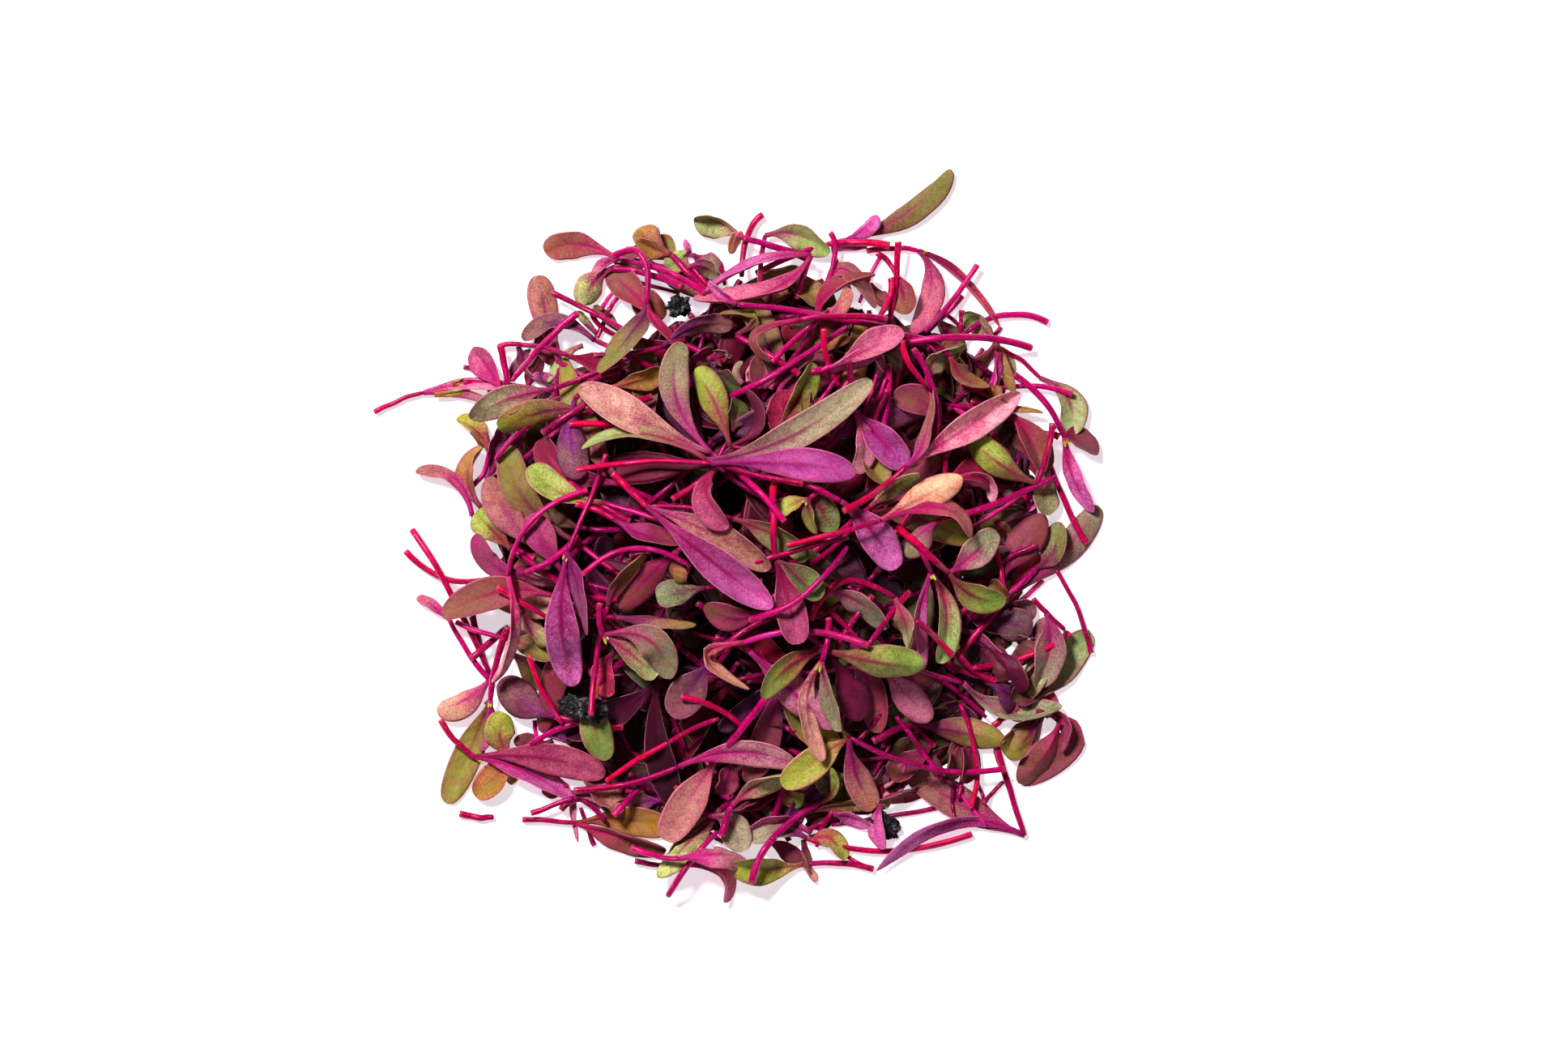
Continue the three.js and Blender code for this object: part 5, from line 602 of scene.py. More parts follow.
UNDER_LEAVES = (
    ("olive", 0.55, 0, 29, -34, 25, -30.6, 21, -28.4, 4.2),
    ("bronze", 0.8, 0, 30.4, -26, 29.6, -29.4, 28.2, -32.8, 3.6),
    ("plum", 0.9, 0, 31.6, -27, 31.1, -30.6, 30.4, -33.8, 3),
    ("sage", 0.9, 0, 31, -6.5, 29.9, -9.5, 29, -12.6, 2.6),
    ("sage", 0.9, 0, 29, -13.3, 29.5, -14.4, 29.8, -15.5, 1.2),
    ("violet", 0.6, 1.5, 29.6, -12.3, 33.6, -14.6, 37, -17.5, 1.9),
    ("gold", 0.7, 0, 31.4, -22.5, 28.8, -23.2, 26.2, -23.5, 1.8),
    ("gold", 0.5, 0, 38.6, -20, 36.6, -21, 34.6, -21.7, 2.2),
    ("grey", 0.85, 0.6, 39.4, -23.6, 41.4, -17, 41.3, -11.1, 4.4),
    ("grey", 0.6, 0, 32.6, -11.2, 36.6, -10.8, 40.2, -9.2, 3.8),
    ("plum", 0.5, 0, 29.6, -9, 34, -11.8, 39.6, -12.4, 3.2),
    ("violet", 0.8, 0, 36.6, -12.5, 38.6, -13, 40.4, -13.7, 1.6),
    ("purple", 0.8, 0, 34.3, -3.4, 33.8, -6, 33.6, -8.4, 1.4),
    ("gold", 0.6, 3, 36.3, -9.2, 35.4, -7.8, 34, -6.6, 2.6),
    ("sage", 0.8, 0, 37.6, -9.6, 37.1, -7.8, 36.7, -6, 1.6),
    ("bronze", 0.7, 0, 35.8, -18.6, 38, -16.4, 39.8, -14.2, 2.6),
    ("crimson", 0.8, 0, 36, -8, 38.8, -5.2, 41.4, -2.6, 3),
    ("lime", 0.6, 0, 35.8, -14.6, 36.6, -14, 37.6, -13.6, 1.2),
    ("plum", 0.5, 0, 30.8, -13.8, 34.2, -16.4, 36, -20, 3.4),
    ("purple", 0.4, 0, 25, -20.6, 28.6, -23.2, 32.4, -25.6, 3.6),
    ("sage", 0.85, 0, 34.6, 26.8, 32.9, 28.9, 30.5, 30.4, 2.6),
    ("sage", 1, 2, 25.4, 21.4, 27.2, 24.4, 30.9, 26.3, 1.8),
    ("bronze", 0.9, 1, 31.2, 21.2, 30.4, 23.2, 29.4, 25.2, 3),
    ("bronze", 0.8, 0, 34.9, 26.5, 33.6, 24, 32.3, 21.6, 1.8),
    ("gold", 0.9, 1.5, 35, 27, 35.9, 23.4, 37.4, 19.7, 1.4),
    ("sage", 0.9, 0, 36, 25.6, 36.9, 23.6, 36.6, 21.8, 1.2),
    ("violet", 0.9, 2, 35.2, 25.2, 35.1, 22.4, 34.7, 19.8, 0.9),
    ("lime", 0.8, 0, 35, 21.2, 34.8, 19.4, 36, 17.8, 2.2),
    ("olive", 0.7, 0, 31.8, 17.5, 28.6, 19.8, 25.6, 22.2, 2.6),
    ("green", 0.6, 0, 31.4, 16.2, 28.6, 16.9, 26.8, 18.8, 3),
    ("gold", 0.9, 2, 34.2, 17.5, 38, 17.5, 41.4, 16.9, 0.9),
    ("plum", 0.45, 0, 25.6, 24.4, 28.2, 21.8, 31.8, 20.2, 3.4),
    ("plum", 0.9, 0, -0.4, -38, 2.2, -36, 6.4, -34, 3.2),
    ("purple", 0.5, 0, 6, -38.6, 8.6, -36.4, 11.8, -33.8, 3.4),
    ("green", 0.45, 0, 16.6, -36.8, 13.4, -34.6, 10.6, -32.2, 4.4),
    ("lime", 0.8, 1, 9.6, -37.6, 14.6, -36.9, 20.5, -36.6, 1.4),
    ("sage", 0.5, 0, 2.4, -36.8, 4.6, -38.5, 6.2, -39.9, 0.9),
    ("violet", 0.9, 0.8, 12.6, -38, 15, -38.6, 17.6, -39.8, 1.6),
    ("violet", 1, 1.6, 19.2, -36.6, 18.6, -39.6, 19.7, -42.8, 2.1),
    ("plum", 0.7, 0, 3.8, -41.8, 6.2, -43, 8.8, -44.8, 2.2),
    ("olive", 0.8, 0, 8.6, -41.6, 9, -44, 9.9, -47, 1.2),
    ("pink", 0.8, 0, 22.6, -30.8, 21.4, -32.6, 19.7, -34.5, 1.6),
    ("grey", 0.9, 0, 20.8, -30.8, 19.2, -32.9, 17.8, -34.2, 1.6),
    ("rose", 1, 0, 23, -30.6, 22.2, -34, 18.6, -36.4, 0.9),
    ("plum", 0.9, 0, 26.8, -34.9, 23, -35.2, 19.2, -36.1, 2.2),
    ("violet", 0.9, 0, -22.2, -34.8, -20.6, -36, -19.2, -37.2, 1.9),
    ("rose", 0.9, 0, -22.9, -34.8, -23, -38, -22.4, -41.9, 0.9),
    ("olive", 1, 0, -16.8, -40.5, -18.4, -41.2, -19.9, -41.4, 1.2),
    ("grey", 1.1, 0.5, -10.8, -36.2, -14, -36.6, -17.4, -38.2, 3),
    ("violet", 1, 0, -15.8, -34.8, -13.4, -36, -10.4, -37.4, 1.6),
    ("purple", 0.6, 0, -14.2, -33, -11.6, -34.2, -8.4, -36, 2.8),
    ("plum", 0.7, 0, -35, -22.6, -34.1, -25.4, -35.7, -29.4, 0.9),
    ("purple", 0.7, 0, -27.8, -25.2, -26, -26.8, -23, -28.2, 2.8),
    ("plum", 0.6, 0, -25.8, -28, -28.6, -28.6, -31, -27.6, 2),
    ("lime", 1, 0, -29.4, -30.8, -30.6, -32.4, -31.7, -34, 1.7),
    ("tan", 0.9, 0, -23.8, -34, -25.4, -34.8, -27.2, -34.5, 1.8),
    ("bud", 1, 0.8, -42, 19.4, -39.2, 19.7, -37.1, 20.2, 0.7),
    ("bud", 1, 0.8, -39.6, 20.9, -38.5, 21.2, -37.5, 21.6, 0.5),
    ("grey", 0.8, 0, -31.5, 21.2, -31, 23.6, -28.8, 25.7, 1.1),
    ("plum", 0.7, 0, -29.2, 20.2, -28.5, 23, -26.4, 26.2, 2.4),
    ("violet", 0.6, 0, -23.8, 21.8, -25.6, 24, -27.6, 26, 2.4),
    ("violet", 0.8, 1, -21.4, 20.7, -25, 20.9, -28.8, 21.9, 2),
    ("sage", 1, 1.5, -21.6, 26.1, -24.6, 24.3, -26.4, 21.1, 1.4),
    ("gold", 0.8, 0, -34.2, 11.8, -35.6, 13.2, -37, 14.6, 1.9),
    ("violet", 0.8, 0.5, -34.2, 8.4, -33.7, 11.8, -33, 15, 2.8),
    ("violet", 0.8, 0, -32.2, 11, -33.8, 9.2, -35, 7.4, 2),
    ("pink", 0.9, 1.5, -22.2, 19.2, -24.4, 18.7, -27.2, 18.2, 1),
    ("violet", 1, 0, -6.9, 38.2, -7.2, 39.4, -7.8, 40.7, 0.9),
    ("tan", 0.9, 0.5, -12.8, 37.7, -8.4, 35.3, -3.8, 33.4, 3.8),
    ("olive", 1, 0, -15.8, 39.4, -12.2, 39.4, -9, 39.7, 3.4),
    ("bronze", 0.9, 0, -18.2, 37.9, -15.8, 38.7, -13.8, 38.9, 1.7),
    ("gold", 0.9, 0, -17.4, 37.3, -15.2, 36.9, -13.4, 37, 1.5),
    ("olive", 0.8, 0, -16.6, 28.2, -18.4, 29.8, -20.2, 31.6, 1.7),
    ("sage", 0.8, 0, -19.8, 27.8, -21.4, 29.4, -22.6, 30.8, 1),
    ("olive", 0.8, 0, -1.6, 33.9, 3.4, 34.6, 8.2, 36.7, 2.2),
    ("olive", 0.8, 0, 12, 31.4, 9, 33.4, 5.8, 35.1, 3),
    ("plum", 0.7, 0, 11.8, 32.8, 10.7, 34, 10, 34.9, 1.7),
    ("bronze", 0.8, 0, 20.8, 30.8, 18.6, 32.8, 16.7, 34.4, 2.8),
    ("violet", 0.9, 0, 17.2, 39.8, 15, 39.5, 13.1, 39.4, 0.9),
    ("tan", 0.7, 0, 5.2, 33, 3.4, 32.2, 1.2, 31.1, 1.7),
    ("green", 0.5, 0, 3.8, 28.3, 7, 28.6, 10.2, 29.8, 1.9),
    ("gold", 0.8, 0, 4.4, 34, 5.2, 31.6, 5.9, 29.2, 0.9),
    ("bronze", 0.7, 0, 41, 7.4, 39, 12, 36.2, 15.2, 2.6),
    ("violet", 0.9, 1, 40.7, 7.3, 40.5, 5.2, 39.3, 3.5, 1.1),
    ("olive", 0.7, 0, 32.6, 3.3, 36, 3.9, 39.8, 3.4, 1.4),
    ("sage", 0.6, 0, 35.2, 7.6, 36.2, 6, 37.1, 4.7, 1.4),
    ("olive", 0.6, 0, 40.4, 3.4, 36.6, 2.2, 32, 0.9, 3.4),
    ("green", 0.7, 0, 34.6, 2.4, 36.2, 0.8, 37.1, -0.7, 2.1),
    ("violet", 0.7, 2, 28.4, 12.4, 25.8, 10.4, 24.8, 7, 0.9),
    ("gold", 0.8, 0, 28.7, 12, 29.4, 11, 30.1, 10.1, 0.9),
    ("plum", 0.5, 0, 44.6, -13, 41.6, -18.4, 37.2, -22.4, 3.6),
    ("plum", 0.6, 0, 26.4, -28.4, 23.4, -31, 20.4, -33, 3.2),
    ("purple", 0.5, 0, 33.6, -20, 36.8, -22, 38.4, -25.4, 3.4),
    ("sage", 1, 0.3, -7, 39.4, -8.6, 37.8, -9.3, 36, 2.4),
    ("mist", 1, 0.2, -6.6, 38.6, -4.8, 37.2, -3, 35.6, 3),
    ("wine", 0.95, 0.2, -9.2, 35.6, -6.5, 35, -3.4, 33.4, 4),
    ("gold", 0.6, 0, 0.5, 31.2, 4, 33, 8, 36, 3.6),
    ("mist", 0.8, 0.4, -4.8, 29.4, -1.2, 30.8, 1.6, 28.4, 2.4),
    ("bronze", 0.9, 0.2, -16.5, 34.6, -13.4, 32.4, -10.8, 29.6, 4),
    ("plum", 0.9, 0.2, -27.2, 30, -26.6, 27, -25.5, 23.5, 3.4),
    ("grey", 0.8, 0.2, -30.5, 26, -29.6, 23.6, -28, 21.4, 2.6),
    ("lime", 0.95, 1, 4.6, -34.4, 6.6, -35.6, 8.6, -36.2, 2.4),
    ("olive", 0.9, 0.3, 41, -25.2, 38.5, -27.8, 36, -29.8, 4.2),
    ("bronze", 0.95, 0, 43.6, -25.6, 41.6, -29.6, 38, -33.8, 3.8),
    ("wine", 1, 0.5, 40.4, -24, 44.4, -25.4, 44, -29.6, 1.8),
    ("crimson", 1, 0.2, 39.8, -19.8, 41.6, -21.2, 43.4, -23.4, 1.8),
    ("grey", 0.7, 0.2, 32.4, -10, 36.5, -11.8, 40, -12.6, 4.8),
    ("mist", 0.95, 0.6, 41.8, -10.6, 42.4, -15, 40.6, -20.6, 4.4),
    ("wine", 0.9, 0.4, -36.8, -9.8, -36, -14.8, -34.4, -19, 1),
    ("olive", 0.7, 0, -31.4, -12.6, -28, -14.6, -25, -16.6, 3),
    ("olive", 0.5, 0, -31.6, -16, -29, -18, -27, -20.8, 3),
    ("plum", 0.7, 0, 14.4, 25.4, 11.4, 29.4, 9.2, 33.4, 3.4),
    ("olive", 0.6, 0, 26.8, 30, 28.6, 27.6, 31, 25.4, 2.8),
    ("plum", 0.8, 8.5, 3.2, 18.7, 3.1, 21.5, 3.3, 25.4, 4.2),
    ("moss", 0.8, 6.8, -3.6, 22.6, -2, 21.4, -0.2, 19.8, 2.8),
    ("moss", 0.75, 8.6, -1.2, 14.2, -0.6, 16.4, -0.2, 18.6, 2.6),
    ("mist", 0.95, 7.6, 0.3, 20.8, -0.5, 22.2, 0.3, 23.8, 0.9),
    ("pink", 0.95, 7.6, 1, 21, 1.1, 22, 1.2, 23.2, 0.8),
    ("wine", 0.9, 6.5, -7.2, 22.4, -5.9, 24.3, -4, 25.7, 2),
    ("mist", 0.85, 6, -4.4, 24.2, -2.7, 24.5, -1.1, 24.2, 2.3),
    ("bronze", 0.8, 6, -8.4, 23.6, -6.5, 23.4, -4.6, 23.8, 1.8),
    ("tan", 0.95, 9, 5, 18.8, 6.8, 22.6, 10, 25, 1.3),
    ("gold", 0.6, 6.4, 5.4, 25.2, 10, 26.6, 15, 27, 2.2),
    ("wine", 0.8, 8.4, 9.2, 17.4, 9.2, 18.4, 9.3, 19.5, 1.5),
    ("moss", 0.7, 5, 6.6, 28.8, 8.4, 28.6, 10.2, 27.4, 2.8),
    ("olive", 0.85, 1.6, 5.8, 34.6, 8.2, 33.9, 11.3, 31.5, 3),
    ("violet", 0.85, 1.6, 9.6, -40.6, 5.4, -39.2, 1, -40.7, 2.6),
    ("moss", 0.75, 4, 10.4, -31.4, 12, -33.2, 13.5, -34.8, 3.6),
    ("wine", 0.9, 2, 3.9, -34.6, 1.2, -36, -1.4, -37.6, 2.6),
    ("wine", 0.9, 4, -1.3, -30.8, -2, -33, -2.7, -35.2, 2.6),
    ("tan", 0.9, 0.5, -22.8, -29.6, -20.4, -33.4, -18.4, -37.8, 3.2),
    ("shade", 0.8, 0.3, 34.2, -15.2, 36.6, -18, 38.6, -21.4, 3),
)
WEAVE_RISE = 2.5  # how much higher they lie in the middle of the heap than at its rim
WEAVE_START = 0.3  # how high they lie at the rim
WEAVE_CLIMB = 0.8  # how far one may climb from one of its places to the next
WEAVE_CLEAR = 0.14  # half the room that one needs between what lies there
GAP_SWAY = 0.15 * MM
GAP_KEYS = 500  # where their keys for the noise start
GAP_STEM_SIZE = 0.8  # thickness of their stems, as a share of the others'
GAP_STEM_HALF = 0.4

# Inside the heap: its rounded middle and the squares in which room is reckoned, mm
BULGE_HEIGHT = 14
BULGE_RADIUS = 46
GAP_RISE = 4
ROOM_CELL = 0.7
SKY = 99  # higher than anything in the heap
STRAND_STEPS = 30

# Inner sprouts, laid under all traced rows but the first few. Each layer: name, count, how light its sprouts
# are painted (a painted shade, the deeper the layer the darker), the ring in which they fork, how many places
# of 12 may be tight, and the share of the heap's height at which they lie, or 0 where they are laid by the
# room under the others
HIDDEN_ROWS = 14
INNER_MIDDLE = (3, -1.5)
INNER_TRIES = 60
INNER_LAYERS = (
    ("upper", 90, 0.42, (0, 34), 0, 0),
    ("rim", 70, 0.45, (26, 44), 4, 0),
    ("core_80", 50, 0.22, (0, 28), 0, 0.75),
    ("core_60", 50, 0.13, (0, 30), 0, 0.55),
    ("core_30", 60, 0.08, (0, 34), 0, 0.3),
)
INNER_TONES = ("deep", "dusk", "plum", "deep", "olive", "dusk", "purple", "deep", "sage")
INNER_STEM = (9, 18)  # least and most length of a stem, mm
INNER_LEAF = (10, 15)  # least and most length of a leaf
INNER_WIDTH = (3.2, 4.8)  # least and most width of a leaf
INNER_SWAY = 4
TIGHT = 0.3  # a place with less height than this is tight
STRAND_LOW = 0.55  # how low an inner sprout may lie
STRAND_BELOW = 0.65  # how far it keeps under what lies over it

# Bed of leaves: how far the heap hides the table, each so many degrees round, mm
BED_STEP = 15
BED_ENDS = (43, 43, 44, 41, 38, 37, 36.5, 32.5, 32, 35, 38, 37.5,
            35.5, 36, 35, 38.5, 43, 43, 44, 44, 44, 44, 43, 41.5)
BED_REACH = 80  # squares each way
BED_MARGIN = 1.5
BED_SQUASH = 0.25
# How light the bed's leaves are painted: a deep painted shade, for leaves that lie under the whole heap
BED_LIGHT = 0.16
BED_SIZES = (1, 1, 1, 0.9, 0.9, 0.8, 0.8, 0.7, 0.7, 0.6, 0.6, 0.5, 0.5, 0.4, 0.4)  # tried in turn
BED_LEAF = 6.5  # from a leaf's middle to its foot
BED_WIDTH = (4.2, 5)
BED_HEIGHT = (0.3, 1.2)

# Stage, metres
FLOOR_HALF = 2.5
VIEW_WIDTH = 0.2151
VIEW_MIDDLE = (0.0064, 0.00165)
CAMERA_AWAY = 1.25
SENSOR = 36  # width of the camera's sensor, mm
NEAREST = 0.01
KEY_PLACE = (-0.35, 0.45, 0.8)
KEY_SIZE = 0.24
FILL_PLACE = (0.6, -0.5, 0.9)
FILL_SIZE = 0.7


def size(name, description, value):
    """A size in millimetres that a user may change."""
    return bpy.props.FloatProperty(name=name, description=description, default=value * MM, unit="LENGTH")


def tint(name, description, *value):
    """A colour, as linear light, that a user may change."""
    return bpy.props.FloatVectorProperty(name=name, description=description, default=(*value, 1), size=4,
                                         min=0, max=1, subtype="COLOR")


def power(name, description, value):
    """The power of a light, in watts, that a user may change."""
    return bpy.props.FloatProperty(name=name, description=description, default=value, unit="POWER")


class HeapSettings(bpy.types.PropertyGroup):
    """Sizes that the sprouts share."""

    stem_radius: size("Stem radius", "Half the thickness of a stem at its foot", 0.5)
    neck_radius: size("Neck radius", "Half the thickness of a leaf's stalk", 0.38)
    blade_thickness: size("Blade thickness", "Thickness of a leaf at its midrib", 0.42)
    edge_thickness: size("Edge thickness", "Thickness of a leaf at its rim", 0.12)
    leaf_width: size("Leaf width", "Width of a grown leaf laid flat", 4.2)
    groove: size("Midrib groove", "Depth of the groove over the midrib", 0.14)
    cup: bpy.props.FloatProperty(
        name="Cup", description="How far a leaf's sides bend up, as a share of its half width", default=0.22)
    seed: bpy.props.IntProperty(name="Seed", description="Start of the repeatable draws", default=7)


class FinishSettings(bpy.types.PropertyGroup):
    """Colours that every leaf, stem or hull shares, over the sprouts' own tones."""

    # The leaf rim's pale line is a painted highlight along the edge
    rim: tint("Leaf rim", "Thin pale line round a leaf", 0.7, 0.22, 0.27)
    streak: tint("Stem streaks", "Bright lines along a stem", 0.78, 0.002, 0.25)
    furrow: tint("Stem furrows", "Dark lines along a stem", 0.1, 0.0, 0.03)
    patch: tint("Stem patches", "Dark patches on a stem", 0.2, 0.0, 0.045)
    # The stem specks are painted glints
    speck: tint("Stem specks", "Light specks on a stem", 0.9, 0.08, 0.42)
    cut: tint("Cut foot", "Cut end of a stem", 0.55, 0.07, 0.09)
    hull: tint("Hull", "Seed hull in its folds", 0.003, 0.003, 0.004)
    hull_ridge: tint("Hull ridges", "Seed hull on its ridges", 0.02, 0.018, 0.02)
    scrap: tint("Hull scraps", "Scraps of dry skin on a hull", 0.16, 0.15, 0.15)


class StageSettings(bpy.types.PropertyGroup):
    """Floor and light."""

    floor: tint("Floor", "The floor's darker places", 0.9, 0.865, 0.915)
    floor_light: tint("Floor, light", "The floor's lighter places", 0.92, 0.885, 0.93)
    glow: tint("Floor glow", "Light that the floor gives off", 0.97, 0.93, 1)
    glow_strength: bpy.props.FloatProperty(
        name="Glow strength", description="How much light the floor gives off", default=0.6)
    ambient: tint("Ambient", "Light from all around", 1, 0.76, 0.88)
    ambient_strength: bpy.props.FloatProperty(
        name="Ambient strength", description="How much light comes from all around", default=0.085)
    key_power: power("Key light", "Power of the main light", 15.4)
    fill_power: power("Fill light", "Power of the light that softens shadows", 1.2)


def settings():
    return bpy.context.scene.microgreens


def finishes():
    return bpy.context.scene.microgreens_finishes


def fresh_draws(step):
    """The repeatable draws of one step, with the noise that sways the stems the same in every step."""
    noise.seed_set(settings().seed)
    return random.Random(settings().seed + step)


def smooth(low, high, value):
    """0 below low, 1 above high, and a smooth rise between them."""
    share = min(max((value - low) / (high - low), 0), 1)
    return share * share * (3 - 2 * share)


def rgb(tone, light=1.0):
    """A screen colour as linear light, with its weaker parts held back, times light: a painted shade below 1
    and painted light above it.
    """
    linear = [c / 255 / 12.92 if c <= 10 else ((c / 255 + 0.055) / 1.055) ** 2.4 for c in tone]
    peak = max(linear)
    return [light * c * (c / peak) ** DEPTH for c in linear]


def shifted(tone, draws, reach):
    """A tone a little lighter or darker and warmer or cooler."""
    light = 1 + draws.uniform(-TONE_LIGHT, TONE_LIGHT)
    return tuple(min(max(c * light + draws.uniform(-reach, reach), 0), 255) for c in tone)


def stem_colours(name, light, draws):
    return [[c * light ** STEM_DIM for c in shifted(tone, draws, STEM_REACH)] for tone in STEM_TONES[name]]


def leaf_colours(name, draws):
    return [shifted(tone, draws, LEAF_REACH) for tone in LEAF_TONES[name]]


def through(plan, share):
    """A plan point on the curve through three plan points."""
    (ax, ay), (bx, by), (cx, cy) = plan
    first = (1 - share) * (1 - 2 * share)
    middle = 4 * share * (1 - share)
    last = share * (2 * share - 1)
    return ax * first + bx * middle + cx * last, ay * first + by * middle + cy * last


def spread(plan, count):
    """Evenly spaced points on the curve through three plan points."""
    return [through(plan, i / (count - 1)) for i in range(count)]


def height_line(places, heights):
    """A smooth line through heights at places that never overshoots them."""
    steps = [b - a for a, b in zip(places, places[1:])]
    slopes = [(b - a) / s for a, b, s in zip(heights, heights[1:], steps)]
    tangents = [slopes[0]]
    for a, b in zip(slopes, slopes[1:]):
        tangents.append(0 if a * b <= 0 else 2 * a * b / (a + b))
    tangents.append(slopes[-1])

    def line(share):
        i = 0
        while i + 2 < len(places) and share > places[i + 1]:
            i += 1
        t = (share - places[i]) / steps[i]
        rest = 1 - t
        return (heights[i] * (1 + 2 * t) * rest * rest + tangents[i] * steps[i] * t * rest * rest
                + heights[i + 1] * t * t * (3 - 2 * t) - tangents[i + 1] * steps[i] * t * t * rest)
    return line


def mean(values):
    return sum(values) / len(values)


def eased(values, pick):
    """Each value picked from itself and its neighbours."""
    return [pick(values[max(i - 1, 0):i + 2]) for i in range(len(values))]


class Path:
    """A curve in space over a plan curve, with the directions along it, across it and up from it."""

    ASIDE = 0.02  # how far to each side of a place its direction is measured
    BEND_ASIDE = 0.05

    def __init__(self, plan, places, heights, wander=0.0, key=0):
        self.plan = [(x * MM, y * MM) for x, y in plan]
        self.line = height_line(places, [h * MM for h in heights])
        self.wander = wander
        self.key = key
        points = [self.point(i / 12) for i in range(13)]
        self.length = sum((b - a).length for a, b in zip(points, points[1:]))

    @classmethod
    def even(cls, plan, heights):
        """A path with evenly spaced heights."""
        return cls(plan, [i / (len(heights) - 1) for i in range(len(heights))], heights)

    def point(self, share):
        x, y = through(self.plan, share)
        spot = Vector((x, y, self.line(share)))
        if self.wander:
            sway = noise.noise_vector(Vector((share * SWAY_PITCH, self.key * SWAY_STEP, 0.5)))
            spot += sway * self.wander * math.sin(math.pi * share)
        return spot

    def directions(self, share):
        ahead = self.point(min(share + self.ASIDE, 1)) - self.point(max(share - self.ASIDE, 0))
        ahead.normalize()
        side = Vector((-ahead.y, ahead.x, 0)).normalized()
        return ahead, side, ahead.cross(side)

    def tightest(self, share):
        """Radius of the plan curve's bend, metres, and 1 where it is straight."""
        places = [min(max(share + aside, 0), 1) for aside in (-self.BEND_ASIDE, 0, self.BEND_ASIDE)]
        a, b, c = (Vector(through(self.plan, place)) for place in places)
        if min((b - a).length, (c - b).length) < 1e-7:
            return 1.0
        turn = abs((b - a).angle_signed(c - b, 0.0))
        return (b - a).length / max(turn, 1e-4)


class Skin:
    """Corners, faces and colours of one piece as it grows."""

    def __init__(self):
        self.points, self.faces, self.slots, self.corner_uv = [], [], [], []
        self.tip, self.foot, self.bloom, self.vary = [], [], [], []

    def rings(self, rings, marks, slot, colours, vary):
        """Closed rings of corners, joined and capped, with a mark (across, along) at each corner."""
        start = len(self.points)
        count = len(rings[0])
        for ring in rings:
            self.points += ring
        for values, value in zip((self.tip, self.foot, self.bloom, self.vary), (*colours, vary)):
            values += [value] * (len(rings) * count)
        flat = [mark for ring in marks for mark in ring]
        faces = []
        for i in range(len(rings) - 1):
            for k in range(count):
                a, b = i * count + k, i * count + (k + 1) % count
                faces.append((a, b, b + count, a + count))
        end = (len(rings) - 1) * count
        faces.append([*reversed(range(count))])
        faces.append([end + k for k in range(count)])
        for corners in faces:
            self.faces.append([start + c for c in corners])
            self.slots.append(slot)
            self.corner_uv += [flat[c] for c in corners]

    def build(self, name):
        """The piece as an object, with its colours as attributes and its marks as a map."""
        mesh = bpy.data.meshes.new(name)
        mesh.from_pydata([(x, y, max(z, TABLE_GAP)) for x, y, z in self.points], [], self.faces)
        for label in ("leaf", "stem"):
            mesh.materials.append(material_set()[label])
        mesh.polygons.foreach_set("material_index", self.slots)
        layer = mesh.uv_layers.new(name="along")
        layer.data.foreach_set("uv", [v for uv in self.corner_uv for v in uv])
        for label, values in (("tip", self.tip), ("foot", self.foot), ("bloom", self.bloom)):
            data = mesh.attributes.new(label, "FLOAT_COLOR", "POINT").data
            data.foreach_set("color", [v for value in values for v in (*value, 1.0)])
        mesh.attributes.new("vary", "FLOAT", "POINT").data.foreach_set("value", self.vary)
        work = bmesh.new()
        work.from_mesh(mesh)
        bmesh.ops.recalc_face_normals(work, faces=work.faces)
        return add_object(name, work, mesh)


def add_object(name, work, mesh):
    """An object of a finished mesh."""
    work.to_mesh(mesh)
    work.free()
    mesh.shade_smooth()
    made = bpy.data.objects.new(name, mesh)
    bpy.context.scene.collection.objects.link(made)
    return made


def add_stem(skin, path, colours, draws, fineness=FINE_STEM, thickness=1.0):
    """A round stem, cut off square at its foot."""
    sides, rings = fineness
    shares = [0, CUT_RING, *(i / (rings - 1) for i in range(1, rings))]
    loops, marks = [], []
    flat = draws.uniform(*STEM_FLAT)
    turn = draws.uniform(0, math.pi)
    thick = thickness * draws.uniform(*STEM_SPREAD)
    for share in shares:
        _, side, up = path.directions(share)
        radius = thick * settings().stem_radius * (1 - STEM_TAPER * share)
        radius *= 1 + STEM_WAVER * noise.noise(Vector((share * STEM_PITCH, path.key, 3.3)))
        if share == 0:
            radius *= CUT_EDGE
        if share > FORK_START:
            radius *= FORK_NARROW
        middle = path.point(share)
        loop, mark = [], []
        for k in range(sides):
            angle = 2 * math.pi * k / sides
            x, y = math.cos(angle), math.sin(angle) * flat
            x, y = x * math.cos(turn) - y * math.sin(turn), x * math.sin(turn) + y * math.cos(turn)
            loop.append(middle + side * (x * radius) + up * (y * radius))
            mark.append((abs(2 * k / sides - 1), share))
        loops.append(loop)
        marks.append(mark)
    foot, fork = (rgb(tone) for tone in colours)
    # A stem's vary is its length, so that its streaks keep their size
    skin.rings(loops, marks, 1, (fork, foot, fork), path.length / (20 * MM) + draws.random() * 0.01)


def half_width(share, full, neck, widest, roundness):
    """Half a leaf's width along it: a stalk, a smooth rise and a rounded tip."""
    if share < STALK_END:
        return neck
    if share < widest:
        return neck + (full / 2 - neck) * smooth(STALK_END, widest, share) ** 0.9
    return full / 2 * max(1 - ((share - widest) / (1 - widest)) ** roundness, 0) ** (1 / roundness)


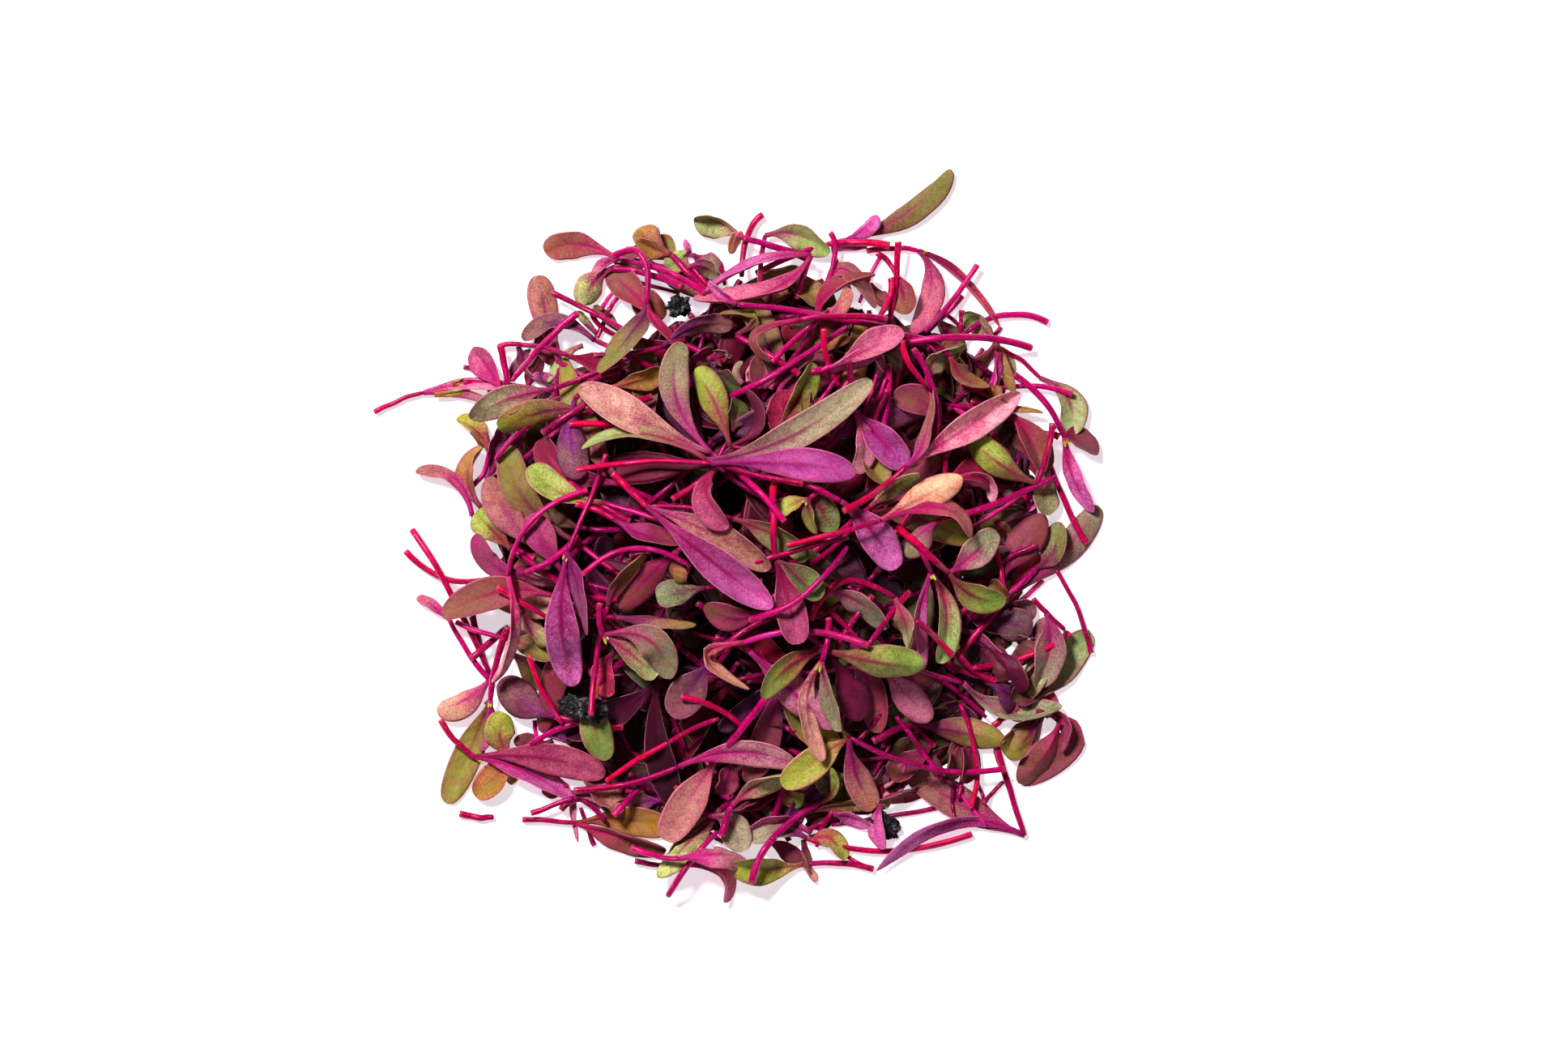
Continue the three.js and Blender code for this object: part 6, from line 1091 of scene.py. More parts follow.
def add_leaf(skin, path, width, turn, colours, draws, coarse=False, light=1.0):
    """A seed leaf: a narrow round stalk that widens into a thin, cupped blade with a grooved midrib."""
    s = settings()
    shown = width * MM
    full = max(min(max(s.leaf_width, shown), shown / LEAST_SHOWN), 2 * s.neck_radius)
    edge = turn * math.sqrt(max(1 - min(shown / full, 1) ** 2, 0))
    roundness = draws.uniform(*TIP_ROUNDNESS)
    cup = s.cup * draws.uniform(*CUP_SPREAD) * (1 if draws.random() < CUPPED_UP else -1)
    fold = cup * draws.uniform(0, MOST_FOLD)
    face = 1 if draws.random() < GROOVE_ABOVE else -1
    widest = draws.uniform(*WIDEST)
    twist = draws.uniform(-MOST_TWIST, MOST_TWIST)
    wave = draws.uniform(*WAVE)
    key = draws.uniform(0, LEAF_KEYS)
    across = ACROSS[::2] if coarse else ACROSS
    under = across[1:-1][::-1]
    loops, marks = [], []
    for share in COARSE_RINGS if coarse else LEAF_RINGS:
        ahead, side, up = path.directions(share)
        roll = math.asin(edge) * min(share / ROLL_END, 1) + twist * smooth(0.2, 1, share)
        flat_way = side * math.cos(roll) + up * math.sin(roll)
        out_way = ahead.cross(flat_way)
        half = half_width(share, full, s.neck_radius, widest, roundness)
        half = max(min(half, 0.85 * path.tightest(share)), LEAST_HALF)
        blade = smooth(0.06, 0.3, share)
        end = 1 - smooth(0.9, 1, share) * 0.6
        middle = path.point(share)
        loop, mark = [], []
        for below, places in ((1, across), (-1, under)):
            for u in places:
                stalk = s.neck_radius * math.sqrt(max(1 - u * u, 0))
                rim = abs(u) ** RIM_THINNING
                thick = (s.blade_thickness * (1 - rim) + s.edge_thickness * rim) / 2 * end
                lift = half * (cup * (u * u - 0.35) + fold * (math.sqrt(u * u + 0.01) - 0.5))
                lift += half * wave * u * noise.noise(Vector((share * LEAF_PITCH, key, u))) * 4
                rib = math.exp(-(u / RIB_HALF) ** 2) * (1 - smooth(0.55, 0.95, share))
                lift -= s.groove * rib * face * (1.0 if below * face > 0 else 1.7)
                high = stalk * (1 - blade) * below + (thick * below + lift) * blade
                loop.append(middle + flat_way * (u * half) + out_way * high)
                mark.append((u * 0.5 + 0.5, share))
        low = min(corner.z for corner in loop)
        if low < LOWEST < middle.z:
            for corner in loop:
                corner.z = middle.z + (corner.z - middle.z) * (middle.z - LOWEST) / (middle.z - low)
        loops.append(loop)
        marks.append(mark)
    skin.rings(loops, marks, 0, [rgb(tone, light) for tone in colours], draws.random())


def add_buds(skin, spot, ahead, draws):
    """The first true leaves: two tiny pointed scales between the stalks."""
    for way in (-1, 1):
        lean = Vector((ahead.x, ahead.y, 0.25))
        lean += Vector((-ahead.y, ahead.x, 0)) * way * draws.uniform(0.1, 0.4)
        lean.normalize()
        length = draws.uniform(0.9, 1.7) * MM
        side = lean.cross(Vector((0, 0, 1))).normalized()
        up = side.cross(lean)
        loops, marks = [], []
        for share, width in BUD_RINGS:
            half = settings().neck_radius * width
            middle = spot + lean * (length * share) + up * (0.25 * MM * share * share)
            angles = [2 * math.pi * k / BUD_SIDES for k in range(BUD_SIDES)]
            loops.append([middle + side * (half * math.cos(a)) + up * (half * 0.5 * math.sin(a))
                          for a in angles])
            marks.append([(abs(2 * k / BUD_SIDES - 1), share) for k in range(BUD_SIDES)])
        skin.rings(loops, marks, 0, [rgb(tone) for tone in LEAF_TONES["bud"]], draws.random())


def read_row(row, number):
    """The paths of a traced sprout: its stem, and for each leaf its tone, path, width and turn."""
    tone, plan, heights, *leaves = row
    points = moved(plan)
    stem = Path(points, STEM_PLACES, heights, 0.25 * MM, number)
    blades = []
    for places, (name, mx, my, tx, ty, width, turn, *high) in zip((LEAF_PLACES, SECOND_PLACES), leaves):
        plan = [points[2], *moved((mx, my, tx, ty))]
        blades.append((name, Path(plan, places, (heights[-1], *high)), width, turn))
    return tone, stem, blades


def moved(plan):
    """Plan points from the numbers of a row."""
    return [(x - SHIFT[0], y - SHIFT[1]) for x, y in zip(plan[::2], plan[1::2])]


def add_sprout(skin, sprout, draws, coarse=False, light=1.0):
    """A stem and its leaves."""
    tone, stem, blades = sprout
    add_stem(skin, stem, stem_colours(tone, light, draws), draws, COARSE_STEM if coarse else FINE_STEM)
    for name, path, width, turn in blades:
        add_leaf(skin, path, width, turn, leaf_colours(name, draws), draws, coarse, light)
    if len(blades) == 2 and not coarse and draws.random() < BUDDED:
        add_buds(skin, stem.point(1), stem.directions(1)[0], draws)


class Socket:
    """One output of a material's nodes, with arithmetic."""

    def __init__(self, tree, socket):
        self.tree = tree
        self.socket = socket

    def math(self, operation, *values):
        return make(self.tree, "ShaderNodeMath", values, operation=operation)

    def __add__(self, other):
        return self.math("ADD", self, other)

    def __radd__(self, other):
        return self.math("ADD", other, self)

    def __sub__(self, other):
        return self.math("SUBTRACT", self, other)

    def __rsub__(self, other):
        return self.math("SUBTRACT", other, self)

    def __mul__(self, other):
        return self.math("MULTIPLY", self, other)

    def __rmul__(self, other):
        return self.math("MULTIPLY", other, self)

    def __truediv__(self, other):
        return self.math("DIVIDE", self, other)

    def __rtruediv__(self, other):
        return self.math("DIVIDE", other, self)

    def __abs__(self):
        return self.math("ABSOLUTE", self)

    def rise(self, low, high, start=0.0, end=1.0):
        """A smooth ramp from start to end while this goes from low to high."""
        return make(self.tree, "ShaderNodeMapRange", {"Value": self, "From Min": low, "From Max": high,
                                                      "To Min": start, "To Max": end},
                    interpolation_type="SMOOTHSTEP")


def make(tree, kind, inputs=(), output=0, **options):
    """Adds a node, sets its options, fills or links its inputs, and gives back one of its outputs."""
    node = tree.nodes.new(kind)
    for option, value in options.items():
        setattr(node, option, value)
    fill(node, inputs if isinstance(inputs, dict) else dict(enumerate(inputs)))
    return Socket(tree, node.outputs[output])


def fill(node, inputs):
    """Links a node's inputs or sets them to plain values."""
    for key, value in inputs.items():
        if isinstance(value, Socket):
            value.tree.links.new(value.socket, node.inputs[key])
        else:
            node.inputs[key].default_value = value


def mix(tree, share, first, second, blend="MIX"):
    """Two colours blended."""
    return make(tree, "ShaderNodeMix", {0: share, 6: first, 7: second}, 2, data_type="RGBA", blend_type=blend)


def grain(tree, where, scale, detail=2.0, rough=0.5):
    """Noise with an even grain."""
    return make(tree, "ShaderNodeTexNoise",
                {"Vector": where, "Scale": scale, "Detail": detail, "Roughness": rough})


def dimmed(tree, colour, value):
    """A colour times a number."""
    grey = make(tree, "ShaderNodeCombineXYZ", [value, value, value])
    return mix(tree, 1.0, colour, grey, "MULTIPLY")


def bump(tree, height, strength, distance):
    """A surface turned by the slopes of a height."""
    return make(tree, "ShaderNodeBump",
                {"Height": height, "Strength": strength, "Distance": distance}, "Normal")


def attribute(tree, name, output="Color"):
    return make(tree, "ShaderNodeAttribute", output=output, attribute_name=name)


def material(name):
    """A new material, its nodes, its main shader and its piece's place in space."""
    made = bpy.data.materials.new(name)
    made.use_nodes = True
    tree = made.node_tree
    return made, tree, tree.nodes["Principled BSDF"], make(tree, "ShaderNodeTexCoord", output="Object")


def places_on(tree):
    """Across (-1 to 1) and along (0 to 1) from the piece's own map."""
    uv = make(tree, "ShaderNodeUVMap", uv_map="along")
    across = make(tree, "ShaderNodeSeparateXYZ", [uv], "X") * 2 - 1
    return across, make(tree, "ShaderNodeSeparateXYZ", [uv], "Y")


def leaf_material():
    """Soft leaf: its own tones in blotches and grains, a midrib, fine veins and a pale rim that is a painted
    highlight.
    """
    _, tree, shader, where = material("leaf")
    across, along = places_on(tree)
    tip, foot, bloom = (attribute(tree, name) for name in ("tip", "foot", "bloom"))
    vary = attribute(tree, "vary", "Fac")
    blotch = grain(tree, where, 420)
    patch = grain(tree, where, 1300)
    fine = grain(tree, where, 4400, 2, 0.6)
    speck = fine * 0.6 + grain(tree, where, 8600, 1) * 0.4
    off = abs(across)
    # The blade: the tip's tone with a bloom in soft blotches and fine grains
    colour = mix(tree, (blotch * 0.45 + speck * 0.55 + off * 0.06).rise(0.42, 0.6, 0, 0.85), tip, bloom)
    # The foot's tone climbs up the blade, furthest along the middle, and shows as grains further up
    climb = along + (blotch - 0.5) * 0.4 + (speck - 0.5) * 0.7 + off * 0.22 - vary * 0.3
    colour = mix(tree, climb.rise(0.02, 0.72, 0.95, 0), colour, foot)
    # The midrib, a streak that thins out towards the tip
    streak = (off / (0.3 - along * 0.22)).rise(0.15, 1.15, 1, 0)
    streak = streak * (along + patch * 0.2).rise(0.55, 1.05, 1, 0) * vary.rise(0.1, 0.6, 0.45, 1)
    colour = mix(tree, streak * speck.rise(0.3, 0.55, 0.6, 1), colour, foot)
    # Fine side veins, slanting from the midrib
    veins = make(tree, "ShaderNodeMath", [along * 40 - off * 6 + blotch * 4], operation="SINE")
    colour = mix(tree, veins.rise(0.5, 1, 0, 0.22) * off.rise(0.08, 0.3), colour, foot)
    # The rim: darker just inside it, then a thin pale line, a painted highlight where the edge catches the
    # light
    colour = mix(tree, off.rise(0.6, 0.9, 0, 0.35), colour, foot)
    pale = mix(tree, 0.5, bloom, finishes().rim)
    colour = mix(tree, off.rise(0.9, 0.97, 0, 0.75) * along.rise(0.15, 0.35), colour, pale)
    # Grains: dark and light
    colour = dimmed(tree, colour, speck.rise(0.36, 0.62, 0.78, 1.2))
    colour = dimmed(tree, colour, patch.rise(0.3, 0.7, 0.92, 1.06))
    fill(shader, {"Base Color": colour, "Roughness": fine.rise(0.25, 0.75, 0.62, 0.42),
                  "Normal": bump(tree, speck * 0.9 + patch * 0.7 + veins * 0.06, 0.7, 0.12 * MM),
                  "Specular IOR Level": 0.3, "Specular Tint": (1, 0.45, 0.65, 1), "Sheen Weight": 0.02})


def stem_material():
    """Moist stem: foot and fork tones with streaks, furrows and patches, and light specks that are painted
    glints.
    """
    _, tree, shader, where = material("stem")
    across, along = places_on(tree)
    blotch = grain(tree, where, 450)
    fine = grain(tree, where, 3800, 2, 0.6)
    length = attribute(tree, "vary", "Fac")
    run = along * length
    lines = grain(tree, make(tree, "ShaderNodeCombineXYZ", [across * 9, run * 12, length * 40]), 1.0)
    look = finishes()
    height = (along + (blotch - 0.5) * 0.5).rise(0.15, 0.9)
    colour = mix(tree, height, attribute(tree, "foot"), attribute(tree, "tip"))
    colour = mix(tree, lines.rise(0.5, 0.7, 0, 0.45), colour, look.streak)
    colour = mix(tree, lines.rise(0.48, 0.3, 0, 0.75), colour, look.furrow)
    colour = mix(tree, blotch.rise(0.52, 0.36, 0, 0.5), colour, look.patch)
    # Light specks: painted glints of light on the moist skin
    colour = mix(tree, fine.rise(0.58, 0.72, 0, 0.45), colour, look.speck)
    # The cut foot is paler and a little brown
    colour = mix(tree, (run + blotch * 0.02).rise(0.012, 0.04, 0.4, 0), colour, look.cut)
    fill(shader, {"Base Color": colour, "Roughness": fine.rise(0.2, 0.8, 0.36, 0.18),
                  "Normal": bump(tree, fine * 0.6 + lines * 0.7, 0.5, 0.08 * MM),
                  "Specular IOR Level": 0.5, "Specular Tint": (1, 0.16, 0.42, 1),
                  "Coat Weight": 0.05, "Coat Roughness": 0.14})


def hull_material():
    """Dry, near black and crumpled, with pale scraps of skin along the wrinkles."""
    _, tree, shader, where = material("seed hull")
    look = finishes()
    lumps = grain(tree, where, 1100, 4, 0.65)
    fine = grain(tree, where, 5200, 2, 0.6)
    colour = mix(tree, lumps.rise(0.45, 0.75), look.hull, look.hull_ridge)
    colour = mix(tree, (lumps + fine * 0.5).rise(0.78, 0.9, 0, 0.7), colour, look.scrap)
    fill(shader, {"Base Color": colour, "Roughness": fine.rise(0.3, 0.7, 0.55, 0.85),
                  "Normal": bump(tree, lumps * 1.2 + fine * 0.4, 1, 0.4 * MM), "Specular IOR Level": 0.2})


def floor_material(look):
    """Matte and pale, with a little light of its own."""
    made, tree, shader, where = material("floor")
    colour = mix(tree, grain(tree, where, 6, 1), look.floor, look.floor_light)
    fill(shader, {"Base Color": colour, "Roughness": 0.9, "Emission Color": look.glow,
                  "Emission Strength": look.glow_strength})
    return made


def material_set():
    """The heap's materials, made once."""
    if "leaf" not in bpy.data.materials:
        leaf_material()
        stem_material()
        hull_material()
    return bpy.data.materials


def finish_piece(piece, node=None):
    """Rides on the heap, and stands for its node where it has one."""
    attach(piece, "root")
    if node:
        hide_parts(node)


def check_place(piece, node):
    """The finer piece keeps to its CAD node's box."""
    corners = [piece.matrix_world @ Vector(c) for c in piece.bound_box]
    for axis, (low, high) in enumerate(zip(*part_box(node))):
        values = [c[axis] for c in corners]
        if max(abs(min(values) - low), abs(max(values) - high)) > PLACE_SLACK:
            raise RuntimeError(f"{piece.name} departs from {node} along axis {axis}")


class MICROGREENS_OT_sprouts(bpy.types.Operator):
    """Finer stems and leaves for every sprout of the CAD nodes"""

    bl_idname = "microgreens.sprouts"
    bl_label = "Sprouts"

    def execute(self, context):
        draws = fresh_draws(0)
        skins = {}
        for number, (cluster, *row) in enumerate(SPROUTS):
            skin = skins.setdefault(f"sprouts_{cluster:02d}", Skin())
            add_sprout(skin, read_row(row, number), draws)
        skins["stem_offcut"] = Skin()
        add_sprout(skins["stem_offcut"], read_row(OFFCUT, len(SPROUTS)), draws)
        for node, skin in skins.items():
            piece = skin.build("fine_" + node)
            finish_piece(piece, node)
            check_place(piece, node)
        return {"FINISHED"}


def dome(x, y):
    """1 over the middle of the heap, falling smoothly to 0 at its rim."""
    return max(1 - (x * x + y * y) / (BULGE_RADIUS * BULGE_RADIUS), 0)


def bed_squares():
    """The squares of the table that the heap hides, a little inside where it ends in each direction."""
    squares = set()
    for column in range(-BED_REACH, BED_REACH + 1):
        for row in range(-BED_REACH, BED_REACH + 1):
            x, y = (column + 0.5) * ROOM_CELL + SHIFT[0], (row + 0.5) * ROOM_CELL + SHIFT[1]
            turn = math.degrees(math.atan2(y, x)) % 360 / BED_STEP
            first = int(turn)
            near, far = (BED_ENDS[k % len(BED_ENDS)] for k in (first, first + 1))
            if math.hypot(x, y) < near + (far - near) * (turn - first) - BED_MARGIN:
                squares.add((column, row))
    return squares


class Room:
    """What lies over each square of a grid, and the space left under it and between, mm."""

    def __init__(self):
        self.low = {}
        self.spans = {}
        self.inside = set()
        self.solid = set()

    @staticmethod
    def cell(x, y):
        return math.floor(x / ROOM_CELL), math.floor(y / ROOM_CELL)

    def around(self, x, y, steps):
        """The squares round a spot, so many steps each way."""
        column, row = self.cell(x, y)
        return [(i, k) for i in range(column - steps, column + steps + 1)
                for k in range(row - steps, row + steps + 1)]

    def take(self, path, half, thick):
        """Fills the squares under a strand; a wide one, a leaf, starts as narrow as its stalk."""
        for i in range(STRAND_STEPS + 1):
            share = i / STRAND_STEPS
            spot = path.point(share) / MM
            side = path.directions(share)[1]
            wide = half * min(share * 3, 1) if half > 1 else half
            steps = max(math.ceil(wide / ROOM_CELL), 1)
            for k in range(-steps, steps + 1):
                key = self.cell(spot.x + side.x * wide * k / steps, spot.y + side.y * wide * k / steps)
                self.low[key] = min(self.low.get(key, SKY), spot.z - thick)
                self.spans.setdefault(key, []).append((spot.z - thick, spot.z + thick))

    def close(self, reach, least, most):
        """Notes the squares that have enough covered ones round them, and those that lie well inside."""
        steps = math.ceil(reach / ROOM_CELL)
        around = [(i, k) for i in range(-steps, steps + 1) for k in range(-steps, steps + 1)]
        near = {(c + i, r + k) for c, r in self.low for i, k in around[::5]}
        for c, r in near:
            share = sum((c + i, r + k) in self.low for i, k in around) / len(around)
            if share >= least:
                self.inside.add((c, r))
            if share >= most:
                self.solid.add((c, r))

    def between(self, x, y, reach, thick, near):
        """The height nearest a wanted one at which a strand fits between what lies over a spot."""
        squares = self.around(x, y, round(reach / ROOM_CELL))
        spans = [span for square in squares for span in self.spans.get(square, ())]
        heights = []
        floor = TABLE_GAP / MM
        for bottom, top in sorted(spans) + [(SKY, SKY)]:
            if bottom - floor >= 2 * thick:
                heights.append(min(max(near, floor + thick), bottom - thick))
            floor = max(floor, top)
        return min(heights, key=lambda height: abs(height - near))

    def weave(self, plan, reach, least, lift):
        """A path over a plan curve, nowhere lower than least, under or over what lies there already."""
        heights = []
        for x, y in spread(plan, 10):
            near = WEAVE_START + WEAVE_RISE * dome(x, y) ** 2 + lift
            if heights:
                near = min(near, heights[-1] + WEAVE_CLIMB)
            heights.append(self.between(x, y, reach, WEAVE_CLEAR, near))
        return Path.even(plan, [max(height, least) for height in eased(heights, mean)])

    def under(self, x, y, reach):
        """The height that a sprout may have at a spot."""
        share = dome(x, y)
        height = BULGE_HEIGHT * share * share + GAP_RISE * share + 0.9
        squares = self.around(x, y, math.ceil(reach / ROOM_CELL))
        return min(height, *(self.low.get(square, height) for square in squares))

    def thread(self, plan, reach, misses, start=None):
        """A path over a plan curve that keeps under what lies above it, or None where room is too tight."""
        spots = spread(plan, 12)
        if not all(self.cell(*spot) in self.inside for spot in spots):
            return None
        heights = [self.under(*spot, reach if i > 2 else 0.7) - STRAND_BELOW for i, spot in enumerate(spots)]
        tight = sum(height < TIGHT for height in heights)
        if tight > misses or (start is not None and heights[0] < start - 1):
            return None
        line = [max(min(pair), STRAND_LOW) for pair in zip(eased(eased(heights, min), mean), heights)]
        if start is not None:
            line = [start + (height - start) * min(i / 4, 1) for i, height in enumerate(line)]
        return Path.even(plan, line)

    def settle(self, plan, level):
        """A path over a plan curve at a share of the heap's height."""
        spots = spread(plan, 6)
        if not all(self.cell(*spot) in self.solid for spot in spots):
            return None
        return Path.even(plan, [max(BULGE_HEIGHT * level * dome(x, y) ** 2 - 0.5, 0.6) for x, y in spots])


def fill_room(room, first, stem_thick, leaf_thick):
    """Fills the room with the traced sprouts from a row on."""
    for number, (_, *row) in enumerate(SPROUTS[first:]):
        _, stem, blades = read_row(row, number + first)
        room.take(stem, 0.6, stem_thick)
        for _, path, width, _ in blades:
            room.take(path, max(width, 4) / 2, leaf_thick)


def weave_all(room):
    """The paths of the stems and leaves in the gaps, each woven under or over what was laid before."""
    fill_room(room, 0, 0.3, 0.3)
    paths = []
    for rows, least in ((UNDER_STEMS, 0.34), (UNDER_LEAVES, 0.24)):
        for number, (_, _, lift, *plan) in enumerate(rows):
            half = plan[6] / 2 if rows is UNDER_LEAVES else GAP_STEM_HALF
            path = room.weave(moved(plan[:6]), half / 2, least, lift)
            path.wander = GAP_SWAY
            path.key = GAP_KEYS + number
            room.take(path, half, 0.15)
            paths.append(path)
    return paths[:len(UNDER_STEMS)], paths[len(UNDER_STEMS):]


class MICROGREENS_OT_under(bpy.types.Operator):
    """Stems and leaves that show between the others, low in the heap"""

    bl_idname = "microgreens.under"
    bl_label = "Sprouts in the gaps"

    def execute(self, context):
        draws = fresh_draws(2)
        skin = Skin()
        stems, leaves = weave_all(Room())
        for (name, light, *_), path in zip(UNDER_STEMS, stems):
            add_stem(skin, path, stem_colours(name, light, draws), draws, thickness=GAP_STEM_SIZE)
        for (name, light, *_, width), path in zip(UNDER_LEAVES, leaves):
            colours = leaf_colours(name, draws)
            add_leaf(skin, path, width, draws.choice((-1, 1)), colours, draws, light=light)
        finish_piece(skin.build("sprouts_in_the_gaps"))
        return {"FINISHED"}


class MICROGREENS_OT_inner(bpy.types.Operator):
    """Sprouts inside the heap, laid one under another below the outer ones, darkened with painted shade"""

    bl_idname = "microgreens.inner"
    bl_label = "Inner sprouts"

    def execute(self, context):
        draws = fresh_draws(1)
        room = Room()
        fill_room(room, HIDDEN_ROWS, 0.55, 0.6)
        room.close(2.8, 0.45, 0.72)
        hidden = bed_squares()
        room.inside &= hidden
        room.solid &= hidden
        for name, count, light, reach, misses, level in INNER_LAYERS:
            skin = Skin()
            laid = 0
            for _ in range(count * INNER_TRIES):
                sprout = self.sprout(draws, room, reach, misses, level)
                if sprout and laid < count:
                    laid += 1
                    # The layer's light darkens the sprout's colours, a painted shade that deepens lower in
                    # the heap
                    add_sprout(skin, sprout, draws, True, light * draws.uniform(0.7, 1.2))
            finish_piece(skin.build("inner_sprouts_" + name))
        return {"FINISHED"}

    @staticmethod
    def sprout(draws, room, reach, misses, level):
        """A sprout laid by the room above it, or at a level where one is given; None where it has no room."""
        radius = reach[0] + (reach[1] - reach[0]) * math.sqrt(draws.random())
        angle = draws.uniform(0, 2 * math.pi)
        fork = Vector((radius * math.cos(angle), radius * math.sin(angle))) + Vector(INNER_MIDDLE)
        heading = draws.uniform(0, 2 * math.pi)
        ahead = Vector((math.cos(heading), math.sin(heading)))
        side = Vector((-ahead.y, ahead.x))
        sway = draws.uniform(-INNER_SWAY, INNER_SWAY)
        foot = fork - ahead * draws.uniform(*INNER_STEM) + side * sway
        middle = (foot + fork) / 2 + side * sway * draws.uniform(-0.6, 0.6)
        plan = [foot, middle, fork]
        stem = room.settle(plan, level) if level else room.thread(plan, 0.7, misses)
        if not stem:
            return None
        blades = []
        for way in (-1, 1):
            long = draws.uniform(*INNER_LEAF)
            out = way * long * draws.uniform(0.1, 0.8)
            bend = fork + ahead * long * 0.5 + side * out * draws.uniform(0.2, 0.5)
            plan = [fork, bend, fork + ahead * long + side * out]
            path = room.settle(plan, level) if level else room.thread(plan, 1.6, misses, stem.point(1).z / MM)
            if path:
                tone = draws.choice(INNER_TONES)
                blades.append((tone, path, draws.uniform(*INNER_WIDTH), draws.choice((-1, 1))))
        if not level:
            room.take(stem, 0.5, 0.5)
            for _, path, width, _ in blades:
                room.take(path, width / 2, 0.4)
        return draws.choice(("dark", "crimson", "magenta")), stem, blades


class MICROGREENS_OT_bed(bpy.types.Operator):
    """Leaves flat on the table that close the middle of the heap from below, darkened with painted shade"""

    bl_idname = "microgreens.bed"
    bl_label = "Bed of leaves"

    def execute(self, context):
        draws = fresh_draws(3)
        wanted = bed_squares()
        skin = Skin()
        bare = set(wanted)
        while bare:
            square = draws.choice(sorted(bare))
            middle = Vector([(place + 0.5) * ROOM_CELL for place in square])
            for share in BED_SIZES:
                path, width = self.leaf(draws, middle, share)
                if self.covered(path, width * 0.5, 1) <= wanted:
                    break
            else:
                bare.discard(square)
                continue
            colours = leaf_colours(draws.choice(INNER_TONES), draws)
            add_leaf(skin, path, width, 1, colours, draws, True, BED_LIGHT)
            bare -= self.covered(path, width * 0.32, 8) | {square}
        for corner in skin.points:
            corner.z *= BED_SQUASH
        finish_piece(skin.build("bed_of_leaves"))
        return {"FINISHED"}

    @staticmethod
    def leaf(draws, middle, share):
        """A leaf's path and width over a spot, at a share of full size."""
        heading = draws.uniform(0, 2 * math.pi)
        ahead = Vector((math.cos(heading), math.sin(heading))) * BED_LEAF * share
        side = Vector((-ahead.y, ahead.x)) * draws.uniform(-0.2, 0.2)
        heights = [draws.uniform(*BED_HEIGHT) for _ in range(3)]
        path = Path.even([middle - ahead, middle + side, middle + ahead * 0.8], heights)
        return path, draws.uniform(*BED_WIDTH) * share ** 0.5

    @staticmethod
    def covered(path, half, first):
        """The squares under a leaf from so many twentieths of its length on."""
        squares = set()
        for i in range(first, 20):
            spot = path.point(i / 20) / MM
            side = path.directions(i / 20)[1] * half
            squares |= {Room.cell(spot.x + side.x * k / 4, spot.y + side.y * k / 4) for k in range(-4, 5)}
        return squares


class MICROGREENS_OT_hulls(bpy.types.Operator):
    """Dry crumpled seed hulls"""

    bl_idname = "microgreens.hulls"
    bl_label = "Seed hulls"

    def execute(self, context):
        for number, hull in enumerate(HULLS):
            node = f"seed_hull_{number + 1:02d}"
            mesh = bpy.data.meshes.new("fine_" + node)
            mesh.materials.append(material_set()["seed hull"])
            finish_piece(add_object("fine_" + node, self.crumpled(number, *hull), mesh), node)
        return {"FINISHED"}

    @staticmethod
    def crumpled(number, plan, heights, high, width):
        """A ball folded, pinched and stretched between two ends."""
        start, end = (Vector((x * MM, y * MM, z * MM)) for (x, y), z in zip(moved(plan), heights))
        middle = (start + end) / 2
        middle.z = high * MM
        along = end - start
        work = bmesh.new()
        bmesh.ops.create_icosphere(work, subdivisions=HULL_FINENESS, radius=1)
        for vert in work.verts:
            spot = vert.co.copy()
            crumple = noise.fractal(spot * 1.3 + Vector((number * 9, 0, 0)), 0.8, 2.1, 5)
            fold = abs(noise.noise(spot * 2.1 + Vector((0, number * 5, 2))))
            pinch = abs(noise.noise(spot * 4.3 + Vector((number * 3, 4, 0))))
            vert.co = spot * (0.92 + 0.34 * crumple - 0.5 * fold - 0.22 * pinch)
        long, wide, tall = HULL_SPREAD
        stretch = Matrix.Diagonal((along.length * long, width * MM * wide, width * MM * tall, 1))
        turn = Vector((along.x, along.y, 0)).to_track_quat("X", "Z").to_matrix().to_4x4()
        bmesh.ops.transform(work, matrix=Matrix.Translation(middle) @ turn @ stretch, verts=work.verts)
        return work


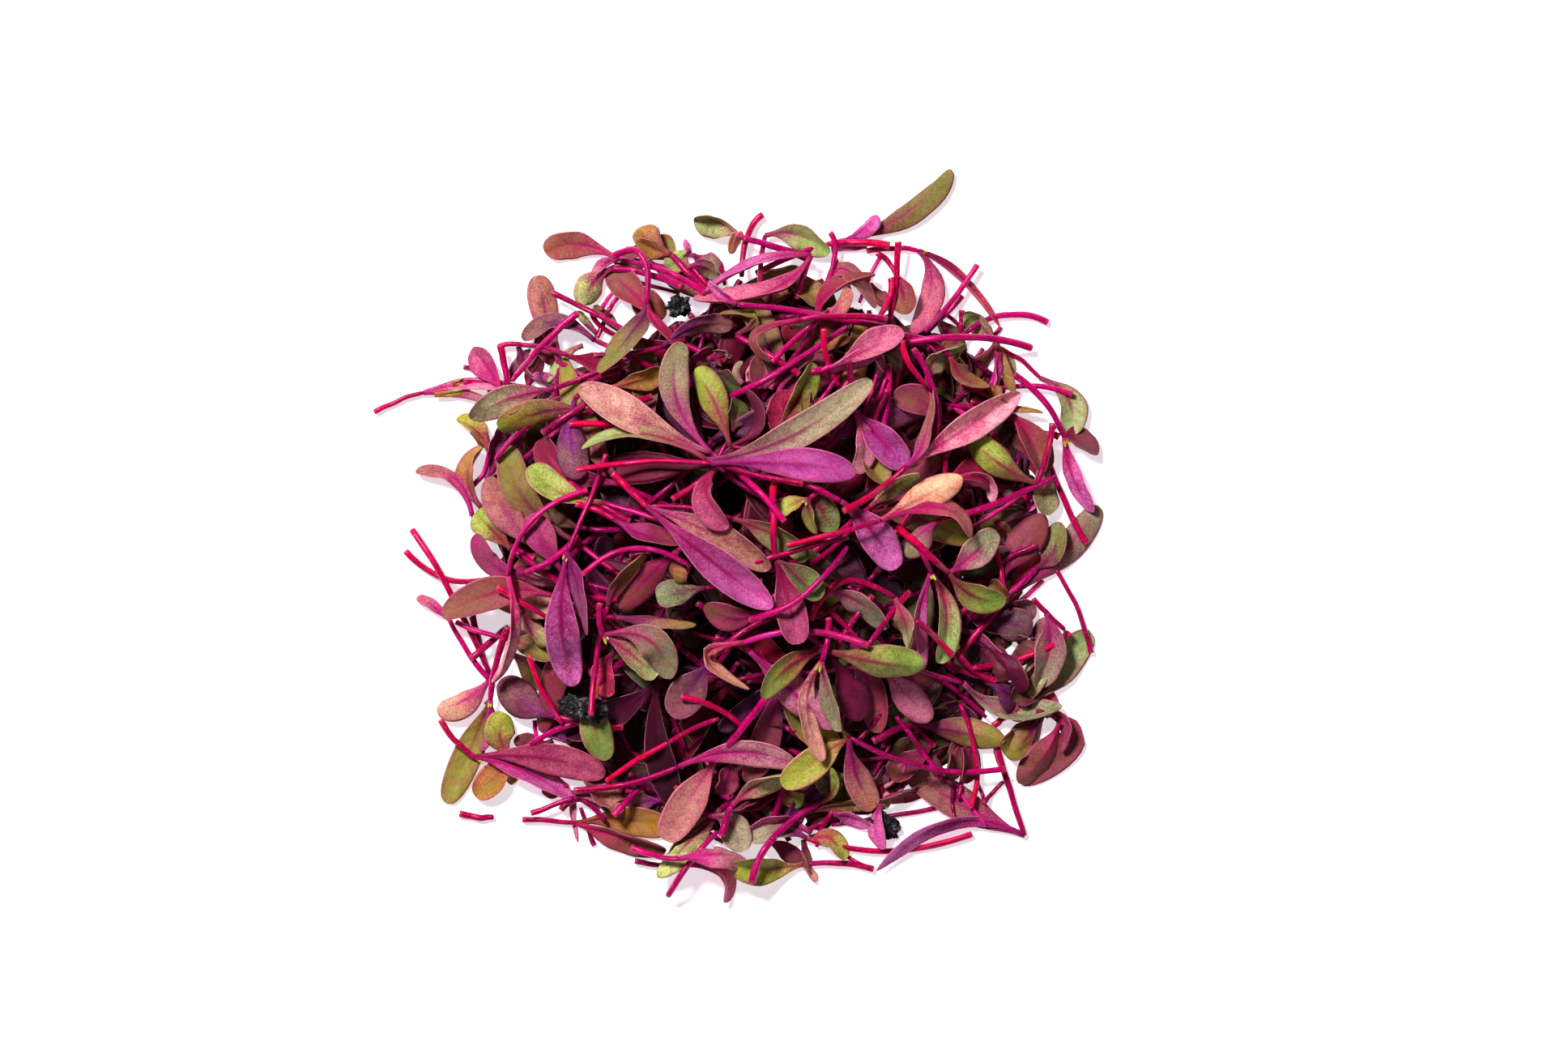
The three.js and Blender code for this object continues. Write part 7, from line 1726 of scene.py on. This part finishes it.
class MICROGREENS_OT_stage(bpy.types.Operator):
    """Pale floor, soft studio light and the camera straight above"""

    bl_idname = "microgreens.stage"
    bl_label = "Stage"

    def execute(self, context):
        scene = context.scene
        look = scene.microgreens_stage
        work = bmesh.new()
        bmesh.ops.create_grid(work, x_segments=1, y_segments=1, size=FLOOR_HALF)
        mesh = bpy.data.meshes.new("floor")
        mesh.materials.append(floor_material(look))
        things = [
            add_object("floor", work, mesh),
            self.lamp(scene, "key", KEY_PLACE, KEY_SIZE, look.key_power),
            self.lamp(scene, "fill", FILL_PLACE, FILL_SIZE, look.fill_power),
            self.camera(scene),
        ]
        world = bpy.data.worlds.new("studio")
        world.use_nodes = True
        fill(world.node_tree.nodes["Background"], {"Color": look.ambient, "Strength": look.ambient_strength})
        scene.world = world
        scene.view_settings.view_transform = "Standard"
        return {"FINISHED"}

    @staticmethod
    def lamp(scene, name, place, across, strength):
        """A round soft light that points at the heap."""
        light = bpy.data.lights.new(name, "AREA")
        light.shape = "DISK"
        light.size = across
        light.energy = strength
        made = bpy.data.objects.new(name, light)
        made.location = place
        made.rotation_euler = (-Vector(place)).to_track_quat("-Z", "Y").to_euler()
        scene.collection.objects.link(made)
        return made

    @staticmethod
    def camera(scene):
        """A camera that looks straight down."""
        lens = bpy.data.cameras.new("camera")
        lens.sensor_width = SENSOR
        lens.lens = SENSOR * CAMERA_AWAY / VIEW_WIDTH
        lens.clip_start = NEAREST
        made = bpy.data.objects.new("camera", lens)
        made.location = (*VIEW_MIDDLE, CAMERA_AWAY)
        scene.collection.objects.link(made)
        scene.camera = made
        return made


class MICROGREENS_PT_panel(bpy.types.Panel):
    """The heap's settings and steps"""

    bl_idname = "MICROGREENS_PT_panel"
    bl_label = "Microgreens"
    bl_space_type = "VIEW_3D"
    bl_region_type = "UI"
    bl_category = "Microgreens"

    def draw(self, context):
        for label, group in GROUPS.items():
            for name in group.__annotations__:
                self.layout.prop(getattr(context.scene, label), name)
        for step in STEPS:
            self.layout.operator(step.bl_idname)


GROUPS = {
    "microgreens": HeapSettings,
    "microgreens_finishes": FinishSettings,
    "microgreens_stage": StageSettings,
}
STEPS = (MICROGREENS_OT_sprouts, MICROGREENS_OT_under, MICROGREENS_OT_inner, MICROGREENS_OT_bed,
         MICROGREENS_OT_hulls, MICROGREENS_OT_stage)
CLASSES = (*GROUPS.values(), *STEPS, MICROGREENS_PT_panel)


def register():
    for item in CLASSES:
        bpy.utils.register_class(item)
    for label, group in GROUPS.items():
        setattr(bpy.types.Scene, label, bpy.props.PointerProperty(type=group))


def unregister():
    for label in GROUPS:
        delattr(bpy.types.Scene, label)
    for item in reversed(CLASSES):
        bpy.utils.unregister_class(item)


def main():
    register()
    bpy.ops.microgreens.sprouts()
    bpy.ops.microgreens.under()
    bpy.ops.microgreens.inner()
    bpy.ops.microgreens.bed()
    bpy.ops.microgreens.hulls()
    bpy.ops.microgreens.stage()


if __name__ == "__main__":
    main()
